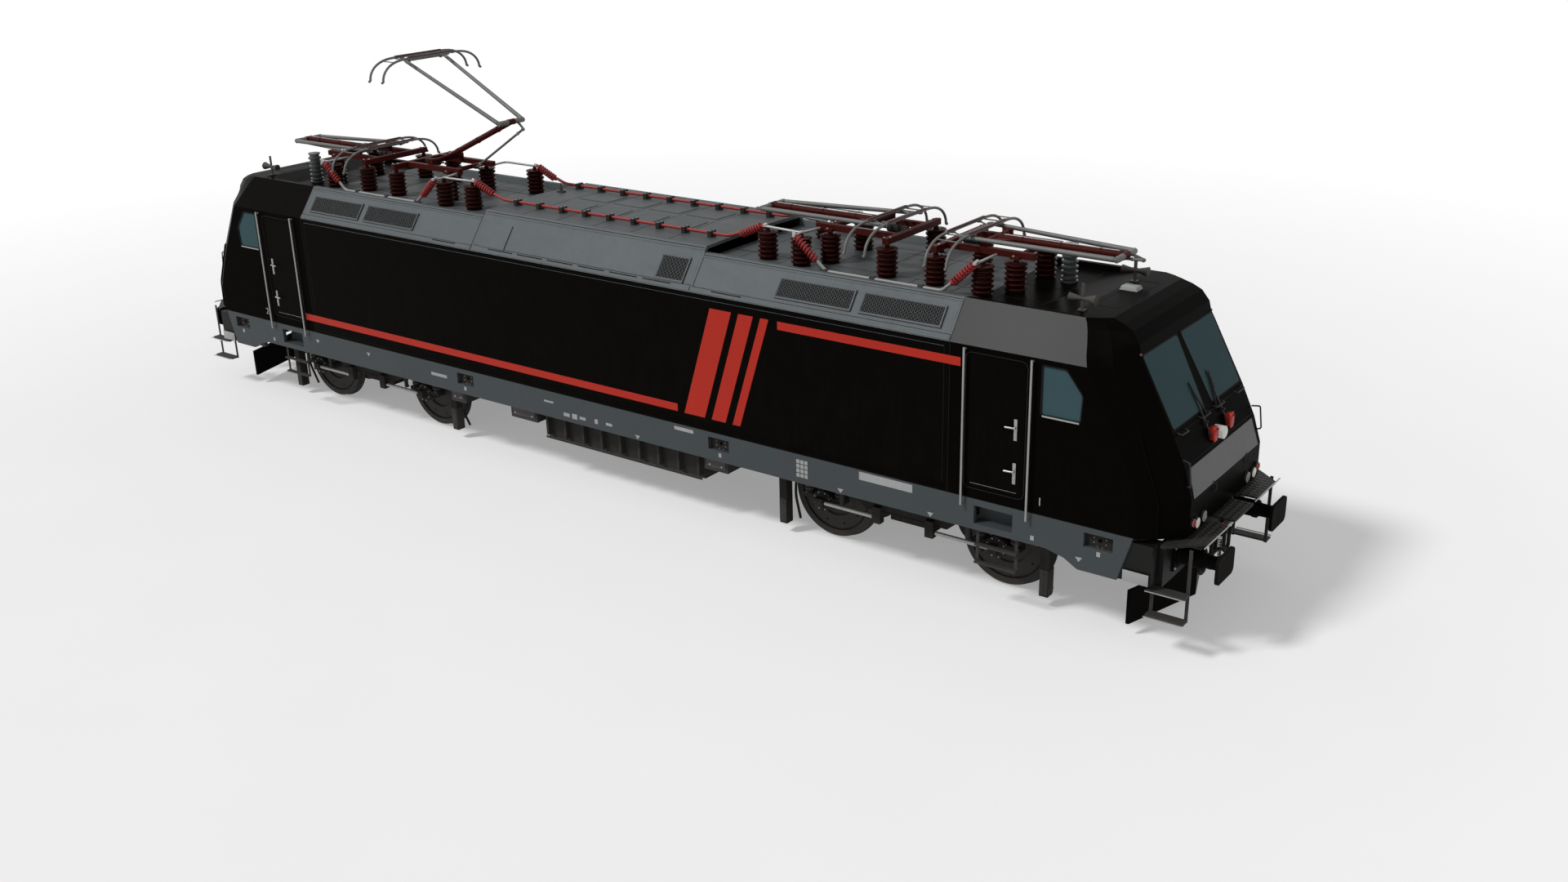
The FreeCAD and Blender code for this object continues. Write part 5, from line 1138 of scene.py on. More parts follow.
# ------------------------------------------------------------------ body sides
@dataclass(frozen=True)
class BodySides:
    """Stripes, slanted bars, blank plates, seams and digits on the two long sides.

    Places along X are for the side on the locomotive's right; the other side is turned half
    round, so that both read alike.
    """

    thick: float = 0.0015
    low_stripe: tuple[float, float, float, float] = (-6.30, 1.80, 1.618, 1.728)
    high_stripe: tuple[float, float, float, float] = (3.55, 6.25, 3.088, 3.198)
    bar_lean: float = 0.52
    bars: tuple[tuple[float, float], ...] = ((1.92, 0.36), (2.40, 0.24), (2.76, 0.13))
    digit_height: float = 0.15
    digit_place: float = 7.36
    plates: tuple[tuple[float, float, float, float], ...] = (
        # start and end along X, low and high level
        (4.80, 5.60, 1.290, 1.400), (-0.81, -0.62, 1.245, 1.275), (-0.42, -0.30, 1.095, 1.150),
        (-0.25, -0.15, 1.085, 1.165), (-0.10, 0.02, 1.105, 1.150), (0.20, 0.26, 1.100, 1.170),
        (0.42, 0.54, 1.120, 1.160), (1.72, 2.06, 1.335, 1.385), (-3.28, -2.92, 1.205, 1.255))
    # start along X, lowest level and size of the squares in the grid
    grid: tuple[float, float, float] = (3.81, 1.105, 0.052)
    tabs: tuple[tuple[float, float], ...] = ((8.14, 1.115), (2.52, 1.115), (7.28, 1.105))
    triangles: tuple[tuple[float, float], ...] = ((7.895, 0.985), (5.865, 1.060), (4.51, 1.060),
                                                  (1.02, 1.060), (-4.78, 1.270), (-6.075, 1.270))

    def build(self) -> list[bpy.types.Object]:
        """Make every mark of both sides.

        Returns:
            The pieces made.
        """
        pieces = [self.stripes(), self.marks()]
        pieces += self.digits()
        pieces += self.seams()
        return pieces

    def plate(self, shape: Shape, corners: Sequence[tuple[float, float]], sign: int) -> None:
        """Lay a thin plate on the side wall.

        Args:
            shape: The shape that it joins.
            corners: Its corners along X and up, as on the right side.
            sign: Side that it lies on.
        """
        outline = [on_side(-sign * x, z, sign, -0.0005) for x, z in corners]
        shape.solid(outline, (0, sign * (self.thick + 0.0005), 0))

    @staticmethod
    def rectangle(start: float, end: float, low: float, high: float) -> list[tuple[float, float]]:
        """Corners of an upright rectangle."""
        return [(start, low), (end, low), (end, high), (start, high)]

    def stripes(self) -> bpy.types.Object:
        """Long stripes joined by slanted bars.

        Returns:
            The finished piece.
        """
        shape = Shape()
        bottom, top = self.low_stripe[2], self.high_stripe[3]
        for _, sign in SIDES:
            for row in (self.low_stripe, self.high_stripe):
                self.plate(shape, self.rectangle(*row), sign)
            for start, width in self.bars:
                self.plate(shape, [(start, bottom), (start + width, bottom),
                                   (start + width + self.bar_lean, top),
                                   (start + self.bar_lean, top)], sign)
        return shape.done("side_stripes", "body", "stripe_red")

    def marks(self) -> bpy.types.Object:
        """Blank plates, squares and triangles on the grey band.

        Returns:
            The finished piece.
        """
        shape = Shape()
        start, low, step = self.grid
        for _, sign in SIDES:
            for row in self.plates:
                self.plate(shape, self.rectangle(*row), sign)
            for column in range(3):
                for row in range(4):
                    x, z = start + column * step * 1.25, low + row * step * 1.25
                    self.plate(shape, self.rectangle(x, x + step, z, z + step), sign)
            for x, z in self.triangles:
                self.plate(shape, [(x - 0.045, z + 0.03), (x, z - 0.03), (x + 0.045, z + 0.03)], sign)
            for end in (1, -1):
                for x, z in self.tabs:
                    self.plate(shape, self.rectangle(end * x - 0.024, end * x + 0.024,
                                                     z - 0.03, z + 0.03), sign)
        return shape.done("band_marks", "body", "marking_white")

    def digits(self) -> list[bpy.types.Object]:
        """The plain digits 1 and 2 that tell the two ends apart.

        Returns:
            One piece for each digit.
        """
        pieces = []
        for cab, end in ENDS:
            for label, sign in SIDES:
                curve = bpy.data.curves.new(f"Digit {cab}{label}", "FONT")
                curve.body = str(cab)
                curve.size = self.digit_height
                curve.extrude = self.thick
                curve.align_x = "CENTER"
                words = bpy.data.objects.new(f"Digit {cab}{label}", curve)
                bpy.context.scene.collection.objects.link(words)
                graph = bpy.context.evaluated_depsgraph_get()
                data = bpy.data.meshes.new_from_object(words.evaluated_get(graph))
                bpy.data.objects.remove(words)
                across = Vector((-sign, 0, 0))
                turn = Matrix((across, Vector((0, 0, 1)), Vector((0, sign, 0)))).transposed()
                foot = on_side(end * self.digit_place, AT.deck + 0.12, sign, 0.0002)
                place = Matrix.Translation(foot)
                data.transform(place @ turn.to_4x4())
                data.materials.clear()
                data.materials.append(FINISHES["marking_white"])
                piece = bpy.data.objects.new(f"end_digit_{cab}_{label}", data)
                bpy.context.scene.collection.objects.link(piece)
                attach(piece, "body")
                pieces.append(piece)
        return pieces

    def seams(self) -> list[bpy.types.Object]:
        """Ribs above the band and below the eave, and the dark seams of the body.

        Returns:
            The pieces.
        """
        rib, light, dark = Shape(), Shape(), Shape()
        for _, sign in SIDES:
            for low, high, out in ((1.470, 1.486, 0.006), (1.520, 1.528, 0.004)):
                self.bead(rib, -6.05, 6.05, low, high, out, sign)
            self.bead(light, -6.02, 6.02, 3.300, 3.306, 0.003, sign)
            for end in (1, -1):
                self.bead(dark, end * 6.098, end * 6.104, 1.43, 3.36, 0.0012, sign)
                self.bead(dark, end * 6.02, end * 6.026, 1.54, 3.30, 0.0012, sign)
            self.bead(dark, -8.45, 8.45, 1.426, 1.432, 0.0015, sign)
        return [rib.done("side_ribs", "body", "body_black"),
                light.done("eave_line", "body", "frame_grey"),
                dark.done("side_seams", "body", "joint_and_shade_dark", "body_black")]

    @staticmethod
    def bead(shape: Shape, start: float, end: float, low: float, high: float, out: float,
             sign: int) -> None:
        """Lay a small rounded bead on the side wall.

        Args:
            shape: The shape that it joins.
            start: One end along X.
            end: The other end along X.
            low: Lower edge.
            high: Upper edge.
            out: How far it stands out.
            sign: Side that it lies on.
        """
        first, last = sorted((start, end))
        inner, outer = ordered(sign, AT.half - 0.001, AT.half + out)
        shape.block((first, inner, low), (last, outer, high), min(out, high - low) * 0.3)


# ------------------------------------------------------------------ cab doors
@dataclass(frozen=True)
class CabDoors:
    """Lining, seal, handles and kick dashes of the four cab doors."""

    inset: float = 0.035
    line: float = 0.004
    handle_inset: float = 0.11
    handle_levels: tuple[float, ...] = (0.505, 0.175)
    plate_half: tuple[float, float] = (0.022, 0.135)
    lever: float = 0.125
    dashes: int = 26

    def build(self) -> list[bpy.types.Object]:
        """Dress each door on its own body.

        Returns:
            The pieces made.
        """
        pieces = []
        for cab, end in ENDS:
            for label, sign in SIDES:
                low, high = DOOR[cab, label]
                body = f"cab_{cab}_door_{label}"
                pieces += [self.handles(body, low, high, end, sign),
                           self.lining(body, low, high, sign),
                           self.foot_dashes(body, low, high, sign)]
        pieces.append(self.frames())
        return pieces

    def handles(self, body: str, low: Vector, high: Vector, end: int,
                sign: int) -> bpy.types.Object:
        """Two lever handles on long plates, one above the other.

        Args:
            body: The door's body.
            low: Lowest corner of the door.
            high: Highest corner of the door.
            end: Sign of X at this cab.
            sign: Side of the door.

        Returns:
            The handles.
        """
        shape = Shape()
        x = end * (max(abs(low.x), abs(high.x)) - self.handle_inset)
        half, tall = self.plate_half
        face = sign * AT.half
        for share in self.handle_levels:
            z = low.z + (high.z - low.z) * share
            inner, outer = sorted((face - sign * 0.002, face + sign * 0.009))
            shape.block((x - half, inner, z - tall), (x + half, outer, z + tall), 0.004)
            shape.rod((x, face, z + 0.03), (x, face + sign * 0.045, z + 0.03), 0.015, 14)
            shape.tube(filleted(((x, face + sign * 0.035, z + 0.03),
                                 (x - end * 0.03, face + sign * 0.040, z + 0.03),
                                 (x - end * self.lever, face + sign * 0.040, z + 0.026)), 0.02),
                       0.0115, 10)
            shape.rod((x, face, z - 0.07), (x, face + sign * 0.016, z - 0.07), 0.012, 14)
            for level in (-0.118, 0.118):
                shape.cap((x, face + sign * 0.008, z + level), (0, sign, 0), 0.006, 0.003, 8)
        return shape.done(f"{body}_handles", body, "bright_metal")

    def lining(self, body: str, low: Vector, high: Vector, sign: int) -> bpy.types.Object:
        """The thin raised line that runs round the door's skin.

        Args:
            body: Name of the body it rides.
            low: Low corner.
            high: High corner.
            sign: Sign of Y on this side.

        Returns:
            The finished piece.
        """
        shape = Shape()
        gap = self.inset
        outline = rounded((low.x + gap, low.z + gap), (high.x - gap, high.z - gap), 0.05)
        shape.loop([on_side(x, z, sign, -0.0005) for x, z in outline], (0, sign, 0), self.line, 0.0025)
        return shape.done(f"{body}_lining", body, "body_black")

    def foot_dashes(self, body: str, low: Vector, high: Vector, sign: int) -> bpy.types.Object:
        """A dashed light line along the door's foot.

        Args:
            body: Name of the body it rides.
            low: Low corner.
            high: High corner.
            sign: Sign of Y on this side.

        Returns:
            The finished piece.
        """
        start, end = low.x + self.inset + 0.05, high.x - self.inset - 0.05
        step = (end - start) / (self.dashes - 1)
        item = Shape().block((-0.010, -0.001, -0.0022), (0.010, 0.001, 0.0022), 0.0006)
        places = [on_side(start + step * index, low.z + self.inset + 0.012, sign, 0.0003)
                  for index in range(self.dashes)]
        return SCATTER.spread(f"{body}_foot_line", item, places, "marking_white", body)

    def frames(self) -> bpy.types.Object:
        """Rubber seals round the four door openings, on the body.

        Returns:
            The finished piece.
        """
        shape = Shape()
        for cab, _ in ENDS:
            for label, sign in SIDES:
                low, high = DOOR[cab, label]
                outline = rounded((low.x - 0.028, low.z - 0.028), (high.x + 0.028, high.z + 0.028),
                                  0.085)
                shape.loop([on_side(x, z, sign, -0.0005) for x, z in outline], (0, sign, 0),
                           0.014, 0.003)
        return shape.done("door_seals", "body", "seal_rubber", "body_black")


# ------------------------------------------------------------------ cab windows
@dataclass(frozen=True)
class CabWindows:
    """Seals of screens and side windows, sills, wiper blades and reflectors."""

    seal: float = 0.016
    stand: float = 0.004
    blade: tuple[float, float] = (0.70, 0.010)

    def build(self) -> list[bpy.types.Object]:
        """Make the trim of every pane.

        Returns:
            The pieces made.
        """
        return [self.side_seals(), self.sills(), self.screen_seals(), self.blades(),
                self.markers()]

    def markers(self) -> bpy.types.Object:
        """Small amber reflectors above the screens' outer corners.

        Returns:
            The finished piece.
        """
        shape = Shape()
        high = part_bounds("cab_glass")[1].z
        for end, sign in CORNERS:
            spot = CABS.front(sign * 1.04, high + 0.020, end)
            shape.lathe(spot - Vector((end * 0.006, 0, 0)), (end, 0, 0.35),
                        ((0, 0.016), (0.012, 0.016), (0.018, 0.008)), 14)
        return shape.done("corner_reflectors", "body", "amber", "lamp_glass")

    @staticmethod
    def side_corners(end: int, sign: int, grow: float) -> list[Vector]:
        """Corners of a side window, its front upper corner cut off.

        Args:
            end: Sign of X at this cab.
            sign: Side.
            grow: How far the outline stands outside the pane.

        Returns:
            Five corners on the side wall.
        """
        low, high = part_box("cab_glass", lambda point: point.x * end > 0 and point.y * sign > 1.3)
        near, far = sorted((abs(low.x), abs(high.x)))
        length = far - 0.020 - near
        corners = ((near - grow, low.z - grow), (near + length + grow, low.z - grow),
                   (far + grow, low.z + 0.32), (near + 0.6 * length + grow * 0.4, high.z + grow),
                   (near - grow, high.z + grow))
        return filleted_loop([on_side(end * x, z, sign, -0.0005) for x, z in corners], 0.035)

    def side_seals(self) -> bpy.types.Object:
        """Rounded rubber round each side window.

        Returns:
            The finished piece.
        """
        shape = Shape()
        for end, sign in CORNERS:
            shape.loop(self.side_corners(end, sign, 0.014), (0, sign, 0), self.seal, self.stand)
        return shape.done("side_window_seals", "body", "seal_rubber", "body_black")

    def sills(self) -> bpy.types.Object:
        """A bright strip below each side window.

        Returns:
            The finished piece.
        """
        shape = Shape()
        for end, sign in CORNERS:
            low, high = part_box("cab_glass",
                                 lambda point: point.x * end > 0 and point.y * sign > 1.3)
            start, last = sorted((end * (min(abs(low.x), abs(high.x)) + 0.01),
                                  end * (max(abs(low.x), abs(high.x)) - 0.025)))
            inner, outer = ordered(sign, AT.half - 0.001, AT.half + 0.010)
            shape.block((start, inner, low.z - 0.030), (last, outer, low.z - 0.008), 0.004)
        return shape.done("side_window_sills", "body", "bright_metal")

    @staticmethod
    def screen_corners(end: int, sign: int, grow: float) -> list[Vector]:
        """Corners of a windscreen pane on the raked front.

        Args:
            end: Sign of X at this cab.
            sign: Side of the pane.
            grow: How far the outline stands outside the pane.

        Returns:
            Corners on the front face.
        """
        low, high = part_box("cab_glass", lambda point: point.x * end > 0 and abs(point.y) < 1.2)
        width, foot, head = high.y, low.z - grow, high.z + grow
        inner = (0.121 - grow, 0.059 - grow)
        corners = ((inner[0], foot), (width + grow, foot), (width + grow, head), (inner[1], head))
        return [Vector((0, sign * y, z)) for y, z in corners]

    def screen_seals(self) -> bpy.types.Object:
        """Flat black seals that frame each windscreen pane.

        Returns:
            The finished piece.
        """
        shape = Shape()
        for end, sign in CORNERS:
            outer = self.screen_corners(end, sign, 0.014)
            inner = self.screen_corners(end, sign, 0.0)
            for index in range(4):
                after = (index + 1) % 4
                self.strip(shape, (outer[index], outer[after], inner[after], inner[index]), end)
        return shape.done("screen_seals", "body", "seal_rubber", "body_black")

    def strip(self, shape: Shape, corners: Sequence[Vector], end: int) -> None:
        """Lay a narrow strip on the front, in steps that follow its folds.

        Args:
            shape: The shape that it joins.
            corners: Outer start and end, inner end and start, without their X.
            end: Sign of X at this cab.
        """
        outer_start, outer_end, inner_end, inner_start = corners
        rings = []
        for index in range(9):
            share = index / 8
            ring = []
            for point in (outer_start.lerp(outer_end, share), inner_start.lerp(inner_end, share)):
                face = front_x(point.z) * end
                ring.append((Vector((face - end * 0.004, point.y, point.z)),
                             Vector((face + end * self.stand, point.y, point.z))))
            rings.append(shape.ring((ring[0][0], ring[0][1], ring[1][1], ring[1][0])))
        shape.skin(rings)

    def blades(self) -> bpy.types.Object:
        """Wiper blades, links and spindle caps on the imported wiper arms.

        Returns:
            The finished piece.
        """
        shape = Shape()
        for end, sign in CORNERS:
            low, high = part_box("wipers", lambda point: point.x * end > 0 and point.y * sign > 0)
            y, top = (low.y + high.y) / 2, high.z
            points = []
            for z, across in ((top - 0.05 - self.blade[0] * 0.5, -sign * 0.115),
                              (top - 0.02, sign * 0.02)):
                points.append(Vector((end * (front_x(z) + 0.020), y + across, z)))
            shape.sloped((points[0] + points[1]) / 2,
                         (points[1] - points[0], (1, 0, 0.9), (0, 1, 0)),
                         ((points[1] - points[0]).length, 0.016, 0.012), 0.003)
            shape.tube((points[1] + Vector((end * 0.012, 0, 0)),
                        Vector((end * (front_x(top - 0.2) + 0.032), y, top - 0.2))), 0.006, 8)
            root = low.z + 0.04
            shape.rod((end * (front_x(root) + 0.008), y, root),
                      (end * (front_x(root) + 0.040), y, root), 0.022, 14)
        return shape.done("wiper_blades", "body", "clamp_black")


def front_x(z: float) -> float:
    """How far ahead the cab's front stands at a height.

    Args:
        z: Height above the floor.

    Returns:
        The distance from the middle of the locomotive.
    """
    limited = min(max(z, AT.deck + 0.005), AT.roof - 0.005)
    return CABS.front(0.02 if limited > 2.6 else 0.5, limited, 1).x


def filleted_loop(corners: Sequence[Vector], radius: float, steps: int = 4) -> list[Vector]:
    """A closed outline with rounded corners.

    Args:
        corners: The outline's corners.
        radius: How far before a corner the rounding starts.
        steps: Points in each bend.

    Returns:
        Points along the rounded outline.
    """
    result = []
    count = len(corners)
    for index, corner in enumerate(corners):
        before, after = corners[index - 1], corners[(index + 1) % count]
        reach = min(radius, (before - corner).length * 0.4, (after - corner).length * 0.4)
        start = corner + (before - corner).normalized() * reach
        end = corner + (after - corner).normalized() * reach
        for step in range(steps + 1):
            share = step / steps
            result.append(start.lerp(corner, share).lerp(corner.lerp(end, share), share))
    return result


# ------------------------------------------------------------------ cab fronts
@dataclass(frozen=True)
class CabFronts:
    """Light strip, seams, rails, sockets, hooks, plates and lamps of both cab fronts."""

    strip: tuple[float, float, float, float] = (1.868, 1.012, 2.205, 0.979)
    rib: tuple[tuple[float, float, float], ...] = ((8.500, 1.352, 2.600), (8.770, 1.372, 1.890),
                                                   (8.790, 1.372, 1.440))
    # level that finds the face, bend radius, tube radius, then points out, across and up
    rails: tuple[tuple[float, float, float, tuple[tuple[float, float, float], ...]], ...] = (
        (2.150, 0.025, 0.010, ((-0.06, 1.065, 2.33), (0.035, 1.110, 2.33), (0.070, 1.115, 2.04),
                               (0.0, 1.075, 2.03))),
        (2.585, 0.020, 0.008, ((-0.02, 0.965, 2.60), (0.055, 0.965, 2.585), (0.055, 0.755, 2.575),
                               (-0.01, 0.755, 2.585))),
        (2.585, 0.020, 0.008, ((-0.01, 0.10, 2.60), (0.050, 0.10, 2.590), (0.050, 0.34, 2.590),
                               (-0.01, 0.34, 2.600))))
    sockets: tuple[tuple[float, float], ...] = ((-0.18, 2.398), (0.335, 2.408))

    def build(self) -> list[bpy.types.Object]:
        """Dress both ends.

        Returns:
            The pieces made.
        """
        pieces = [self.light_strip(), self.seams(), self.bevel_rails(), self.front_rails(),
                  self.power_sockets(), self.hooks(), self.skirt_plates(), self.lamp_rings()]
        pieces += self.lenses()
        return pieces

    def light_strip(self) -> bpy.types.Object:
        """The blank light strip across each front, its white darkened to paint the shade that the front
        stands in.

        Returns:
            The finished piece.
        """
        shape = Shape()
        low, low_half, high, high_half = self.strip
        for end in (1, -1):
            corners = [Vector((end * (front_x(z) - 0.001), y, z))
                       for y, z in ((-low_half, low), (low_half, low), (high_half, high),
                                    (-high_half, high))]
            shape.solid(corners, (end * 0.003, 0, 0))
        # Painted shade: the strip's white is darkened to a mid grey.
        return shape.done("front_strips", "body", "strip_painted_shade", "marking_white")

    def seams(self) -> bpy.types.Object:
        """Panel joints across the front below the screens and down its corners.

        Returns:
            The finished piece.
        """
        shape = Shape()
        for end in (1, -1):
            for z in (2.245, 1.835, 2.575):
                shape.sloped((end * front_x(z), 0, z), AXES, (0.004, 2.0, 0.006), 0.001)
            for y in (-0.58, 0.58):
                shape.sloped((end * front_x(1.64), y, 1.635), AXES, (0.004, 0.005, 0.39), 0.001)
        return shape.done("front_seams", "body", "joint_and_shade_dark", "body_black")

    def bevel_rails(self) -> bpy.types.Object:
        """A tube down the bevel beside each front corner.

        Returns:
            The finished piece.
        """
        shape = Shape()
        for end, sign in CORNERS:
            path = [Vector((end * x, sign * y, z)) for x, y, z in self.rib]
            foot, head = path[-1], path[0]
            inward = Vector((-end * 0.05, -sign * 0.06, 0))
            path = [head + inward, *path, foot + inward + Vector((0, 0, -0.01))]
            shape.tube(filleted(path, 0.06), 0.0135, 12)
        return shape.done("bevel_rails", "body", "body_black")

    def front_rails(self) -> bpy.types.Object:
        """Grab rails at the front's corners and below the screens.

        Returns:
            The finished piece.
        """
        shape = Shape()
        for end, sign in CORNERS:
            for level, bend, radius, path in self.rails:
                face = front_x(level)
                points = [Vector((end * (face + x), sign * y, z)) for x, y, z in path]
                shape.tube(filleted(points, bend), radius, 10)
        return shape.done("front_rails", "body", "clamp_black")

    def power_sockets(self) -> bpy.types.Object:
        """Red jumper sockets with hinged covers, one on each side of the upper lamp.

        Returns:
            The finished piece.
        """
        shape = Shape()
        for end in (1, -1):
            for y, z in self.sockets:
                face = end * front_x(z)
                middle = Vector((face + end * 0.030, end * y, z))
                shape.sloped(middle, ((1, 0, 0.2 * end), (0, 1, 0), (0, 0, 1)),
                             (0.075, 0.120, 0.105), 0.008)
                shape.sloped(middle + Vector((end * 0.045, 0, -0.055)),
                             ((1, 0, -0.5 * end), (0, 1, 0), (0, 0, 1)),
                             (0.016, 0.105, 0.130), 0.005)
                shape.rod(middle + Vector((end * 0.03, -0.066, 0.05)),
                          middle + Vector((end * 0.03, 0.066, 0.05)), 0.010, 10)
                for side in (-1, 1):
                    shape.sloped(middle + Vector((end * 0.02, side * 0.066, -0.03)), AXES,
                                 (0.060, 0.010, 0.120), 0.002)
        return shape.done("power_sockets", "body", "stripe_red")

    def hooks(self) -> bpy.types.Object:
        """Small hooks at the strip's lower edge.

        Returns:
            The finished piece.
        """
        shape = Shape()
        for end in (1, -1):
            for y in (-0.42, 0.62):
                face = front_x(1.84)
                path = [(face - 0.01, y, 1.862), (face + 0.035, y, 1.862),
                        (face + 0.035, y, 1.80), (face + 0.018, y, 1.76)]
                shape.tube(filleted([Vector((end * a, b, c)) for a, b, c in path], 0.015), 0.008, 8)
                inner, outer = ordered(end, face - 0.002, face + 0.006)
                shape.block((inner, y - 0.02, 1.842), (outer, y + 0.02, 1.884), 0.002)
        return shape.done("front_hooks", "body", "clamp_black")

    def skirt_plates(self) -> bpy.types.Object:
        """A blank white plate on the skirt at each corner.

        Returns:
            The finished piece.
        """
        shape = Shape()
        for end, sign in CORNERS:
            first, last = ordered(end, 8.45, 8.77)
            inner, outer = ordered(sign, AT.half - 0.0005, AT.half + 0.0015)
            shape.block((first, inner, 0.870), (last, outer, 1.015), 0.0005)
        return shape.done("skirt_plates", "body", "panel_white", "marking_white")

    def lamp_rings(self) -> bpy.types.Object:
        """Bezels round the lower lamps.

        Returns:
            The finished piece.
        """
        shape = Shape()
        for end in (1, -1):
            for x, y, z, radius in self.lamps(end):
                face = x - end * 0.028
                shape.lathe((face - end * 0.004, y, z), (end, 0, 0),
                            ((0, radius * 1.16), (0.020, radius * 1.16), (0.030, radius * 1.08),
                             (0.030, radius * 1.00), (0.010, radius * 0.98)), 28)
        return shape.done("lamp_bezels", "body", "clamp_black")

    @staticmethod
    def lamps(end: int) -> list[tuple[float, float, float, float]]:
        """Face, place across, height and radius of each lower lamp at one end.

        Args:
            end: Sign of X at this end.

        Returns:
            One tuple for each lamp.
        """
        found = []
        for side in (-1, 1):
            for inner, outer in ((0.60, 0.79), (0.80, 0.965), (0.97, 1.20)):
                low, high = part_box("lamps", lambda point: point.x * end > 0
                                     and inner < point.y * side < outer)
                found.append((max(low.x, high.x, key=abs), (low.y + high.y) / 2,
                              (low.z + high.z) / 2, (high.z - low.z) / 2))
        return found

    def lenses(self) -> list[bpy.types.Object]:
        """Domed lenses: grey inside, white between, red outside, and the upper lamp.

        Returns:
            The pieces.
        """
        shapes = {"lamp_white": Shape(), "lamp_grey": Shape(), "lamp_red": Shape()}
        for end in (1, -1):
            for x, y, z, radius in self.lamps(end):
                finish = "lamp_grey" if abs(y) < 0.8 else "lamp_white" if abs(y) < 0.97 else "lamp_red"
                bulge = 0.012 if finish != "lamp_red" else 0.020
                shapes[finish].lathe((x - end * 0.001, y, z), (end, 0, 0),
                                     ((0, radius * 0.96), (bulge * 0.55, radius * 0.86),
                                      (bulge * 0.85, radius * 0.6), (bulge, radius * 0.25),
                                      (bulge * 1.02, 0.002)), 28)
            low, high = part_box("lamps", lambda point: point.x * end > 0 and abs(point.y) < 0.2)
            face, z = max(low.x, high.x, key=abs), (low.z + high.z) / 2
            radius = (high.y - low.y) / 2
            shapes["lamp_white"].lathe((face - end * 0.001, 0, z), (end, 0, 0),
                                       ((0, radius * 0.95), (0.010, radius * 0.84),
                                        (0.016, radius * 0.55), (0.019, radius * 0.2),
                                        (0.0195, 0.002)), 32)
        return [shape.done(f"{name}_lenses", "body", name, "lamp_glass")
                for name, shape in shapes.items()]


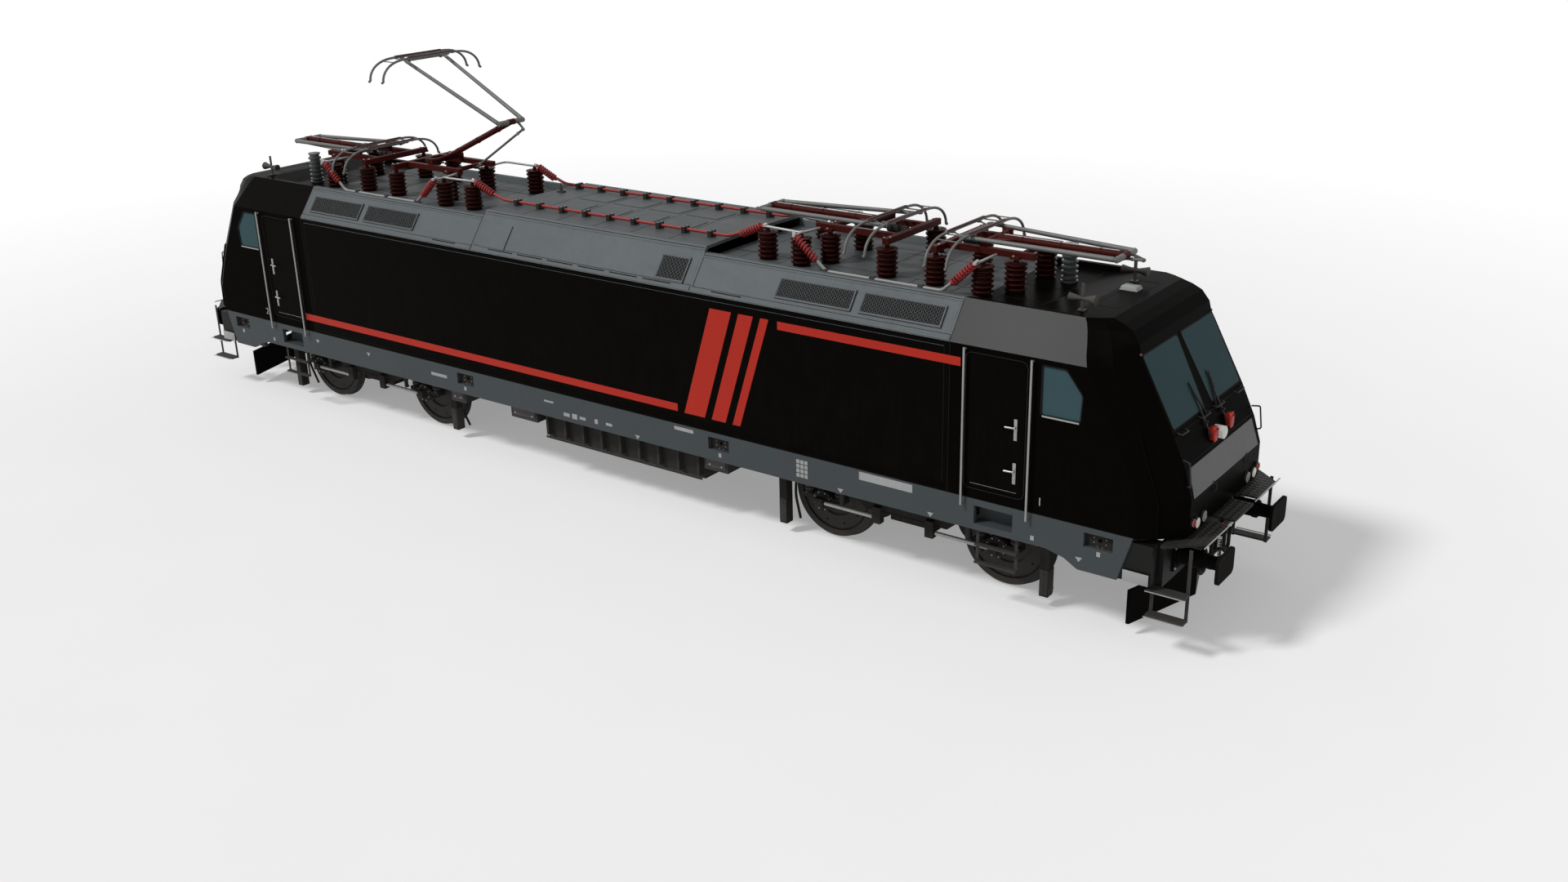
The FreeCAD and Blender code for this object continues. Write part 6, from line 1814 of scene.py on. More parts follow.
# ------------------------------------------------------------------ roof hoods
@dataclass(frozen=True)
class RoofHoods:
    """Ledges, rivets, seams, grille meshes, covers, hatches, clips and housings of the roof."""

    spans: tuple[tuple[float, float], ...] = ((-6.08, -2.12), (-2.08, 2.08), (2.12, 6.08))
    middle_reach: float = 2.1
    middle_slope: tuple[float, float] = (0.410, 0.540)
    end_run: float = 0.349
    ledge: tuple[float, float] = (0.02, 0.135)
    slot_length: float = 0.50
    slot_pitch: float = 0.60
    rivet_pitch: float = 0.055
    mesh_rows: int = 9
    mesh_pitch: float = 0.030
    clip_places: tuple[float, ...] = (3.90, 4.61, 5.32)
    middle_intake: tuple[float, float, float, float] = (1.45, 1.94, 0.15, 0.70)

    def build(self) -> list[bpy.types.Object]:
        """Dress the roof.

        Returns:
            The pieces made.
        """
        return [self.eave_ledge(), self.slots(), self.rivets(), self.seams(), self.intake_shade_backs(),
                *self.mesh_dashes(), self.grille_frames(), self.panel_lines(), self.hatches(),
                self.clips(), self.roof_boxes(), self.end_insulators(), self.covers()]

    def slope(self, x: float, share: float, sign: int, out: float = 0.0) -> Vector:
        """A point on the sloping edge of a hood.

        Args:
            x: Place along.
            share: Share of the slope, from the eave at 0 to the parapet at 1.
            sign: Side.
            out: How far out of the slope.

        Returns:
            The point.
        """
        foot = Vector((x, sign * AT.half, AT.eave))
        run, rise = self.end_run, AT.roof - AT.eave
        if abs(x) < self.middle_reach:
            run, rise = self.middle_slope
        head = Vector((x, sign * (AT.half - run), AT.eave + rise))
        normal = Vector((0, sign * rise, run)).normalized()
        return foot.lerp(head, share) + normal * out

    def slab(self, shape: Shape, start: float, end: float, low: float, high: float, sign: int,
             inner: float, outer: float) -> None:
        """Lay a flat bar along the slope.

        Args:
            shape: The shape that it joins.
            start: One end along X.
            end: The other end along X.
            low: Lower edge, as a share of the slope.
            high: Upper edge.
            sign: Side.
            inner: Level of its underside out of the slope.
            outer: Level of its top.
        """
        rings = []
        for x in (start, end):
            rings.append(shape.ring((self.slope(x, low, sign, inner), self.slope(x, high, sign, inner),
                                     self.slope(x, high, sign, outer),
                                     self.slope(x, low, sign, outer))))
        shape.skin(rings)

    def eave_ledge(self) -> bpy.types.Object:
        """A raised ledge along the foot of every hood, and a lip at its head.

        Returns:
            The finished piece.
        """
        shape = Shape()
        for _, sign in SIDES:
            for start, end in self.spans:
                self.slab(shape, start, end, self.ledge[0], self.ledge[1], sign, -0.001, 0.010)
                self.slab(shape, start, end, 0.900, 0.925, sign, -0.001, 0.006)
        return shape.done("eave_ledges", "body", "roof_grey")

    def slots(self) -> bpy.types.Object:
        """Long dark dashes in the ledge between the grilles, which paint the shade inside its slots.

        Returns:
            The finished piece.
        """
        # Painted shade: a dark block stands for the shade in each slot.
        item = Shape().block((-self.slot_length / 2, -0.004, -0.009),
                             (self.slot_length / 2, 0.004, 0.009), 0.003)
        places = []
        count = 18
        for _, sign in SIDES:
            for index in range(count):
                x = (index - (count - 1) / 2) * self.slot_pitch
                over_joint = 2.06 - self.slot_length / 2 < abs(x) < 2.14 + self.slot_length / 2
                if not over_joint and abs(x) <= 3.2:
                    places.append(self.slope(x, 0.10, sign, 0.010))
        return SCATTER.spread("eave_slots", item, places, "joint_and_shade_dark", "body", "roof_grey")

    def rivets(self) -> bpy.types.Object:
        """Rows of small rivets along the ledges, the parapet lip and the hood ends.

        Returns:
            The finished piece.
        """
        item = Shape()
        item.ball((0, 0, 0), 0.0045)
        places = []
        for _, sign in SIDES:
            for start, end in self.spans:
                count = int((end - start) / self.rivet_pitch)
                for index in range(count):
                    x = start + (index + 0.5) * (end - start) / count
                    places.append(self.slope(x, 0.875, sign, 0.001))
                    if abs(x) > 3.4:
                        places.append(self.slope(x, 0.075, sign, 0.011))
            for end in (1, -1):
                for x in (2.07, 2.13, 6.06):
                    for index in range(14):
                        places.append(self.slope(end * x, 0.17 + index * 0.052, sign, 0.001))
        return SCATTER.spread("hood_rivets", item, places, "grille_metal", "body", "roof_grey")

    def seams(self) -> bpy.types.Object:
        """Dark joints between hoods and cabs, and along the parapet.

        Returns:
            The finished piece.
        """
        shape = Shape()
        for _, sign in SIDES:
            for end in (1, -1):
                for x in (2.12, 6.095):
                    self.slab(shape, end * x - 0.004, end * x + 0.004, 0.0, 0.99, sign, -0.001, 0.0015)
            for start, end in self.spans:
                self.slab(shape, start, end, 0.945, 0.957, sign, -0.001, 0.002)
                self.slab(shape, start, end, 0.142, 0.152, sign, -0.001, 0.002)
        return shape.done("hood_seams", "body", "joint_and_shade_dark", "roof_grey")

    def grilles(self) -> list[tuple[float, float, float, float, int]]:
        """Start, end, low share, high share and side of every intake grille.

        Returns:
            One tuple for each grille.
        """
        rows = []
        for sign_x, sign in CORNERS:
            for start, end, low, high in ((3.45, 4.62, 0.24, 0.74), (4.74, 5.92, 0.24, 0.74),
                                          self.middle_intake):
                if start < AT.room / 3 and sign_x == sign:
                    continue
                first, last = ordered(sign_x, start, end)
                rows.append((first, last, low, high, sign))
        return rows

    def covers(self) -> bpy.types.Object:
        """Plain covers over the two middle intakes that are closed.

        Returns:
            The finished piece.
        """
        shape = Shape()
        start, end, low, high = self.middle_intake
        for sign in (1, -1):
            first, last = ordered(sign, start, end)
            self.slab(shape, first - 0.002, last + 0.002, low - 0.004, high + 0.004, sign, 0.0, 0.0165)
        return shape.done("intake_covers", "body", "roof_grey")

    def intake_shade_backs(self) -> bpy.types.Object:
        """Black panels behind the meshes, which paint the shade inside the intakes.

        Returns:
            The finished piece.
        """
        shape = Shape()
        # Painted shade: a near-black sheet stands for the dark inside each intake.
        for start, end, low, high, sign in self.grilles():
            self.slab(shape, start + 0.02, end - 0.02, low + 0.03, high - 0.03, sign, 0.010, 0.0165)
        return shape.done("grille_backs", "body", "joint_and_shade_dark", "grille_metal")

    def mesh_dashes(self) -> list[bpy.types.Object]:
        """The woven mesh: short slanted bars in rows that lean in turn.

        Returns:
            Two pieces for each side, one for each lean.
        """
        pieces = []
        for label, sign in SIDES:
            for lean in (0, 1):
                item = Shape()
                tilt = 0.55 if lean else -0.55
                rise = self.slope(3.0, 1.0, sign) - self.slope(3.0, 0.0, sign)
                up, out = rise.normalized(), (self.slope(3.0, 0.5, sign, 1) - self.slope(3.0, 0.5, sign))
                along = (up + Vector((tilt, 0, 0))).normalized()
                item.sloped((0, 0, 0), (along, out.cross(along), out), (0.040, 0.0065, 0.006))
                places = []
                for start, end, low, high, side in self.grilles():
                    if side != sign:
                        continue
                    count = int((end - start - 0.06) / self.mesh_pitch)
                    for column in range(count):
                        x = start + 0.03 + (column + 0.5) * (end - start - 0.06) / count
                        for row in range(self.mesh_rows):
                            if (row + column) % 2 != lean:
                                continue
                            share = low + 0.045 + (row + 0.5) * (high - low - 0.09) / self.mesh_rows
                            places.append(self.slope(x, share, sign, 0.019))
                pieces.append(SCATTER.spread(f"grille_mesh_{label}_{lean}", item, places,
                                             "grille_metal", "body"))
        return pieces

    def grille_frames(self) -> bpy.types.Object:
        """Stepped frames round the meshes.

        Returns:
            The finished piece.
        """
        shape = Shape()
        for start, end, low, high, sign in self.grilles():
            for inset, inner, outer, width in ((0.0, 0.010, 0.024, 0.014), (0.014, 0.012, 0.019, 0.010)):
                rise = (self.slope(3.0, 1, 1) - self.slope(3.0, 0, 1)).length
                edge = width / rise
                a, b = low + inset / rise, high - inset / rise
                s, e = start + inset, end - inset
                for row in ((s, e, a, a + edge), (s, e, b - edge, b), (s, s + width, a + edge, b - edge),
                            (e - width, e, a + edge, b - edge)):
                    self.slab(shape, *row, sign, inner, outer)
        return shape.done("grille_frames", "body", "roof_grey", "grille_metal")

    def panel_lines(self) -> bpy.types.Object:
        """Joints of the panels on the well's floor and the cab roofs.

        Returns:
            The finished piece.
        """
        shape = Shape()
        for end in (1, -1):
            for x in (2.45, 3.10, 3.75, 4.40, 5.05, 5.70):
                self.line(shape, (end * x, -1.03), (end * x, 1.03))
            for y in (-0.52, 0.52):
                self.line(shape, (end * 2.15, y), (end * 6.05, y))
            for x, half in ((6.30, 1.0), (6.90, 1.0), (7.52, 0.72), (7.80, 0.66)):
                self.line(shape, (end * x, -half), (end * x, half))
            for y in (-0.62, 0.0, 0.62):
                self.line(shape, (end * 7.52, y), (end * 7.80, y))
                self.line(shape, (end * 6.30, y), (end * 6.90, y))
        for x in (-1.4, -0.7, 0.0, 0.7, 1.4):
            for first, last in ((-1.05, -0.02), (0.02, 1.05)):
                self.line(shape, (x, first), (x, last))
        return shape.done("roof_panel_lines", "body", "joint_and_shade_dark", "roof_grey")

    @staticmethod
    def line(shape: Shape, start: tuple[float, float], end: tuple[float, float]) -> None:
        """Lay a thin dark joint on the roof between two places.

        Args:
            shape: The shape that it joins.
            start: Place along and across.
            end: Place along and across.
        """
        first, last = Vector((*start, 0)), Vector((*end, 0))
        way = (last - first).normalized()
        across = Vector((-way.y, way.x, 0)) * 0.0025
        points = []
        for point in (first, last):
            level = max(skin_top(point + across * side).z for side in (1, 0, -1))
            points.append(Vector((point.x, point.y, level)))
        outline = [points[0] - across, points[1] - across, points[1] + across, points[0] + across]
        shape.solid([corner - Vector((0, 0, 0.001)) for corner in outline], (0, 0, 0.003))

    def hatches(self) -> bpy.types.Object:
        """Raised hatch plates on the middle hood.

        Returns:
            The finished piece.
        """
        shape = Shape()
        for x in (-1.05, -0.35, 0.35, 1.05):
            for sign in (-1, 1):
                corners = []
                for dx, y in ((-0.28, 0.10), (0.28, 0.10), (0.28, 0.55), (-0.28, 0.55)):
                    corners.append(skin_top(Vector((x + dx, sign * y, 0))) - Vector((0, 0, 0.002)))
                shape.solid(corners, (0, 0, 0.010))
        return shape.done("roof_hatches", "body", "roof_grey")

    def clips(self) -> bpy.types.Object:
        """Black clips that hold the cables in the well.

        Returns:
            The finished piece.
        """
        shape = Shape()
        low, high = part_box("high_voltage_cables", lambda point: point.y < -0.80)
        y = (low.y + high.y) / 2
        for end in (1, -1):
            for x in self.clip_places:
                arch = arc((end * x, y, AT.well + 0.024), (0, 1, 0), (0, 0, 1), 0.030, 0, 180, 8)
                path = [Vector((end * x, y + 0.075, AT.well + 0.006)), *arch,
                        Vector((end * x, y - 0.075, AT.well + 0.006))]
                rings = []
                for point in path:
                    rings.append(shape.ring(point + Vector((dx, 0, dz)) for dx, dz in
                                            ((-0.035, -0.004), (0.035, -0.004), (0.035, 0.006),
                                             (-0.035, 0.006))))
                shape.skin(rings)
                for side in (-0.058, 0.058):
                    shape.cap((end * x, y + side, AT.well + 0.010), (0, 0, 1), 0.012, 0.010)
        return shape.done("well_clips", "body", "clamp_black")

    def roof_boxes(self) -> bpy.types.Object:
        """A low white housing on each cab roof.

        Returns:
            The finished piece.
        """
        shape = Shape()
        for end in (1, -1):
            first, last = ordered(end, 7.50, 7.71)
            shape.skin([shape.ring(((first - grow, 0.13 - grow, z), (last + grow, 0.13 - grow, z),
                                    (last + grow, 0.29 + grow, z), (first - grow, 0.29 + grow, z)))
                        for grow, z in ((0.01, AT.roof - 0.003), (-0.01, AT.roof + 0.045))])
        return shape.done("cab_roof_housings", "body", "panel_white", "marking_white")

    def end_insulators(self) -> bpy.types.Object:
        """A grey insulator beside each outer pantograph's arm.

        Returns:
            The finished piece.
        """
        shape = Shape()
        for x, y in ((6.70, 0.40), (-6.70, -0.60)):
            floor = skin_top(Vector((x, y, 0))).z
            height = 4.232 - floor
            count = 6
            step = (height - 0.07) / count
            profile = [(0, 0.110), (0.020, 0.110), (0.024, 0.078)]
            for shed in range(count):
                low = 0.030 + shed * step
                profile += [(low, 0.080), (low + 0.014, 0.104), (low + 0.036, 0.106),
                            (low + 0.048, 0.080)]
            profile += [(height - 0.022, 0.080), (height - 0.020, 0.098), (height, 0.096)]
            shape.lathe((x, y, floor - 0.002), (0, 0, 1), profile, 28)
        return shape.done("rest_insulators", "body", "insulator_grey", "roof_grey")


def skin_top(point: Vector) -> Vector:
    """The roof's highest face at a place.

    Args:
        point: Place along and across; its height isn't read.

    Returns:
        The point on the roof.
    """
    skin = ROOFS if abs(point.x) < AT.room else CABS
    return skin.top(point.x, point.y)


# ------------------------------------------------------------------ high-voltage gear
@dataclass(frozen=True)
class HighVoltage:
    """Round busbars, spiral sleeves and their lugs, ribbed posts and clamp bolts."""

    bar_radius: float = 0.017
    bar_runs: tuple[tuple[tuple[float, float], ...], ...] = (
        ((2.765, -0.670), (3.400, -0.720), (3.470, -0.350)), ((3.400, -0.700), (3.425, -0.915)),
        ((2.765, 0.670), (3.470, 0.670), (3.470, 0.350)), ((6.090, -0.360), (6.090, -0.915)))
    sleeve_radius: float = 0.040
    sleeve_turns: int = 8
    sheds: int = 5

    def build(self) -> list[bpy.types.Object]:
        """Make the high-voltage trim.

        Returns:
            The pieces made.
        """
        return [self.busbars(), self.sleeves(), self.post_caps(), self.clamp_bolts(),
                self.cable_lugs()]

    def level(self) -> float:
        """Height of the busbars' middle."""
        low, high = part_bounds("roof_busbars")
        return (low.z + high.z) / 2 + 0.006

    def busbars(self) -> bpy.types.Object:
        """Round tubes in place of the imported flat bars, with clamps on the posts.

        Returns:
            The finished piece.
        """
        shape = Shape()
        level = self.level()
        for end in (1, -1):
            for run in self.bar_runs:
                path = [Vector((end * x, y, level)) for x, y in run]
                shape.tube(filleted(path, 0.09, 6), self.bar_radius, 14)
                for x, y in (run[0], run[-1]):
                    shape.lathe((end * x, y, level - 0.014), (0, 0, 1),
                                ((0, 0.020), (0.004, 0.026), (0.030, 0.026), (0.036, 0.018)), 16)
        piece = shape.done("busbar_tubes", "body", "bus_metal")
        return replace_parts(piece, "roof_busbars")

    def sleeve_axes(self) -> list[tuple[Vector, Vector]]:
        """Lower and upper end of every sleeve's axis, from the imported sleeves.

        Returns:
            Two ends for each sleeve.
        """
        axes = []
        for end in (1, -1):
            for test_y, x_range in ((lambda y: y < -0.80, (3.0, 4.0)),
                                    (lambda y: y < -0.80, (5.4, 6.3)),
                                    (lambda y: -0.76 < y < -0.58, (2.0, 2.9)),
                                    (lambda y: 0.58 < y < 0.76, (2.0, 2.9))):
                low, high = part_box("cable_terminations", lambda point: test_y(point.y)
                                     and x_range[0] < point.x * end < x_range[1])
                y = (low.y + high.y) / 2
                rising = x_range[0] < 3 or x_range[0] > 5
                near, far = (low.x, high.x) if end > 0 else (high.x, low.x)
                start_x, last_x = (near, far) if rising else (far, near)
                way = Vector((last_x - start_x, 0, high.z - low.z))
                lean = Vector((way.z, 0, abs(way.x))).normalized() * self.sleeve_radius
                start = Vector((start_x + math.copysign(lean.x, way.x), y, low.z + lean.z * 0.6))
                last = Vector((last_x - math.copysign(lean.x, way.x) * 0.6, y, high.z - lean.z * 0.6))
                axes.append((start, last))
        return axes

    def sleeves(self) -> bpy.types.Object:
        """Sleeves wound with a spiral ridge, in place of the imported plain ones.

        Returns:
            The finished piece.
        """
        shape = Shape()
        for start, last in self.sleeve_axes():
            way = (last - start).normalized()
            length = (last - start).length
            core = self.sleeve_radius - 0.014
            shape.lathe(start, way, ((0, 0.026), (0.02, core), (length - 0.03, core),
                                     (length, 0.024)), 20)
            across = way.orthogonal().normalized()
            other = way.cross(across)
            path = []
            steps = self.sleeve_turns * 14
            for index in range(steps + 1):
                turn = math.tau * self.sleeve_turns * index / steps
                path.append(start + way * (0.03 + (length - 0.07) * index / steps)
                            + (across * math.cos(turn) + other * math.sin(turn))
                            * (self.sleeve_radius + 0.006))
            shape.tube(path, 0.0125, 6)
        piece = shape.done("sleeve_spirals", "body", "cable_red", smooth=60.0)
        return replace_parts(piece, "cable_terminations")

    def posts(self) -> list[Vector]:
        """The middle of each post insulator's head.

        Returns:
            One point for each insulator.
        """
        found: list[Vector] = []
        _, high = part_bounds("roof_insulators")
        for vertex in frame["nodes"]["roof_insulators"].data.vertices:
            point = vertex.co
            if point.z < high.z - 0.0005:
                continue
            near = [seat for seat in found if (seat - point).length < 0.15]
            if not near:
                found.append(point.copy())
        centres = []
        for seat in found:
            group = [vertex.co for vertex in frame["nodes"]["roof_insulators"].data.vertices
                     if vertex.co.z > high.z - 0.0005 and (vertex.co - seat).length < 0.15]
            centres.append(sum(group, Vector()) / len(group))
        return centres

    def post_caps(self) -> bpy.types.Object:
        """Ribbed porcelain posts with rounded sheds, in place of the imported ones.

        Returns:
            The finished piece.
        """
        item = Shape()
        low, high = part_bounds("roof_insulators")
        height = high.z - low.z
        barrel = height - 0.050
        profile = [(0.0, 0.118), (0.014, 0.124), (0.020, 0.112)]
        for shed in range(self.sheds):
            foot = 0.030 + shed * (barrel - 0.055) / self.sheds
            pitch = (barrel - 0.055) / self.sheds
            profile += [(foot, 0.112), (foot + pitch * 0.16, 0.134), (foot + pitch * 0.40, 0.1415),
                        (foot + pitch * 0.62, 0.134), (foot + pitch * 0.74, 0.112)]
        profile += [(barrel - 0.022, 0.114), (barrel - 0.016, 0.1405), (barrel - 0.004, 0.1405),
                    (barrel, 0.134), (barrel + 0.001, 0.044), (barrel + 0.016, 0.040),
                    (barrel + 0.018, 0.029), (height, 0.029)]
        item.lathe((0, 0, -height), (0, 0, 1), profile, 32)
        for turn in range(4):
            angle = math.tau * (turn + 0.5) / 4
            item.cap((0.075 * math.cos(angle), 0.075 * math.sin(angle), -0.050), (0, 0, 1),
                     0.010, 0.010)
        piece = SCATTER.spread("ribbed_posts", item, self.posts(), "insulator_brown", "body")
        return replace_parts(piece, "roof_insulators")

    def clamp_bolts(self) -> bpy.types.Object:
        """Two bolts on top of every cable clamp.

        Returns:
            The finished piece.
        """
        item = Shape()
        for y in (-0.044, 0.044):
            item.cap((0, y, 0), (0, 0, 1), 0.011, 0.009)
        low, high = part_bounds("cable_clamps")
        places = []
        for sign in (-1, 1):
            for step in range(9):
                places.append(((step - 4) * (high.x - low.x - 0.06) / 8, sign * 0.67, high.z - 0.002))
        return SCATTER.spread("clamp_bolts", item, places, "bright_metal", "body")

    def cable_lugs(self) -> bpy.types.Object:
        """Crimped lugs at the upper end of every sleeve.

        Returns:
            The finished piece.
        """
        shape = Shape()
        for start, last in self.sleeve_axes():
            way = (last - start).normalized()
            shape.lathe(last - way * 0.01, way, ((0, 0.022), (0.015, 0.024), (0.055, 0.020),
                                                 (0.060, 0.012)), 14)
        return shape.done("cable_lugs", "body", "bus_metal")


# ------------------------------------------------------------------ pantographs
@dataclass(frozen=True)
class Arm:
    """One pantograph: its name and the sign of X that its lower arm points to."""

    name: str
    way: int

    def body(self, part: str) -> str:
        """The name of the body of one of its parts."""
        return f"pantograph_{self.name}_{part}"

    def foot(self) -> Vector:
        """The foot axis."""
        return joint_place(f"pantograph_{self.name}_lower_arm_hinge")

    def knuckle(self) -> Vector:
        """The knuckle axis at rest."""
        return joint_place(f"pantograph_{self.name}_upper_arm_hinge")

    def apex(self) -> Vector:
        """The apex axis at rest."""
        return joint_place(f"pantograph_{self.name}_head_hinge")


@dataclass(frozen=True)
class Pantographs:
    """Curved heads, arm trim, bellows and frame bolts of the four pantographs."""

    arms: tuple[Arm, ...] = (Arm("1_outer", 1), Arm("1_inner", -1), Arm("2_inner", 1),
                             Arm("2_outer", -1))
    strip_offset: float = 0.150
    strip_half: float = 0.500
    tube: float = 0.0185
    arm_radii: tuple[float, float] = (0.034, 0.027)

    def build(self) -> list[bpy.types.Object]:
        """Dress each pantograph, part by part, on its own bodies.

        Returns:
            The pieces made.
        """
        pieces = [self.frame_bolts(), self.drives()]
        for arm in self.arms:
            pieces += [self.head(arm), self.carbons(arm), self.lower(arm), self.lower_strip(arm),
                       self.upper(arm), self.rod_ends(arm)]
        return pieces

    def head(self, arm: Arm) -> bpy.types.Object:
        """Tubular head: two strips with drooping round horns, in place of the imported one.

        Args:
            arm: The pantograph.

        Returns:
            The head.
        """
        shape = Shape()
        apex = arm.apex()
        low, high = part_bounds(arm.body("head"))
        top, drop = high.z - apex.z, low.z - apex.z
        reach = high.y
        for side in (-1, 1):
            x = apex.x + side * self.strip_offset
            level = apex.z + top - 0.028
            path = []
            for angle in range(0, 91, 9):
                turn = math.radians(angle)
                path.append((self.strip_half - 0.02 + (reach - self.strip_half - 0.01)
                             * math.sin(turn), level + (drop - top + 0.045)
                             * (1 - math.cos(turn)) ** 1.15))
            right = [Vector((x, y, z)) for y, z in path]
            left = [Vector((x, -y, z)) for y, z in reversed(path)]
            shape.tube(left + right, self.tube, 12)
            shape.block((x - 0.020, -self.strip_half, apex.z + top - 0.040),
                        (x + 0.020, self.strip_half, apex.z + top - 0.020), 0.004)
            for y in (-reach + 0.011, reach - 0.011):
                shape.ball((x, y, apex.z + drop + 0.017), self.tube * 1.15)
            for y in (-0.33, 0.33):
                shape.tube(filleted([Vector((apex.x + side * 0.030, y, apex.z - 0.005)),
                                     Vector((apex.x + side * 0.09, y, apex.z + 0.012)),
                                     Vector((x, y, apex.z + top - 0.045))], 0.03), 0.011, 10)
                shape.block((x - 0.024, y - 0.030, apex.z + top - 0.060),
                            (x + 0.024, y + 0.030, apex.z + top - 0.038), 0.004)
        for y in (-0.33, 0.33):
            shape.lathe((apex.x, y - 0.018, apex.z), (0, 1, 0),
                        ((0, 0.0215), (0.0, 0.034), (0.004, 0.036), (0.032, 0.036), (0.036, 0.034),
                         (0.036, 0.0215)), 20)
            shape.rod((apex.x - self.strip_offset, y * 1.42, apex.z + top - 0.046),
                      (apex.x + self.strip_offset, y * 1.42, apex.z + top - 0.046), 0.009, 10)
        for y in (-0.73, 0.73):
            shape.rod((apex.x - self.strip_offset, y, self.horn_level(apex, top, drop, reach, abs(y))),
                      (apex.x + self.strip_offset, y, self.horn_level(apex, top, drop, reach, abs(y))),
                      0.008, 10)
        piece = shape.done(f"pantograph_{arm.name}_horns", arm.body("head"), "pantograph_grey",
                           smooth=50.0)
        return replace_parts(piece, arm.body("head"))

    def horn_level(self, apex: Vector, top: float, drop: float, reach: float, y: float) -> float:
        """Height of the horn's middle at a place across.

        Args:
            apex: The apex axis at rest.
            top: Height of the straight middle.
            drop: How far the tips hang down.
            reach: Half the head's length.
            y: Place across, unsigned.

        Returns:
            The height.
        """
        share = (y - self.strip_half + 0.02) / (reach - self.strip_half - 0.01)
        turn = math.asin(min(max(share, 0.0), 1.0))
        return apex.z + top - 0.028 + (drop - top + 0.045) * (1 - math.cos(turn)) ** 1.15

    def carbons(self, arm: Arm) -> bpy.types.Object:
        """Carbon contact strips with chamfered ends.

        Args:
            arm: The pantograph.

        Returns:
            The finished piece.
        """
        shape = Shape()
        apex = arm.apex()
        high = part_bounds(arm.body("head"))[1].z
        half = self.strip_half
        for side in (-1, 1):
            x = apex.x + side * self.strip_offset
            shape.solid([(x - 0.016, -half + 0.01, high - 0.021), (x - 0.016, half - 0.01, high - 0.021),
                         (x - 0.016, half - 0.04, high - 0.001), (x - 0.016, -half + 0.04, high - 0.001)],
                        (0.032, 0, 0))
        return shape.done(f"pantograph_{arm.name}_carbons", arm.body("head"), "carbon",
                          "pantograph_grey")

    def lower(self, arm: Arm) -> bpy.types.Object:
        """Gussets at foot and knuckle, and collars on the lower arm.

        Args:
            arm: The pantograph.

        Returns:
            The finished piece.
        """
        shape = Shape()
        foot, knuckle = arm.foot(), arm.knuckle()
        way = (knuckle - foot).normalized()
        across, normal = Vector((0, 1, 0)), way.cross(Vector((0, 1, 0)))
        for side in (-1, 1):
            for depth in (0.0, 0.012):
                shape.solid([foot + way * along + across * side * spread - normal * depth
                             for along, spread in ((0.03, 0.040), (0.30, 0.040), (0.03, 0.235))],
                            normal * 0.010)
        for distance in (0.34, 0.86, 1.38):
            shape.lathe(foot + way * distance, way, ((0, 0.0435), (0.004, 0.050), (0.030, 0.050),
                                                    (0.034, 0.0435)), 20)
        for side in (-1, 1):
            shape.lathe(knuckle + across * side * 0.058, across * side,
                        ((0, 0.044), (0.003, 0.047), (0.006, 0.042), (0.006, 0.030)), 20)
        return shape.done(f"pantograph_{arm.name}_lower_trim", arm.body("lower_arm"),
                          "pantograph_red")

    def lower_strip(self, arm: Arm) -> bpy.types.Object:
        """The thin grey air line clipped along the lower arm.

        Args:
            arm: The pantograph.

        Returns:
            The finished piece.
        """
        shape = Shape()
        foot, knuckle = arm.foot(), arm.knuckle()
        way = (knuckle - foot).normalized()
        normal = way.cross(Vector((0, 1, 0)))
        if normal.z < 0:
            normal = -normal
        offset = normal * 0.046 + Vector((0, 0.012, 0))
        shape.rod(foot + way * 0.10 + offset, knuckle - way * 0.08 + offset, 0.007, 8)
        return shape.done(f"pantograph_{arm.name}_air_line", arm.body("lower_arm"), "bus_metal",
                          "pantograph_grey")

    def upper(self, arm: Arm) -> bpy.types.Object:
        """Knuckle caps, thicker tubes and apex plugs on the upper arm.

        Args:
            arm: The pantograph.

        Returns:
            The finished piece.
        """
        shape = Shape()
        knuckle, apex = arm.knuckle(), arm.apex()
        way = (apex - knuckle).normalized()
        for side in (-1, 1):
            shape.lathe(knuckle + Vector((0, side * 0.060, 0)), Vector((0, side, 0)),
                        ((0.0, 0.029), (0.002, 0.040), (0.195, 0.040), (0.205, 0.036),
                         (0.207, 0.020)), 20)
            low_end = knuckle + way * 0.030 + Vector((0, side * self.arm_side(arm, 0.030), 0))
            top_end = apex - way * 0.030 + Vector((0, side * self.arm_side(arm, -0.030), 0))
            length = (top_end - low_end).length
            shape.lathe(low_end, top_end - low_end, ((0.0, 0.022), (0.004, self.arm_radii[0]),
                                                     (length - 0.004, self.arm_radii[1]),
                                                     (length, 0.022)), 16)
            shape.lathe(apex + Vector((0, side * 0.400, 0)), Vector((0, side, 0)),
                        ((-0.020, 0.0205), (-0.018, 0.027), (0.0, 0.028), (0.008, 0.022)), 18)
        return shape.done(f"pantograph_{arm.name}_upper_trim", arm.body("upper_arm"),
                          "pantograph_grey")

    @staticmethod
    def arm_side(arm: Arm, shift: float) -> float:
        """Half the spread of the upper arm's tubes near the knuckle or, if negative, the apex.

        Args:
            arm: The pantograph.
            shift: Distance along the arm.

        Returns:
            Half the spread.
        """
        length = (arm.apex() - arm.knuckle()).length
        share = shift / length if shift > 0 else 1 + shift / length
        return 0.250 + 0.150 * share

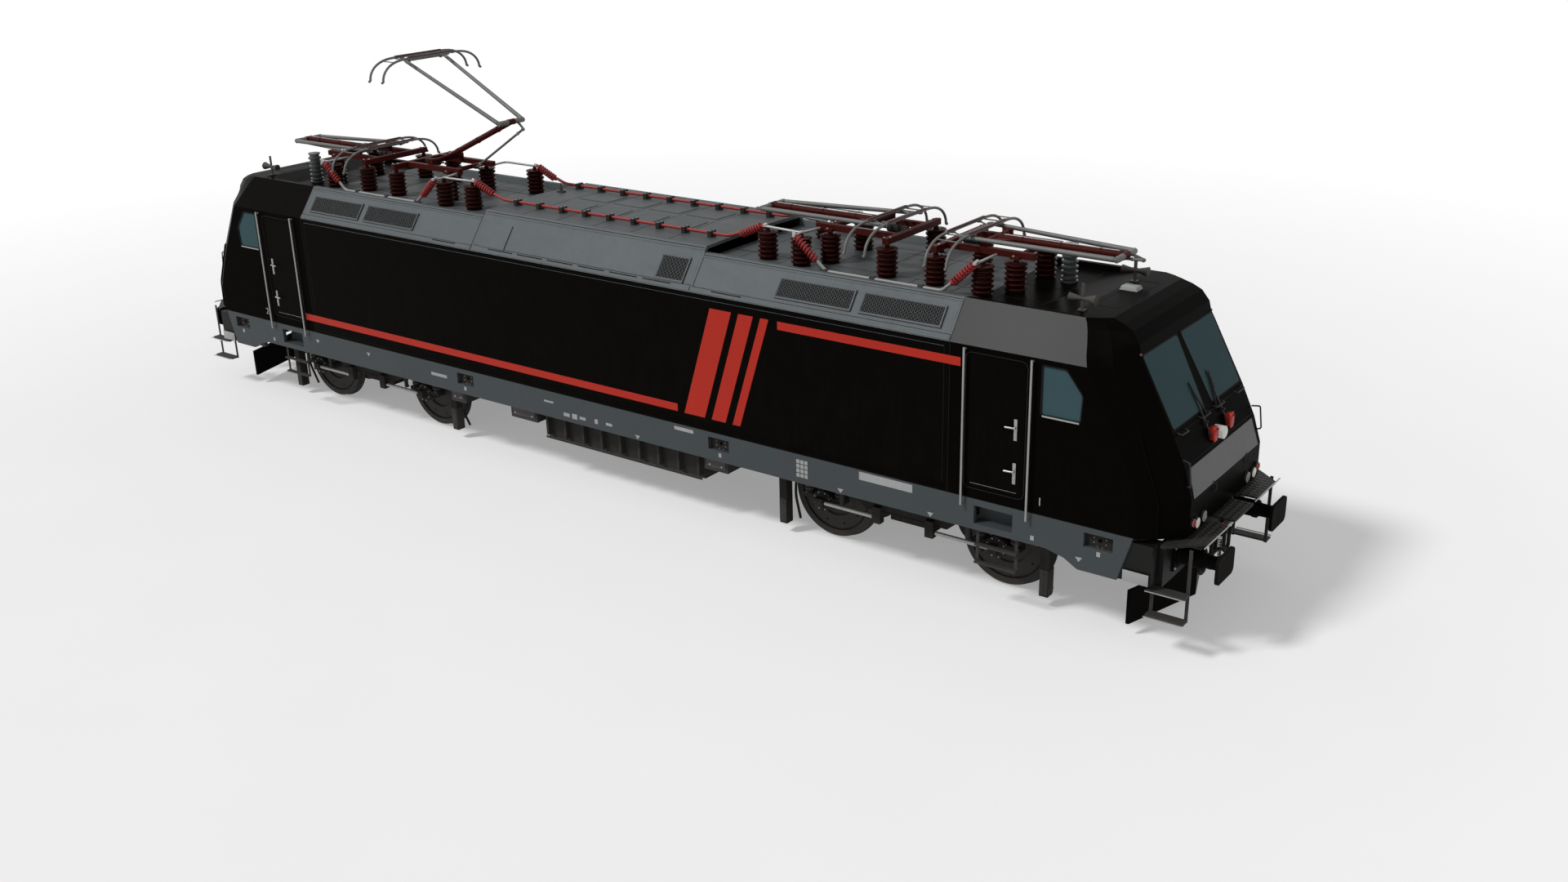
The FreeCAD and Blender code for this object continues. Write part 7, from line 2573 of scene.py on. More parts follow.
    def rod_ends(self, arm: Arm) -> bpy.types.Object:
        """Two adjusting nuts on the control rod.

        Args:
            arm: The pantograph.

        Returns:
            The finished piece.
        """
        shape = Shape()
        low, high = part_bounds(arm.body("control_rod"))
        foot = arm.foot() + Vector((arm.way * 0.600, 0, -0.102))
        y = (low.y + high.y) / 2
        ends = sorted((Vector((low.x, y, 0)), Vector((high.x, y, 0))),
                      key=lambda point: abs(point.x - foot.x))
        start = Vector((foot.x, y, foot.z))
        far_x = ends[1].x - math.copysign(0.024, ends[1].x - foot.x)
        far_z = high.z - 0.024
        way = (Vector((far_x, y, far_z)) - start).normalized()
        for distance in (0.10, 1.16):
            shape.lathe(start + way * distance, way, ((0, 0.022), (0.004, 0.026), (0.034, 0.026),
                                                     (0.038, 0.022)), 6)
        return shape.done(f"pantograph_{arm.name}_rod_nuts", arm.body("control_rod"),
                          "bright_metal", "pantograph_grey")

    def frame_bolts(self) -> bpy.types.Object:
        """Bolts on the ends of the base frames' bars.

        Returns:
            The finished piece.
        """
        item = Shape().cap((0, 0, 0), (0, 0, 1), 0.016, 0.014)
        places = []
        for arm in self.arms:
            foot = arm.foot()
            for x, half, level in ((-0.52, 0.600, -0.040), (0.49, 0.400, -0.090)):
                for side in (-1, 1):
                    for dx, dy in ((-0.025, -0.03), (0.025, 0.03)):
                        places.append((foot.x + arm.way * x + dx, side * half + dy,
                                       foot.z + level - 0.001))
        return SCATTER.spread("frame_bolts", item, places, "bright_metal", "body")

    def drives(self) -> bpy.types.Object:
        """Folded air bellows on the cross bar of each base frame.

        Returns:
            The finished piece.
        """
        shape = Shape()
        for arm in self.arms:
            foot = arm.foot()
            start = foot + Vector((-arm.way * 0.455, 0, -0.080))
            profile = [(0.0, 0.050)]
            for fold in range(3):
                profile += [(0.02 + fold * 0.08, 0.050), (0.06 + fold * 0.08, 0.062),
                            (0.085 + fold * 0.08, 0.050)]
            profile += [(0.30, 0.046)]
            shape.lathe(start, (arm.way, 0, 0), profile, 20)
            shape.rod(start + Vector((arm.way * 0.29, 0, 0)), start + Vector((arm.way * 0.40, 0, 0.0)),
                      0.014, 12)
        return shape.done("raising_bellows", "body", "hose_rubber", "clamp_black")


# ------------------------------------------------------------------ running gear
@dataclass(frozen=True)
class Bogie:
    """One bogie: its number and its sign of X."""

    number: int
    end: int

    def body(self) -> str:
        """The name of its body."""
        return f"bogie_{self.number}"

    def pivot(self) -> Vector:
        """The point that it turns about."""
        return joint_place(f"bogie_{self.number}_yaw")

    def axles(self) -> list[Vector]:
        """The middles of its two axles, the outer one first."""
        return [axle_middle(number) for number in ((1, 2) if self.end > 0 else (4, 3))]


def axle_middle(number: int) -> Vector:
    """The middle of an axle."""
    return joint_place(f"wheelset_{number}_roll")


@dataclass(frozen=True)
class RunningGear:
    """Wheel holes drawn as painted shade, rings, box covers, coils, guide sleeves, pipes, plates and
    dampers.
    """

    wheel_face: float = 0.815
    disc_face: float = 0.7975
    hole_circle: float = 0.445
    hole_shades: int = 10
    box_face: float = 1.110
    beam_middle: float = 1.03
    coil_reach: float = 0.245
    coil_radius: float = 0.075
    coil_span: tuple[float, float] = (0.718, 0.948)
    body_coil_reach: float = 0.235
    body_coil_radius: float = 0.114
    body_coil_span: tuple[float, float] = (0.908, 1.355)
    bolt_circle: float = 0.124
    rod_side: float = 1.17
    rod_span: tuple[float, float] = (0.475, 1.245)
    guard_span: tuple[float, float] = (1.935, 2.045)
    guard_levels: tuple[float, float] = (0.175, 0.520)
    edge_face: tuple[float, float] = (1.128, 1.140)
    edge_height: float = 0.012

    def build(self) -> list[bpy.types.Object]:
        """Dress wheels and bogies.

        Returns:
            The pieces made.
        """
        pieces = []
        for number in range(1, 5):
            pieces += self.wheels(number)
        for bogie in (Bogie(cab, end) for cab, end in ENDS):
            pieces += [self.covers(bogie), self.cover_bolts(bogie), self.coils(bogie),
                       self.rods(bogie), self.pipes(bogie), self.guard_plates(bogie),
                       self.frame_ribs(bogie), self.dampers(bogie)]
        return pieces

    def wheels(self, number: int) -> list[bpy.types.Object]:
        """Dark discs round each brake disc, which paint the shade inside its holes, and turned rings on
        the tyre.

        Args:
            number: The wheelset.

        Returns:
            The pieces.
        """
        centre, body = axle_middle(number), f"wheelset_{number}"
        hole_shades, rings = Shape(), Shape()
        for _, sign in SIDES:
            for index in range(self.hole_shades):
                angle = math.tau * index / self.hole_shades
                place = centre + Vector((self.hole_circle * math.cos(angle), sign * self.disc_face,
                                         self.hole_circle * math.sin(angle)))
                # Painted shade: a raised dark disc stands for each hole.
                hole_shades.cap(place - Vector((0, sign * 0.002, 0)), (0, sign, 0), 0.020, 0.004)
            for radius, level in ((0.563, self.wheel_face), (0.604, self.wheel_face),
                                  (0.345, self.disc_face), (0.505, self.disc_face)):
                face = centre + Vector((0, sign * (level - 0.002), 0))
                rings.tube(arc(face, (1, 0, 0), (0, 0, 1), radius, 0, 360, 60), 0.005, 6)
        return [hole_shades.done(f"wheelset_{number}_holes", body, "joint_and_shade_dark", "wheel_steel"),
                rings.done(f"wheelset_{number}_rings", body, "wheel_grey", "wheel_steel")]

    def covers(self, bogie: Bogie) -> bpy.types.Object:
        """Stepped covers on the axle boxes.

        Args:
            bogie: The bogie.

        Returns:
            The finished piece.
        """
        shape = Shape()
        for axle in bogie.axles():
            for _, sign in SIDES:
                start = Vector((axle.x, sign * (self.box_face - 0.002), axle.z))
                shape.lathe(start, (0, sign, 0), ((0.0, 0.148), (0.010, 0.146), (0.014, 0.138),
                                                  (0.016, 0.105), (0.026, 0.100), (0.030, 0.0)), 36)
        return shape.done(f"{bogie.body()}_box_covers", bogie.body(), "running_gear")

    def cover_bolts(self, bogie: Bogie) -> bpy.types.Object:
        """Eight bolts round each axle-box cover.

        Args:
            bogie: The bogie.

        Returns:
            The finished piece.
        """
        shape = Shape()
        for axle in bogie.axles():
            for _, sign in SIDES:
                for index in range(8):
                    angle = math.tau * (index + 0.5) / 8
                    place = Vector((axle.x + self.bolt_circle * math.cos(angle),
                                    sign * (self.box_face + 0.010),
                                    axle.z + self.bolt_circle * math.sin(angle)))
                    shape.cap(place, (0, sign, 0), 0.011, 0.012)
                for dx in (-0.27, -0.13, 0.13, 0.27):
                    shape.cap((axle.x + dx, sign * (self.box_face - 0.012), axle.z + 0.056), (0, 0, 1),
                              0.014, 0.012)
        return shape.done(f"{bogie.body()}_cover_bolts", bogie.body(), "bright_metal", "running_gear")

    def coils(self, bogie: Bogie) -> bpy.types.Object:
        """Wound springs round the plain cores over the axle boxes and under the body.

        Args:
            bogie: The bogie.

        Returns:
            The finished piece.
        """
        shape = Shape()
        pivot = bogie.pivot()
        for _, sign in SIDES:
            y = sign * self.beam_middle
            for axle in bogie.axles():
                for way in (-1, 1):
                    self.coil(shape, Vector((axle.x + way * self.coil_reach, y, 0)), self.coil_radius,
                              self.coil_span, 4.5, 0.012)
            for way in (-1, 1):
                self.coil(shape, Vector((pivot.x + way * self.body_coil_reach, y, 0)),
                          self.body_coil_radius, self.body_coil_span, 6.5, 0.019)
        return shape.done(f"{bogie.body()}_coils", bogie.body(), "spring_steel", "running_gear",
                          smooth=60.0)

    @staticmethod
    def coil(shape: Shape, foot: Vector, radius: float, span: tuple[float, float], turns: float,
             wire: float) -> None:
        """Wind one coil round an upright axis.

        Args:
            shape: The shape that it joins.
            foot: Place of the axis; its height isn't read.
            radius: Radius of the core it is wound on.
            span: Lowest and highest level.
            turns: Number of turns.
            wire: Radius of the wire.
        """
        low, high = span[0] + wire, span[1] - wire
        steps = int(turns * 14)
        path = []
        for index in range(steps + 1):
            turn = math.tau * turns * index / steps
            path.append(Vector((foot.x + radius * math.cos(turn), foot.y + radius * math.sin(turn),
                                low + (high - low) * index / steps)))
        shape.tube(path, wire, 6)

    def rods(self, bogie: Bogie) -> bpy.types.Object:
        """Bright sleeves on the guide rods.

        Args:
            bogie: The bogie.

        Returns:
            The finished piece.
        """
        shape = Shape()
        pivot = bogie.pivot()
        for axle in bogie.axles():
            way = math.copysign(1, axle.x - pivot.x)
            for _, sign in SIDES:
                start, last = (Vector((pivot.x + way * reach, sign * self.rod_side, axle.z))
                               for reach in self.rod_span)
                shape.rod(start, last, 0.0275, 16)
        return shape.done(f"{bogie.body()}_guide_sleeves", bogie.body(), "bus_metal", "running_gear")

    def pipes(self, bogie: Bogie) -> bpy.types.Object:
        """Sand pipes that end near the rail, and a pipe along each beam.

        Args:
            bogie: The bogie.

        Returns:
            The finished piece.
        """
        shape = Shape()
        pivot = bogie.pivot()
        for axle in bogie.axles():
            way = math.copysign(1, axle.x - pivot.x)
            for _, sign in SIDES:
                x = axle.x + way * 0.605
                path = [Vector((x + way * shift, sign * y, z)) for shift, y, z in
                        ((-0.03, 0.900, 0.945), (-0.01, 0.905, 0.52), (0.02, 0.76, 0.11))]
                shape.tube(filleted(path, 0.10, 5), 0.019, 12)
                shape.lathe(path[0] + Vector((0, 0, -0.02)), (0, 0, -1),
                            ((0, 0.045), (0.06, 0.045), (0.09, 0.024)), 16)
        for _, sign in SIDES:
            y = sign * 1.142
            for level, radius in ((1.06, 0.011), (1.095, 0.008)):
                path = [Vector((pivot.x + x, y, level - drop)) for x, drop in
                        ((-1.90, 0), (-0.86, 0), (-0.58, 0.23), (0.58, 0.23), (0.86, 0), (1.90, 0))]
                shape.tube(filleted(path, 0.06, 4), radius, 10)
        return shape.done(f"{bogie.body()}_pipes", bogie.body(), "running_gear")

    def guard_plates(self, bogie: Bogie) -> bpy.types.Object:
        """Pale wear plates with bolts at the foot of each rail guard.

        Args:
            bogie: The bogie.

        Returns:
            The finished piece.
        """
        shape = Shape()
        pivot = bogie.pivot()
        for way in (-1, 1):
            for _, sign in SIDES:
                low, high = self.guard_levels
                first, last = sorted(pivot.x + way * reach for reach in self.guard_span)
                inner, outer = ordered(sign, 1.098, 1.108)
                shape.block((first, inner, low), (last, outer, high), 0.003)
                near, far = ordered(sign, 0.965, 1.095)
                face = pivot.x + way * (self.guard_span[1] + 0.005)
                front, back = sorted((face - way * 0.002, face + way * 0.008))
                shape.block((front, near, low), (back, far, high), 0.003)
                for level in (0.24, 0.45):
                    shape.cap(((first + last) / 2, sign * 1.106, level), (0, sign, 0), 0.014, 0.010)
        return shape.done(f"{bogie.body()}_guard_plates", bogie.body(), "box_grey", "running_gear")

    def frame_ribs(self, bogie: Bogie) -> bpy.types.Object:
        """Flange strips along the beams' edges and stops over the axle boxes.

        Args:
            bogie: The bogie.

        Returns:
            The finished piece.
        """
        shape = Shape()
        pivot = bogie.pivot()
        for _, sign in SIDES:
            inner, outer = ordered(sign, *self.edge_face)
            for way in (-1, 1):
                for level in (0.956, 1.118):
                    first, last = sorted((pivot.x + way * 0.92, pivot.x + way * 1.93))
                    shape.block((first, inner, level), (last, outer, level + self.edge_height))
            for level in (0.726, 0.888):
                shape.block((pivot.x - 0.52, inner, level),
                            (pivot.x + 0.52, outer, level + self.edge_height))
            near, far = ordered(sign, 1.0, 1.10)
            for axle in bogie.axles():
                shape.block((axle.x - 0.055, near, 0.885), (axle.x + 0.055, far, 0.955), 0.006)
        return shape.done(f"{bogie.body()}_beam_edges", bogie.body(), "running_gear")

    def dampers(self, bogie: Bogie) -> bpy.types.Object:
        """Short upright dampers beside the inner springs.

        Args:
            bogie: The bogie.

        Returns:
            The finished piece.
        """
        shape = Shape()
        for axle in bogie.axles():
            for _, sign in SIDES:
                inward = math.copysign(0.36, bogie.pivot().x - axle.x)
                foot = Vector((axle.x + inward, sign * 1.165, 0.700))
                shape.lathe(foot, (0, 0, 1), ((0, 0.020), (0.010, 0.032), (0.180, 0.032),
                                              (0.186, 0.039), (0.360, 0.039), (0.372, 0.020)), 16)
                for level in (0.010, 0.350):
                    shape.rod(foot + Vector((0, -sign * 0.045, level)),
                              foot + Vector((0, sign * 0.022, level)), 0.018, 12)
        return shape.done(f"{bogie.body()}_dampers", bogie.body(), "clamp_black", "running_gear")


# ------------------------------------------------------------------ underfloor
@dataclass(frozen=True)
class Underfloor:
    """Tank flanges, box doors with latches, pipes and the bolts of the lifting sockets."""

    socket_bolts: int = 8

    def build(self) -> list[bpy.types.Object]:
        """Dress what hangs under the body between and beside the bogies.

        Returns:
            The pieces made.
        """
        return [self.tank_edges(), self.doors(), self.latches(), self.pipes(), self.socket_rims()]

    def tank_edges(self) -> bpy.types.Object:
        """Bolted flange round the tank and its foot strips.

        Returns:
            The finished piece.
        """
        low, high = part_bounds("transformer")
        shape = Shape()
        for _, sign in SIDES:
            plate = high.y - 0.030
            inner, outer = ordered(sign, plate - 0.004, plate + 0.016)
            shape.block((low.x + 0.01, inner, high.z - 0.240), (high.x - 0.01, outer, high.z - 0.215))
            shape.block((low.x + 0.01, inner, low.z + 0.004), (high.x - 0.01, outer, low.z + 0.030))
            count = 30
            for index in range(count):
                x = low.x + 0.06 + (high.x - low.x - 0.12) * index / (count - 1)
                shape.cap((x, sign * (plate + 0.012), high.z - 0.195), (0, sign, 0), 0.010, 0.012)
        return shape.done("tank_flanges", "body", "tank_grey", "box_grey")

    @staticmethod
    def boxes() -> list[tuple[Vector, Vector]]:
        """Corners of each underfloor box.

        Returns:
            Two corners for each box.
        """
        found = []
        for low_x, high_x in ((1.9, 3.0), (-2.0, -0.9), (-3.2, -2.3)):
            found.append(part_box("underfloor_boxes", lambda point: low_x < point.x < high_x))
        return found

    def doors(self) -> bpy.types.Object:
        """Pale covers on the outer faces of the boxes.

        Returns:
            The finished piece.
        """
        shape = Shape()
        for low, high in self.boxes():
            for _, sign in SIDES:
                inner, outer = ordered(sign, high.y - 0.003, high.y + 0.010)
                shape.block((low.x + 0.04, inner, low.z + 0.05), (high.x - 0.04, outer, high.z - 0.22),
                            0.004)
        return shape.done("box_doors", "body", "door_grey", "box_grey")

    def latches(self) -> bpy.types.Object:
        """Hinges and latches on the covers.

        Returns:
            The finished piece.
        """
        shape = Shape()
        for low, high in self.boxes():
            for _, sign in SIDES:
                face = high.y + 0.008
                for x in (low.x + 0.10, high.x - 0.10):
                    inner, outer = ordered(sign, face, face + 0.010)
                    shape.block((x - 0.018, inner, high.z - 0.262), (x + 0.018, outer, high.z - 0.222),
                                0.002)
                    shape.cap((x, sign * face, low.z + 0.085), (0, sign, 0), 0.016, 0.010)
        return shape.done("box_latches", "body", "bright_metal", "box_grey")

    def pipes(self) -> bpy.types.Object:
        """Air pipes along the underside, from box to box.

        Returns:
            The finished piece.
        """
        shape = Shape()
        for sign in (-1, 1):
            for shift, radius in ((0.0, 0.016), (0.05, 0.011)):
                y, level = sign * (1.20 - shift), 1.335 - shift * 0.3
                for start, last in ((-2.30, -1.66), (2.02, 2.18)):
                    shape.tube(((start, y, level), (last, y, level)), radius, 10)
        return shape.done("underfloor_pipes", "body", "running_gear")

    def socket_rims(self) -> bpy.types.Object:
        """Bolts round the lifting sockets, with their bores left open.

        Returns:
            The finished piece.
        """
        shape = Shape()
        for end in (1, -1):
            for x_low, x_high in ((7.6, 8.6), (2.0, 3.1)):
                first, last = ordered(end, x_low, x_high)
                for _, sign in SIDES:
                    low, high = part_box("lifting_sockets", lambda point: first < point.x < last
                                         and point.y * sign > 0)
                    middle = (low + high) / 2
                    face = max(abs(low.y), abs(high.y))
                    for index in range(self.socket_bolts):
                        angle = math.tau * (index + 0.5) / self.socket_bolts
                        reach = (high.z - low.z) / 2 - 0.018
                        shape.cap((middle.x + reach * math.cos(angle), sign * (face - 0.002),
                                   middle.z + reach * math.sin(angle)), (0, sign, 0), 0.008, 0.008)
        return shape.done("socket_bolts", "body", "bright_metal", "running_gear")


# ------------------------------------------------------------------ ends
BUFFER_LEVEL = sum(corner.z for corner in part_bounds("buffers")) / 2


@dataclass(frozen=True)
class Ends:
    """Buffer collars, coupling screws, brake taps and cocks, nosings, bolts and sockets."""

    beam_face: float = 8.885
    buffer_side: float = 0.875
    bolt_square: float = 0.130
    thread_turns: int = 14
    thread_steps: int = 10
    cock_side: float = 0.300
    cock_level: float = 0.985
    plough_bolts: int = 15
    plough_pitch: float = 0.15
    socket_places: tuple[tuple[float, float], ...] = ((-0.48, 1.14), (0.48, 1.14), (0.56, 0.985),
                                                      (-0.56, 0.985))

    def build(self) -> list[bpy.types.Object]:
        """Dress both ends below the cabs.

        Returns:
            The pieces made.
        """
        return [self.collars(), self.buffer_bolts(), self.screw(), self.taps(), self.fittings(),
                self.step_edges(), self.plough_ribs(), self.sockets()]

    def collars(self) -> bpy.types.Object:
        """Stepped collars on the buffer sleeves.

        Returns:
            The finished piece.
        """
        shape = Shape()
        for end in (1, -1):
            for _, sign in SIDES:
                start = Vector((end * self.beam_face, sign * self.buffer_side, BUFFER_LEVEL))
                shape.lathe(start, (end, 0, 0), ((0.0, 0.104), (0.0, 0.122), (0.030, 0.122),
                                                 (0.045, 0.1065), (0.240, 0.1065), (0.246, 0.116),
                                                 (0.300, 0.116), (0.306, 0.104)), 40)
                shape.lathe(start + Vector((end * 0.305, 0, 0)), (end, 0, 0),
                            ((0.0, 0.080), (0.002, 0.092), (0.020, 0.092), (0.026, 0.084)), 32)
        return shape.done("buffer_collars", "body", "buffer_grey")

    def buffer_bolts(self) -> bpy.types.Object:
        """Four bolts on each buffer flange.

        Returns:
            The finished piece.
        """
        item = Shape()
        item.cap((-0.012, 0, 0), (1, 0, 0), 0.019, 0.026)
        places = []
        for end, sign in CORNERS:
            for y in (-self.bolt_square, self.bolt_square):
                for z in (-self.bolt_square, self.bolt_square):
                    places.append((end * (self.beam_face + 0.003), sign * self.buffer_side + y,
                                   BUFFER_LEVEL + z))
        return SCATTER.spread("buffer_bolts", item, places, "bright_metal", "body", "buffer_grey")

    def screw(self) -> bpy.types.Object:
        """Thread, boss and handle of each screw coupling.

        Returns:
            The finished piece.
        """
        shape = Shape()
        low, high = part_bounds("screw_couplings")
        for end in (1, -1):
            x = end * (high.x - 0.075)
            top, bottom = BUFFER_LEVEL - 0.09, low.z + 0.12
            middle = (top + bottom) / 2
            path = []
            steps = self.thread_turns * self.thread_steps
            for index in range(steps + 1):
                turn = math.tau * index / self.thread_steps
                path.append(Vector((x + 0.021 * math.cos(turn), 0.021 * math.sin(turn),
                                    top + (bottom - top) * index / steps)))
            shape.tube(path, 0.005, 5)
            shape.ball((x, 0, middle), 0.034, 0.7)
            shape.rod((x, 0, middle), (x, 0.15, middle - 0.03), 0.010, 10)
            shape.ball((x, 0.155, middle - 0.031), 0.020)
        return shape.done("coupling_screws", "body", "running_gear")

    def taps(self) -> bpy.types.Object:
        """Red handles on the brake pipes' cocks.

        Returns:
            The finished piece.
        """
        shape = Shape()
        for end, sign in CORNERS:
            place = Vector((end * (self.beam_face + 0.030), sign * self.cock_side, self.cock_level))
            shape.tube(filleted([place, place + Vector((0, sign * 0.035, 0.010)),
                                 place + Vector((end * 0.02, sign * 0.125, 0.030))], 0.015, 3),
                       0.0085, 8)
            shape.ball(place + Vector((end * 0.02, sign * 0.128, 0.031)), 0.013)
        return shape.done("brake_taps", "body", "tap_red", "stripe_red")

    def fittings(self) -> bpy.types.Object:
        """Cock bodies of the brake pipes.

        Returns:
            The finished piece.
        """
        shape = Shape()
        for end, sign in CORNERS:
            place = Vector((end * (self.beam_face - 0.017), sign * self.cock_side, self.cock_level))
            shape.lathe(place - Vector((end * 0.01, 0, 0)), (end, 0, 0),
                        ((0.0, 0.030), (0.012, 0.040), (0.030, 0.040), (0.036, 0.026),
                         (0.070, 0.026), (0.072, 0.020)), 18)
        return shape.done("brake_cocks", "body", "running_gear")

    def step_edges(self) -> bpy.types.Object:
        """Rolled nosings on the footboards and ladder treads.

        Returns:
            The finished piece.
        """
        shape = Shape()
        _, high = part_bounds("footboards")
        for end in (1, -1):
            x = end * (high.x - 0.004)
            for _, sign in SIDES:
                shape.rod((x, sign * 0.36, high.z - 0.004), (x, sign * (high.y - 0.20), high.z - 0.004),
                          0.009, 8)
        foot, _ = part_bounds("ladders")
        for end, sign in CORNERS:
            y = sign * (-foot.y - 0.002)
            for level in (foot.z + 0.030, foot.z + 0.360):
                first, last = ordered(end, -foot.x - 0.47, -foot.x - 0.01)
                shape.rod((first, y, level), (last, y, level), 0.008, 8)
        return shape.done("step_nosings", "body", "bright_metal", "box_grey")

    def plough_ribs(self) -> bpy.types.Object:
        """Bolts along the top of each plough blade.

        Returns:
            The finished piece.
        """
        item = Shape()
        item.ball((0, 0, 0), 0.013)
        places = []
        _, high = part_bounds("ploughs")
        for end in (1, -1):
            for index in range(self.plough_bolts):
                y = (index - self.plough_bolts // 2) * self.plough_pitch
                x = end * (high.x - abs(y) / 1.18 * 0.36)
                places.append((x, y, high.z - 0.21 if abs(y) > 0.5 else high.z - 0.23))
        return SCATTER.spread("plough_bolts", item, places, "bright_metal", "body", "body_black")

    def sockets(self) -> bpy.types.Object:
        """Jumper sockets with lids under the buffer beam's edge.

        Returns:
            The finished piece.
        """
        shape = Shape()
        for end in (1, -1):
            for y, level in self.socket_places:
                first, last = ordered(end, 8.855, 8.925)
                shape.block((first, y - 0.045, level - 0.045), (last, y + 0.045, level + 0.045), 0.008)
                shape.lathe((end * 8.920, y, level), (end, 0, 0),
                            ((0, 0.038), (0.012, 0.040), (0.020, 0.034), (0.022, 0.0)), 20)
        return shape.done("jumper_sockets", "body", "clamp_black")


# ------------------------------------------------------------------ cab interiors
@dataclass(frozen=True)
class CabInterior:
    """Padded seats with frames, and desks with screens, dials and levers."""

    seat_side: float = 0.52
    # half length, half width and half thickness of each pad
    cushion: tuple[float, float, float] = (0.232, 0.226, 0.060)
    backrest: tuple[float, float, float] = (0.335, 0.222, 0.058)
    head_rest: tuple[float, float, float] = (0.052, 0.130, 0.042)
    # distance along and level of each pad's middle
    cushion_place: tuple[float, float] = (7.400, 1.920)
    backrest_place: tuple[float, float] = (7.158, 2.285)
    head_rest_place: tuple[float, float] = (7.165, 2.578)
    channels: tuple[float, ...] = (-0.36, 0.36)
    screen_sides: tuple[float, ...] = (-0.72, -0.40, 0.40, 0.72)
    console_sides: tuple[float, ...] = (-0.56, 0.56)
    lever_spread: float = 0.21
    hood: tuple[tuple[float, float], ...] = ((8.30, 2.245), (8.56, 2.270), (8.53, 2.440),
                                             (8.45, 2.470), (8.395, 2.415), (8.33, 2.290))

    def build(self) -> list[bpy.types.Object]:
        """Furnish both cabs.

        Returns:
            The pieces made.
        """
        return [self.seats(), self.frames(), self.screens(), self.consoles(), self.dials(),
                self.levers(), self.head_rests()]

    def pad(self, shape: Shape, middle: Vector, axes: Sequence[Vector], size: Sequence[float],
            channels: Sequence[float]) -> None:
        """A crowned, closed cushion with drawn-in sides, sewn channels and piping.

        Args:
            shape: The shape that it joins.
            middle: Its middle.
            axes: Its length, its width and its thickness, as unit vectors.
            size: Half length, half width and half thickness.
            channels: Places of the sewn channels along its width, from -1 to 1.
        """
        steps = 32
        shares = [-math.cos(math.pi * step / steps) for step in range(steps + 1)]
        for face, rise, sewn in ((1, 1.0, 1), (-1, 0.85, 0)):
            rings = []
            for v in shares:
                points = []
                for u in shares:
                    crown = ((1 - abs(u) ** 5) * (1 - abs(v) ** 5)) ** 0.38
                    groove = sum(math.exp(-((v - place) / 0.035) ** 2) for place in channels)
                    thick = size[2] * crown * rise * (1 - 0.20 * groove * sewn)
                    thick += size[2] * 0.14 * (1 - u * u) * (1 - v * v) * sewn
                    pull_u = 1 - 0.045 * (1 - v * v) * abs(u) ** 3
                    pull_v = 1 - 0.055 * (1 - u * u) * abs(v) ** 3
                    points.append(middle + axes[0] * size[0] * u * pull_u
                                  + axes[1] * size[1] * v * pull_v + axes[2] * face * thick * 0.88)
                rings.append(shape.ring(points))
            for first, second in zip(rings, rings[1:]):
                for index in range(steps):
                    shape.face((first[index], first[index + 1], second[index + 1], second[index]))
        border = []
        for step in range(64):
            turn = math.tau * step / 64
            u = math.copysign(abs(math.cos(turn)) ** 0.25, math.cos(turn))
            v = math.copysign(abs(math.sin(turn)) ** 0.25, math.sin(turn))
            pull_u = 1 - 0.045 * (1 - v * v)
            pull_v = 1 - 0.055 * (1 - u * u)
            border.append(middle + axes[0] * size[0] * u * pull_u * 0.995
                          + axes[1] * size[1] * v * pull_v * 0.995)
        border.append(border[0].copy())
        shape.tube(border, 0.006, 6)

    def places(self) -> Iterable[tuple[int, float]]:
        """The end and the side of each seat.

        Returns:
            The end and the side of each seat.
        """
        for end, sign in CORNERS:
            yield end, sign * self.seat_side

    def seats(self) -> bpy.types.Object:
        """Seat cushions and backrests.

        Returns:
            The finished piece.
        """
        shape = Shape()
        for end, y in self.places():
            ahead, side, up = Vector((end, 0, 0)), Vector((0, 1, 0)), Vector((0, 0, 1))
            for axes, size, (x, z) in (((ahead, side, up), self.cushion, self.cushion_place),
                                       ((up, side, ahead), self.backrest, self.backrest_place)):
                self.pad(shape, Vector((end * x, y, z)), axes, size, self.channels)
        bmesh.ops.remove_doubles(shape.mesh, verts=shape.mesh.verts, dist=0.0002)
        piece = shape.done("seat_cushions", "body", "seat_cloth", smooth=60.0)
        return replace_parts(piece, "driver_seats")

    def head_rests(self) -> bpy.types.Object:
        """A small padded rest on top of each backrest.

        Returns:
            The finished piece.
        """
        shape = Shape()
        for end, y in self.places():
            x, z = self.head_rest_place
            self.pad(shape, Vector((end * x, y, z)),
                     (Vector((0, 0, 1)), Vector((0, 1, 0)), Vector((end, 0, 0))), self.head_rest, ())
        bmesh.ops.remove_doubles(shape.mesh, verts=shape.mesh.verts, dist=0.0002)
        piece = shape.done("seat_head_rests", "body", "seat_cloth", smooth=60.0)
        return piece

    def frames(self) -> bpy.types.Object:
        """Pans, back shells, arm rests and pedestals.

        Returns:
            The finished piece.
        """
        shape = Shape()
        for end, y in self.places():
            first, last = ordered(end, 7.180, 7.600)
            shape.block((first, y - 0.195, 1.848), (last, y + 0.195, 1.872), 0.006)
            shape.lathe((end * 7.375, y, 1.468), (0, 0, 1), ((0, 0.120), (0.02, 0.120), (0.035, 0.060),
                        (0.200, 0.055), (0.205, 0.075), (0.330, 0.085), (0.385, 0.110)), 24)
            first, last = ordered(end, 7.092, 7.108)
            shape.block((first, y - 0.190, 1.990), (last, y + 0.190, 2.560), 0.006)
            for side in (-1, 1):
                arm, stay = y + side * 0.222, y + side * 0.17
                shape.tube(filleted(((end * 7.110, arm, 2.10), (end * 7.16, arm, 2.135),
                                     (end * 7.42, arm, 2.135)), 0.03), 0.016, 10)
                shape.tube(((end * 7.20, stay, 1.86), (end * 7.105, stay, 2.02)), 0.014, 10)
        return shape.done("seat_frames", "body", "clamp_black")

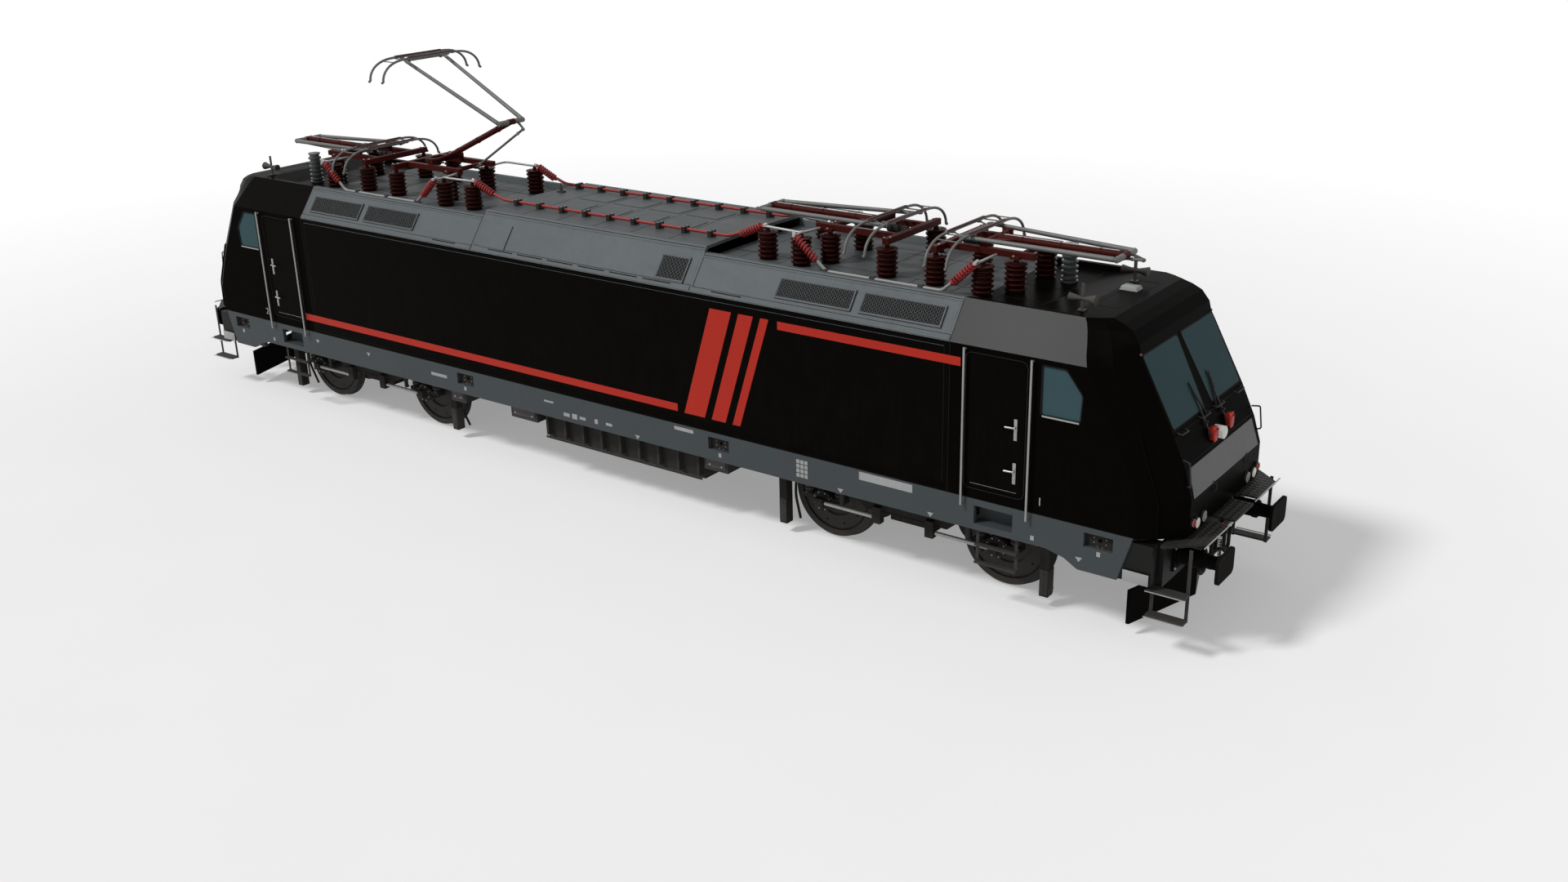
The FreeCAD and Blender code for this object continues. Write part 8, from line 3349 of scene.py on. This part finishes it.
    def screens(self) -> bpy.types.Object:
        """Four dark screens on each desk, tilted to the driver.

        Returns:
            The finished piece.
        """
        shape = Shape()
        across = Vector((0, 1, 0))
        for end in (1, -1):
            normal = self.tilt(end)
            for y in self.screen_sides:
                shape.sloped((end * 8.40, y, 2.385), (across, normal.cross(across), normal),
                             (0.26, 0.19, 0.018), 0.004)
        return shape.done("desk_screens", "body", "screen_glass", "interior")

    @staticmethod
    def tilt(end: int) -> Vector:
        """The way that the screens and dials of one cab face."""
        return Vector((-end * 0.82, 0, 0.57)).normalized()

    def consoles(self) -> bpy.types.Object:
        """Housings behind the screens and flat panels on the desk top.

        Returns:
            The finished piece.
        """
        shape = Shape()
        for end in (1, -1):
            for y in self.console_sides:
                shape.solid([(end * x, y - 0.34, z) for x, z in self.hood], (0, 0.68, 0))
                first, last = ordered(end, 7.80, 8.20)
                shape.block((first, y - 0.30, 2.178), (last, y + 0.30, 2.192), 0.004)
        return shape.done("desk_consoles", "body", "desk_dark", "interior")

    def dials(self) -> bpy.types.Object:
        """Round gauges with plain faces between the screens.

        Returns:
            The finished piece.
        """
        shape = Shape()
        for end in (1, -1):
            normal = self.tilt(end)
            for y in self.console_sides:
                for level in (-0.045, 0.045):
                    spot = Vector((end * 8.398, y, 2.387)) + normal.cross(Vector((0, 1, 0))) * level
                    shape.lathe(spot, normal, ((0, 0.024), (0.014, 0.024), (0.017, 0.020),
                                               (0.015, 0.0)), 20)
        return shape.done("desk_dials", "body", "dial_face", "interior")

    def levers(self) -> bpy.types.Object:
        """Power and brake levers with round grips.

        Returns:
            The finished piece.
        """
        shape = Shape()
        for end, y in self.places():
            for side in (-self.lever_spread, self.lever_spread):
                foot = Vector((end * 7.96, y + side, 2.190))
                shape.lathe(foot, (0, 0, 1), ((0, 0.035), (0.012, 0.033), (0.018, 0.020)), 18)
                shape.rod(foot + Vector((0, 0, 0.010)), foot + Vector((-end * 0.03, 0, 0.095)), 0.007, 8)
                shape.ball(foot + Vector((-end * 0.033, 0, 0.105)), 0.020)
        return shape.done("desk_levers", "body", "clamp_black", "interior")


ASSEMBLIES = (BodySides, CabDoors, CabWindows, CabFronts, RoofHoods, HighVoltage, Pantographs,
              RunningGear, Underfloor, Ends, CabInterior)


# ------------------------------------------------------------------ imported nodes
NODE_FINISHES = {
    "underframe": "frame_grey", "lifting_sockets": "running_gear",
    "machine_room_walls": "body_black", "cab_1_shell": "cab_black", "cab_2_shell": "cab_black",
    "cab_glass": "tinted_glass", "driver_desks": "desk_dark", "end_roof_hoods": "roof_grey",
    "middle_roof_hood": "roof_grey", "roof_grilles": "grille_metal",
    "roof_insulators": "insulator_brown", "cable_terminations": "cable_red",
    "high_voltage_cables": "cable_pair", "cable_clamps": "clamp_black",
    "pantograph_bases": "pantograph_red", "roof_horns": "horn_bronze",
    "machinery_block": "interior", "transformer": "tank_grey", "underfloor_boxes": "box_grey",
    "buffers": "buffer_grey", "screw_couplings": "running_gear", "brake_hoses": "hose_rubber",
    "footboards": "chequer_plate", "ladders": "box_grey", "ploughs": "body_black",
    "lamps": "lamp_white", "wipers": "clamp_black", "handrails": "bright_metal",
    "driver_seats": "seat_cloth", "roof_busbars": "bus_metal",
}
SUFFIX_FINISHES = {
    "_frame": "running_gear", "_axle_boxes": "running_gear", "_motors": "running_gear",
    "_door_right": "body_black", "_door_left": "body_black", "_lower_arm": "pantograph_red",
    "_upper_arm": "pantograph_grey", "_head": "pantograph_grey", "_control_rod": "pantograph_grey",
}


def paint_nodes() -> int:
    """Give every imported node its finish.

    Returns:
        How many nodes were painted.
    """
    for name, node in frame["nodes"].items():
        finish = NODE_FINISHES.get(name)
        if name.startswith("wheelset"):
            finish = "wheel_grey"
        for suffix, choice in SUFFIX_FINISHES.items():
            if finish is None and name.endswith(suffix):
                finish = choice
        for entry in node.material_slots:
            entry.material = FINISHES[finish]
    return len(frame["nodes"])


def main() -> None:
    """Build the studio, then each sub-assembly, and report."""
    logging.basicConfig(level=logging.INFO, format="%(message)s")
    Studio().build()
    LOG.info("painted %d nodes", paint_nodes())
    for assembly in ASSEMBLIES:
        pieces = assembly().build()
        LOG.info("%s: %d pieces", assembly.__name__, len(pieces))


if __name__ == "__main__":
    main()
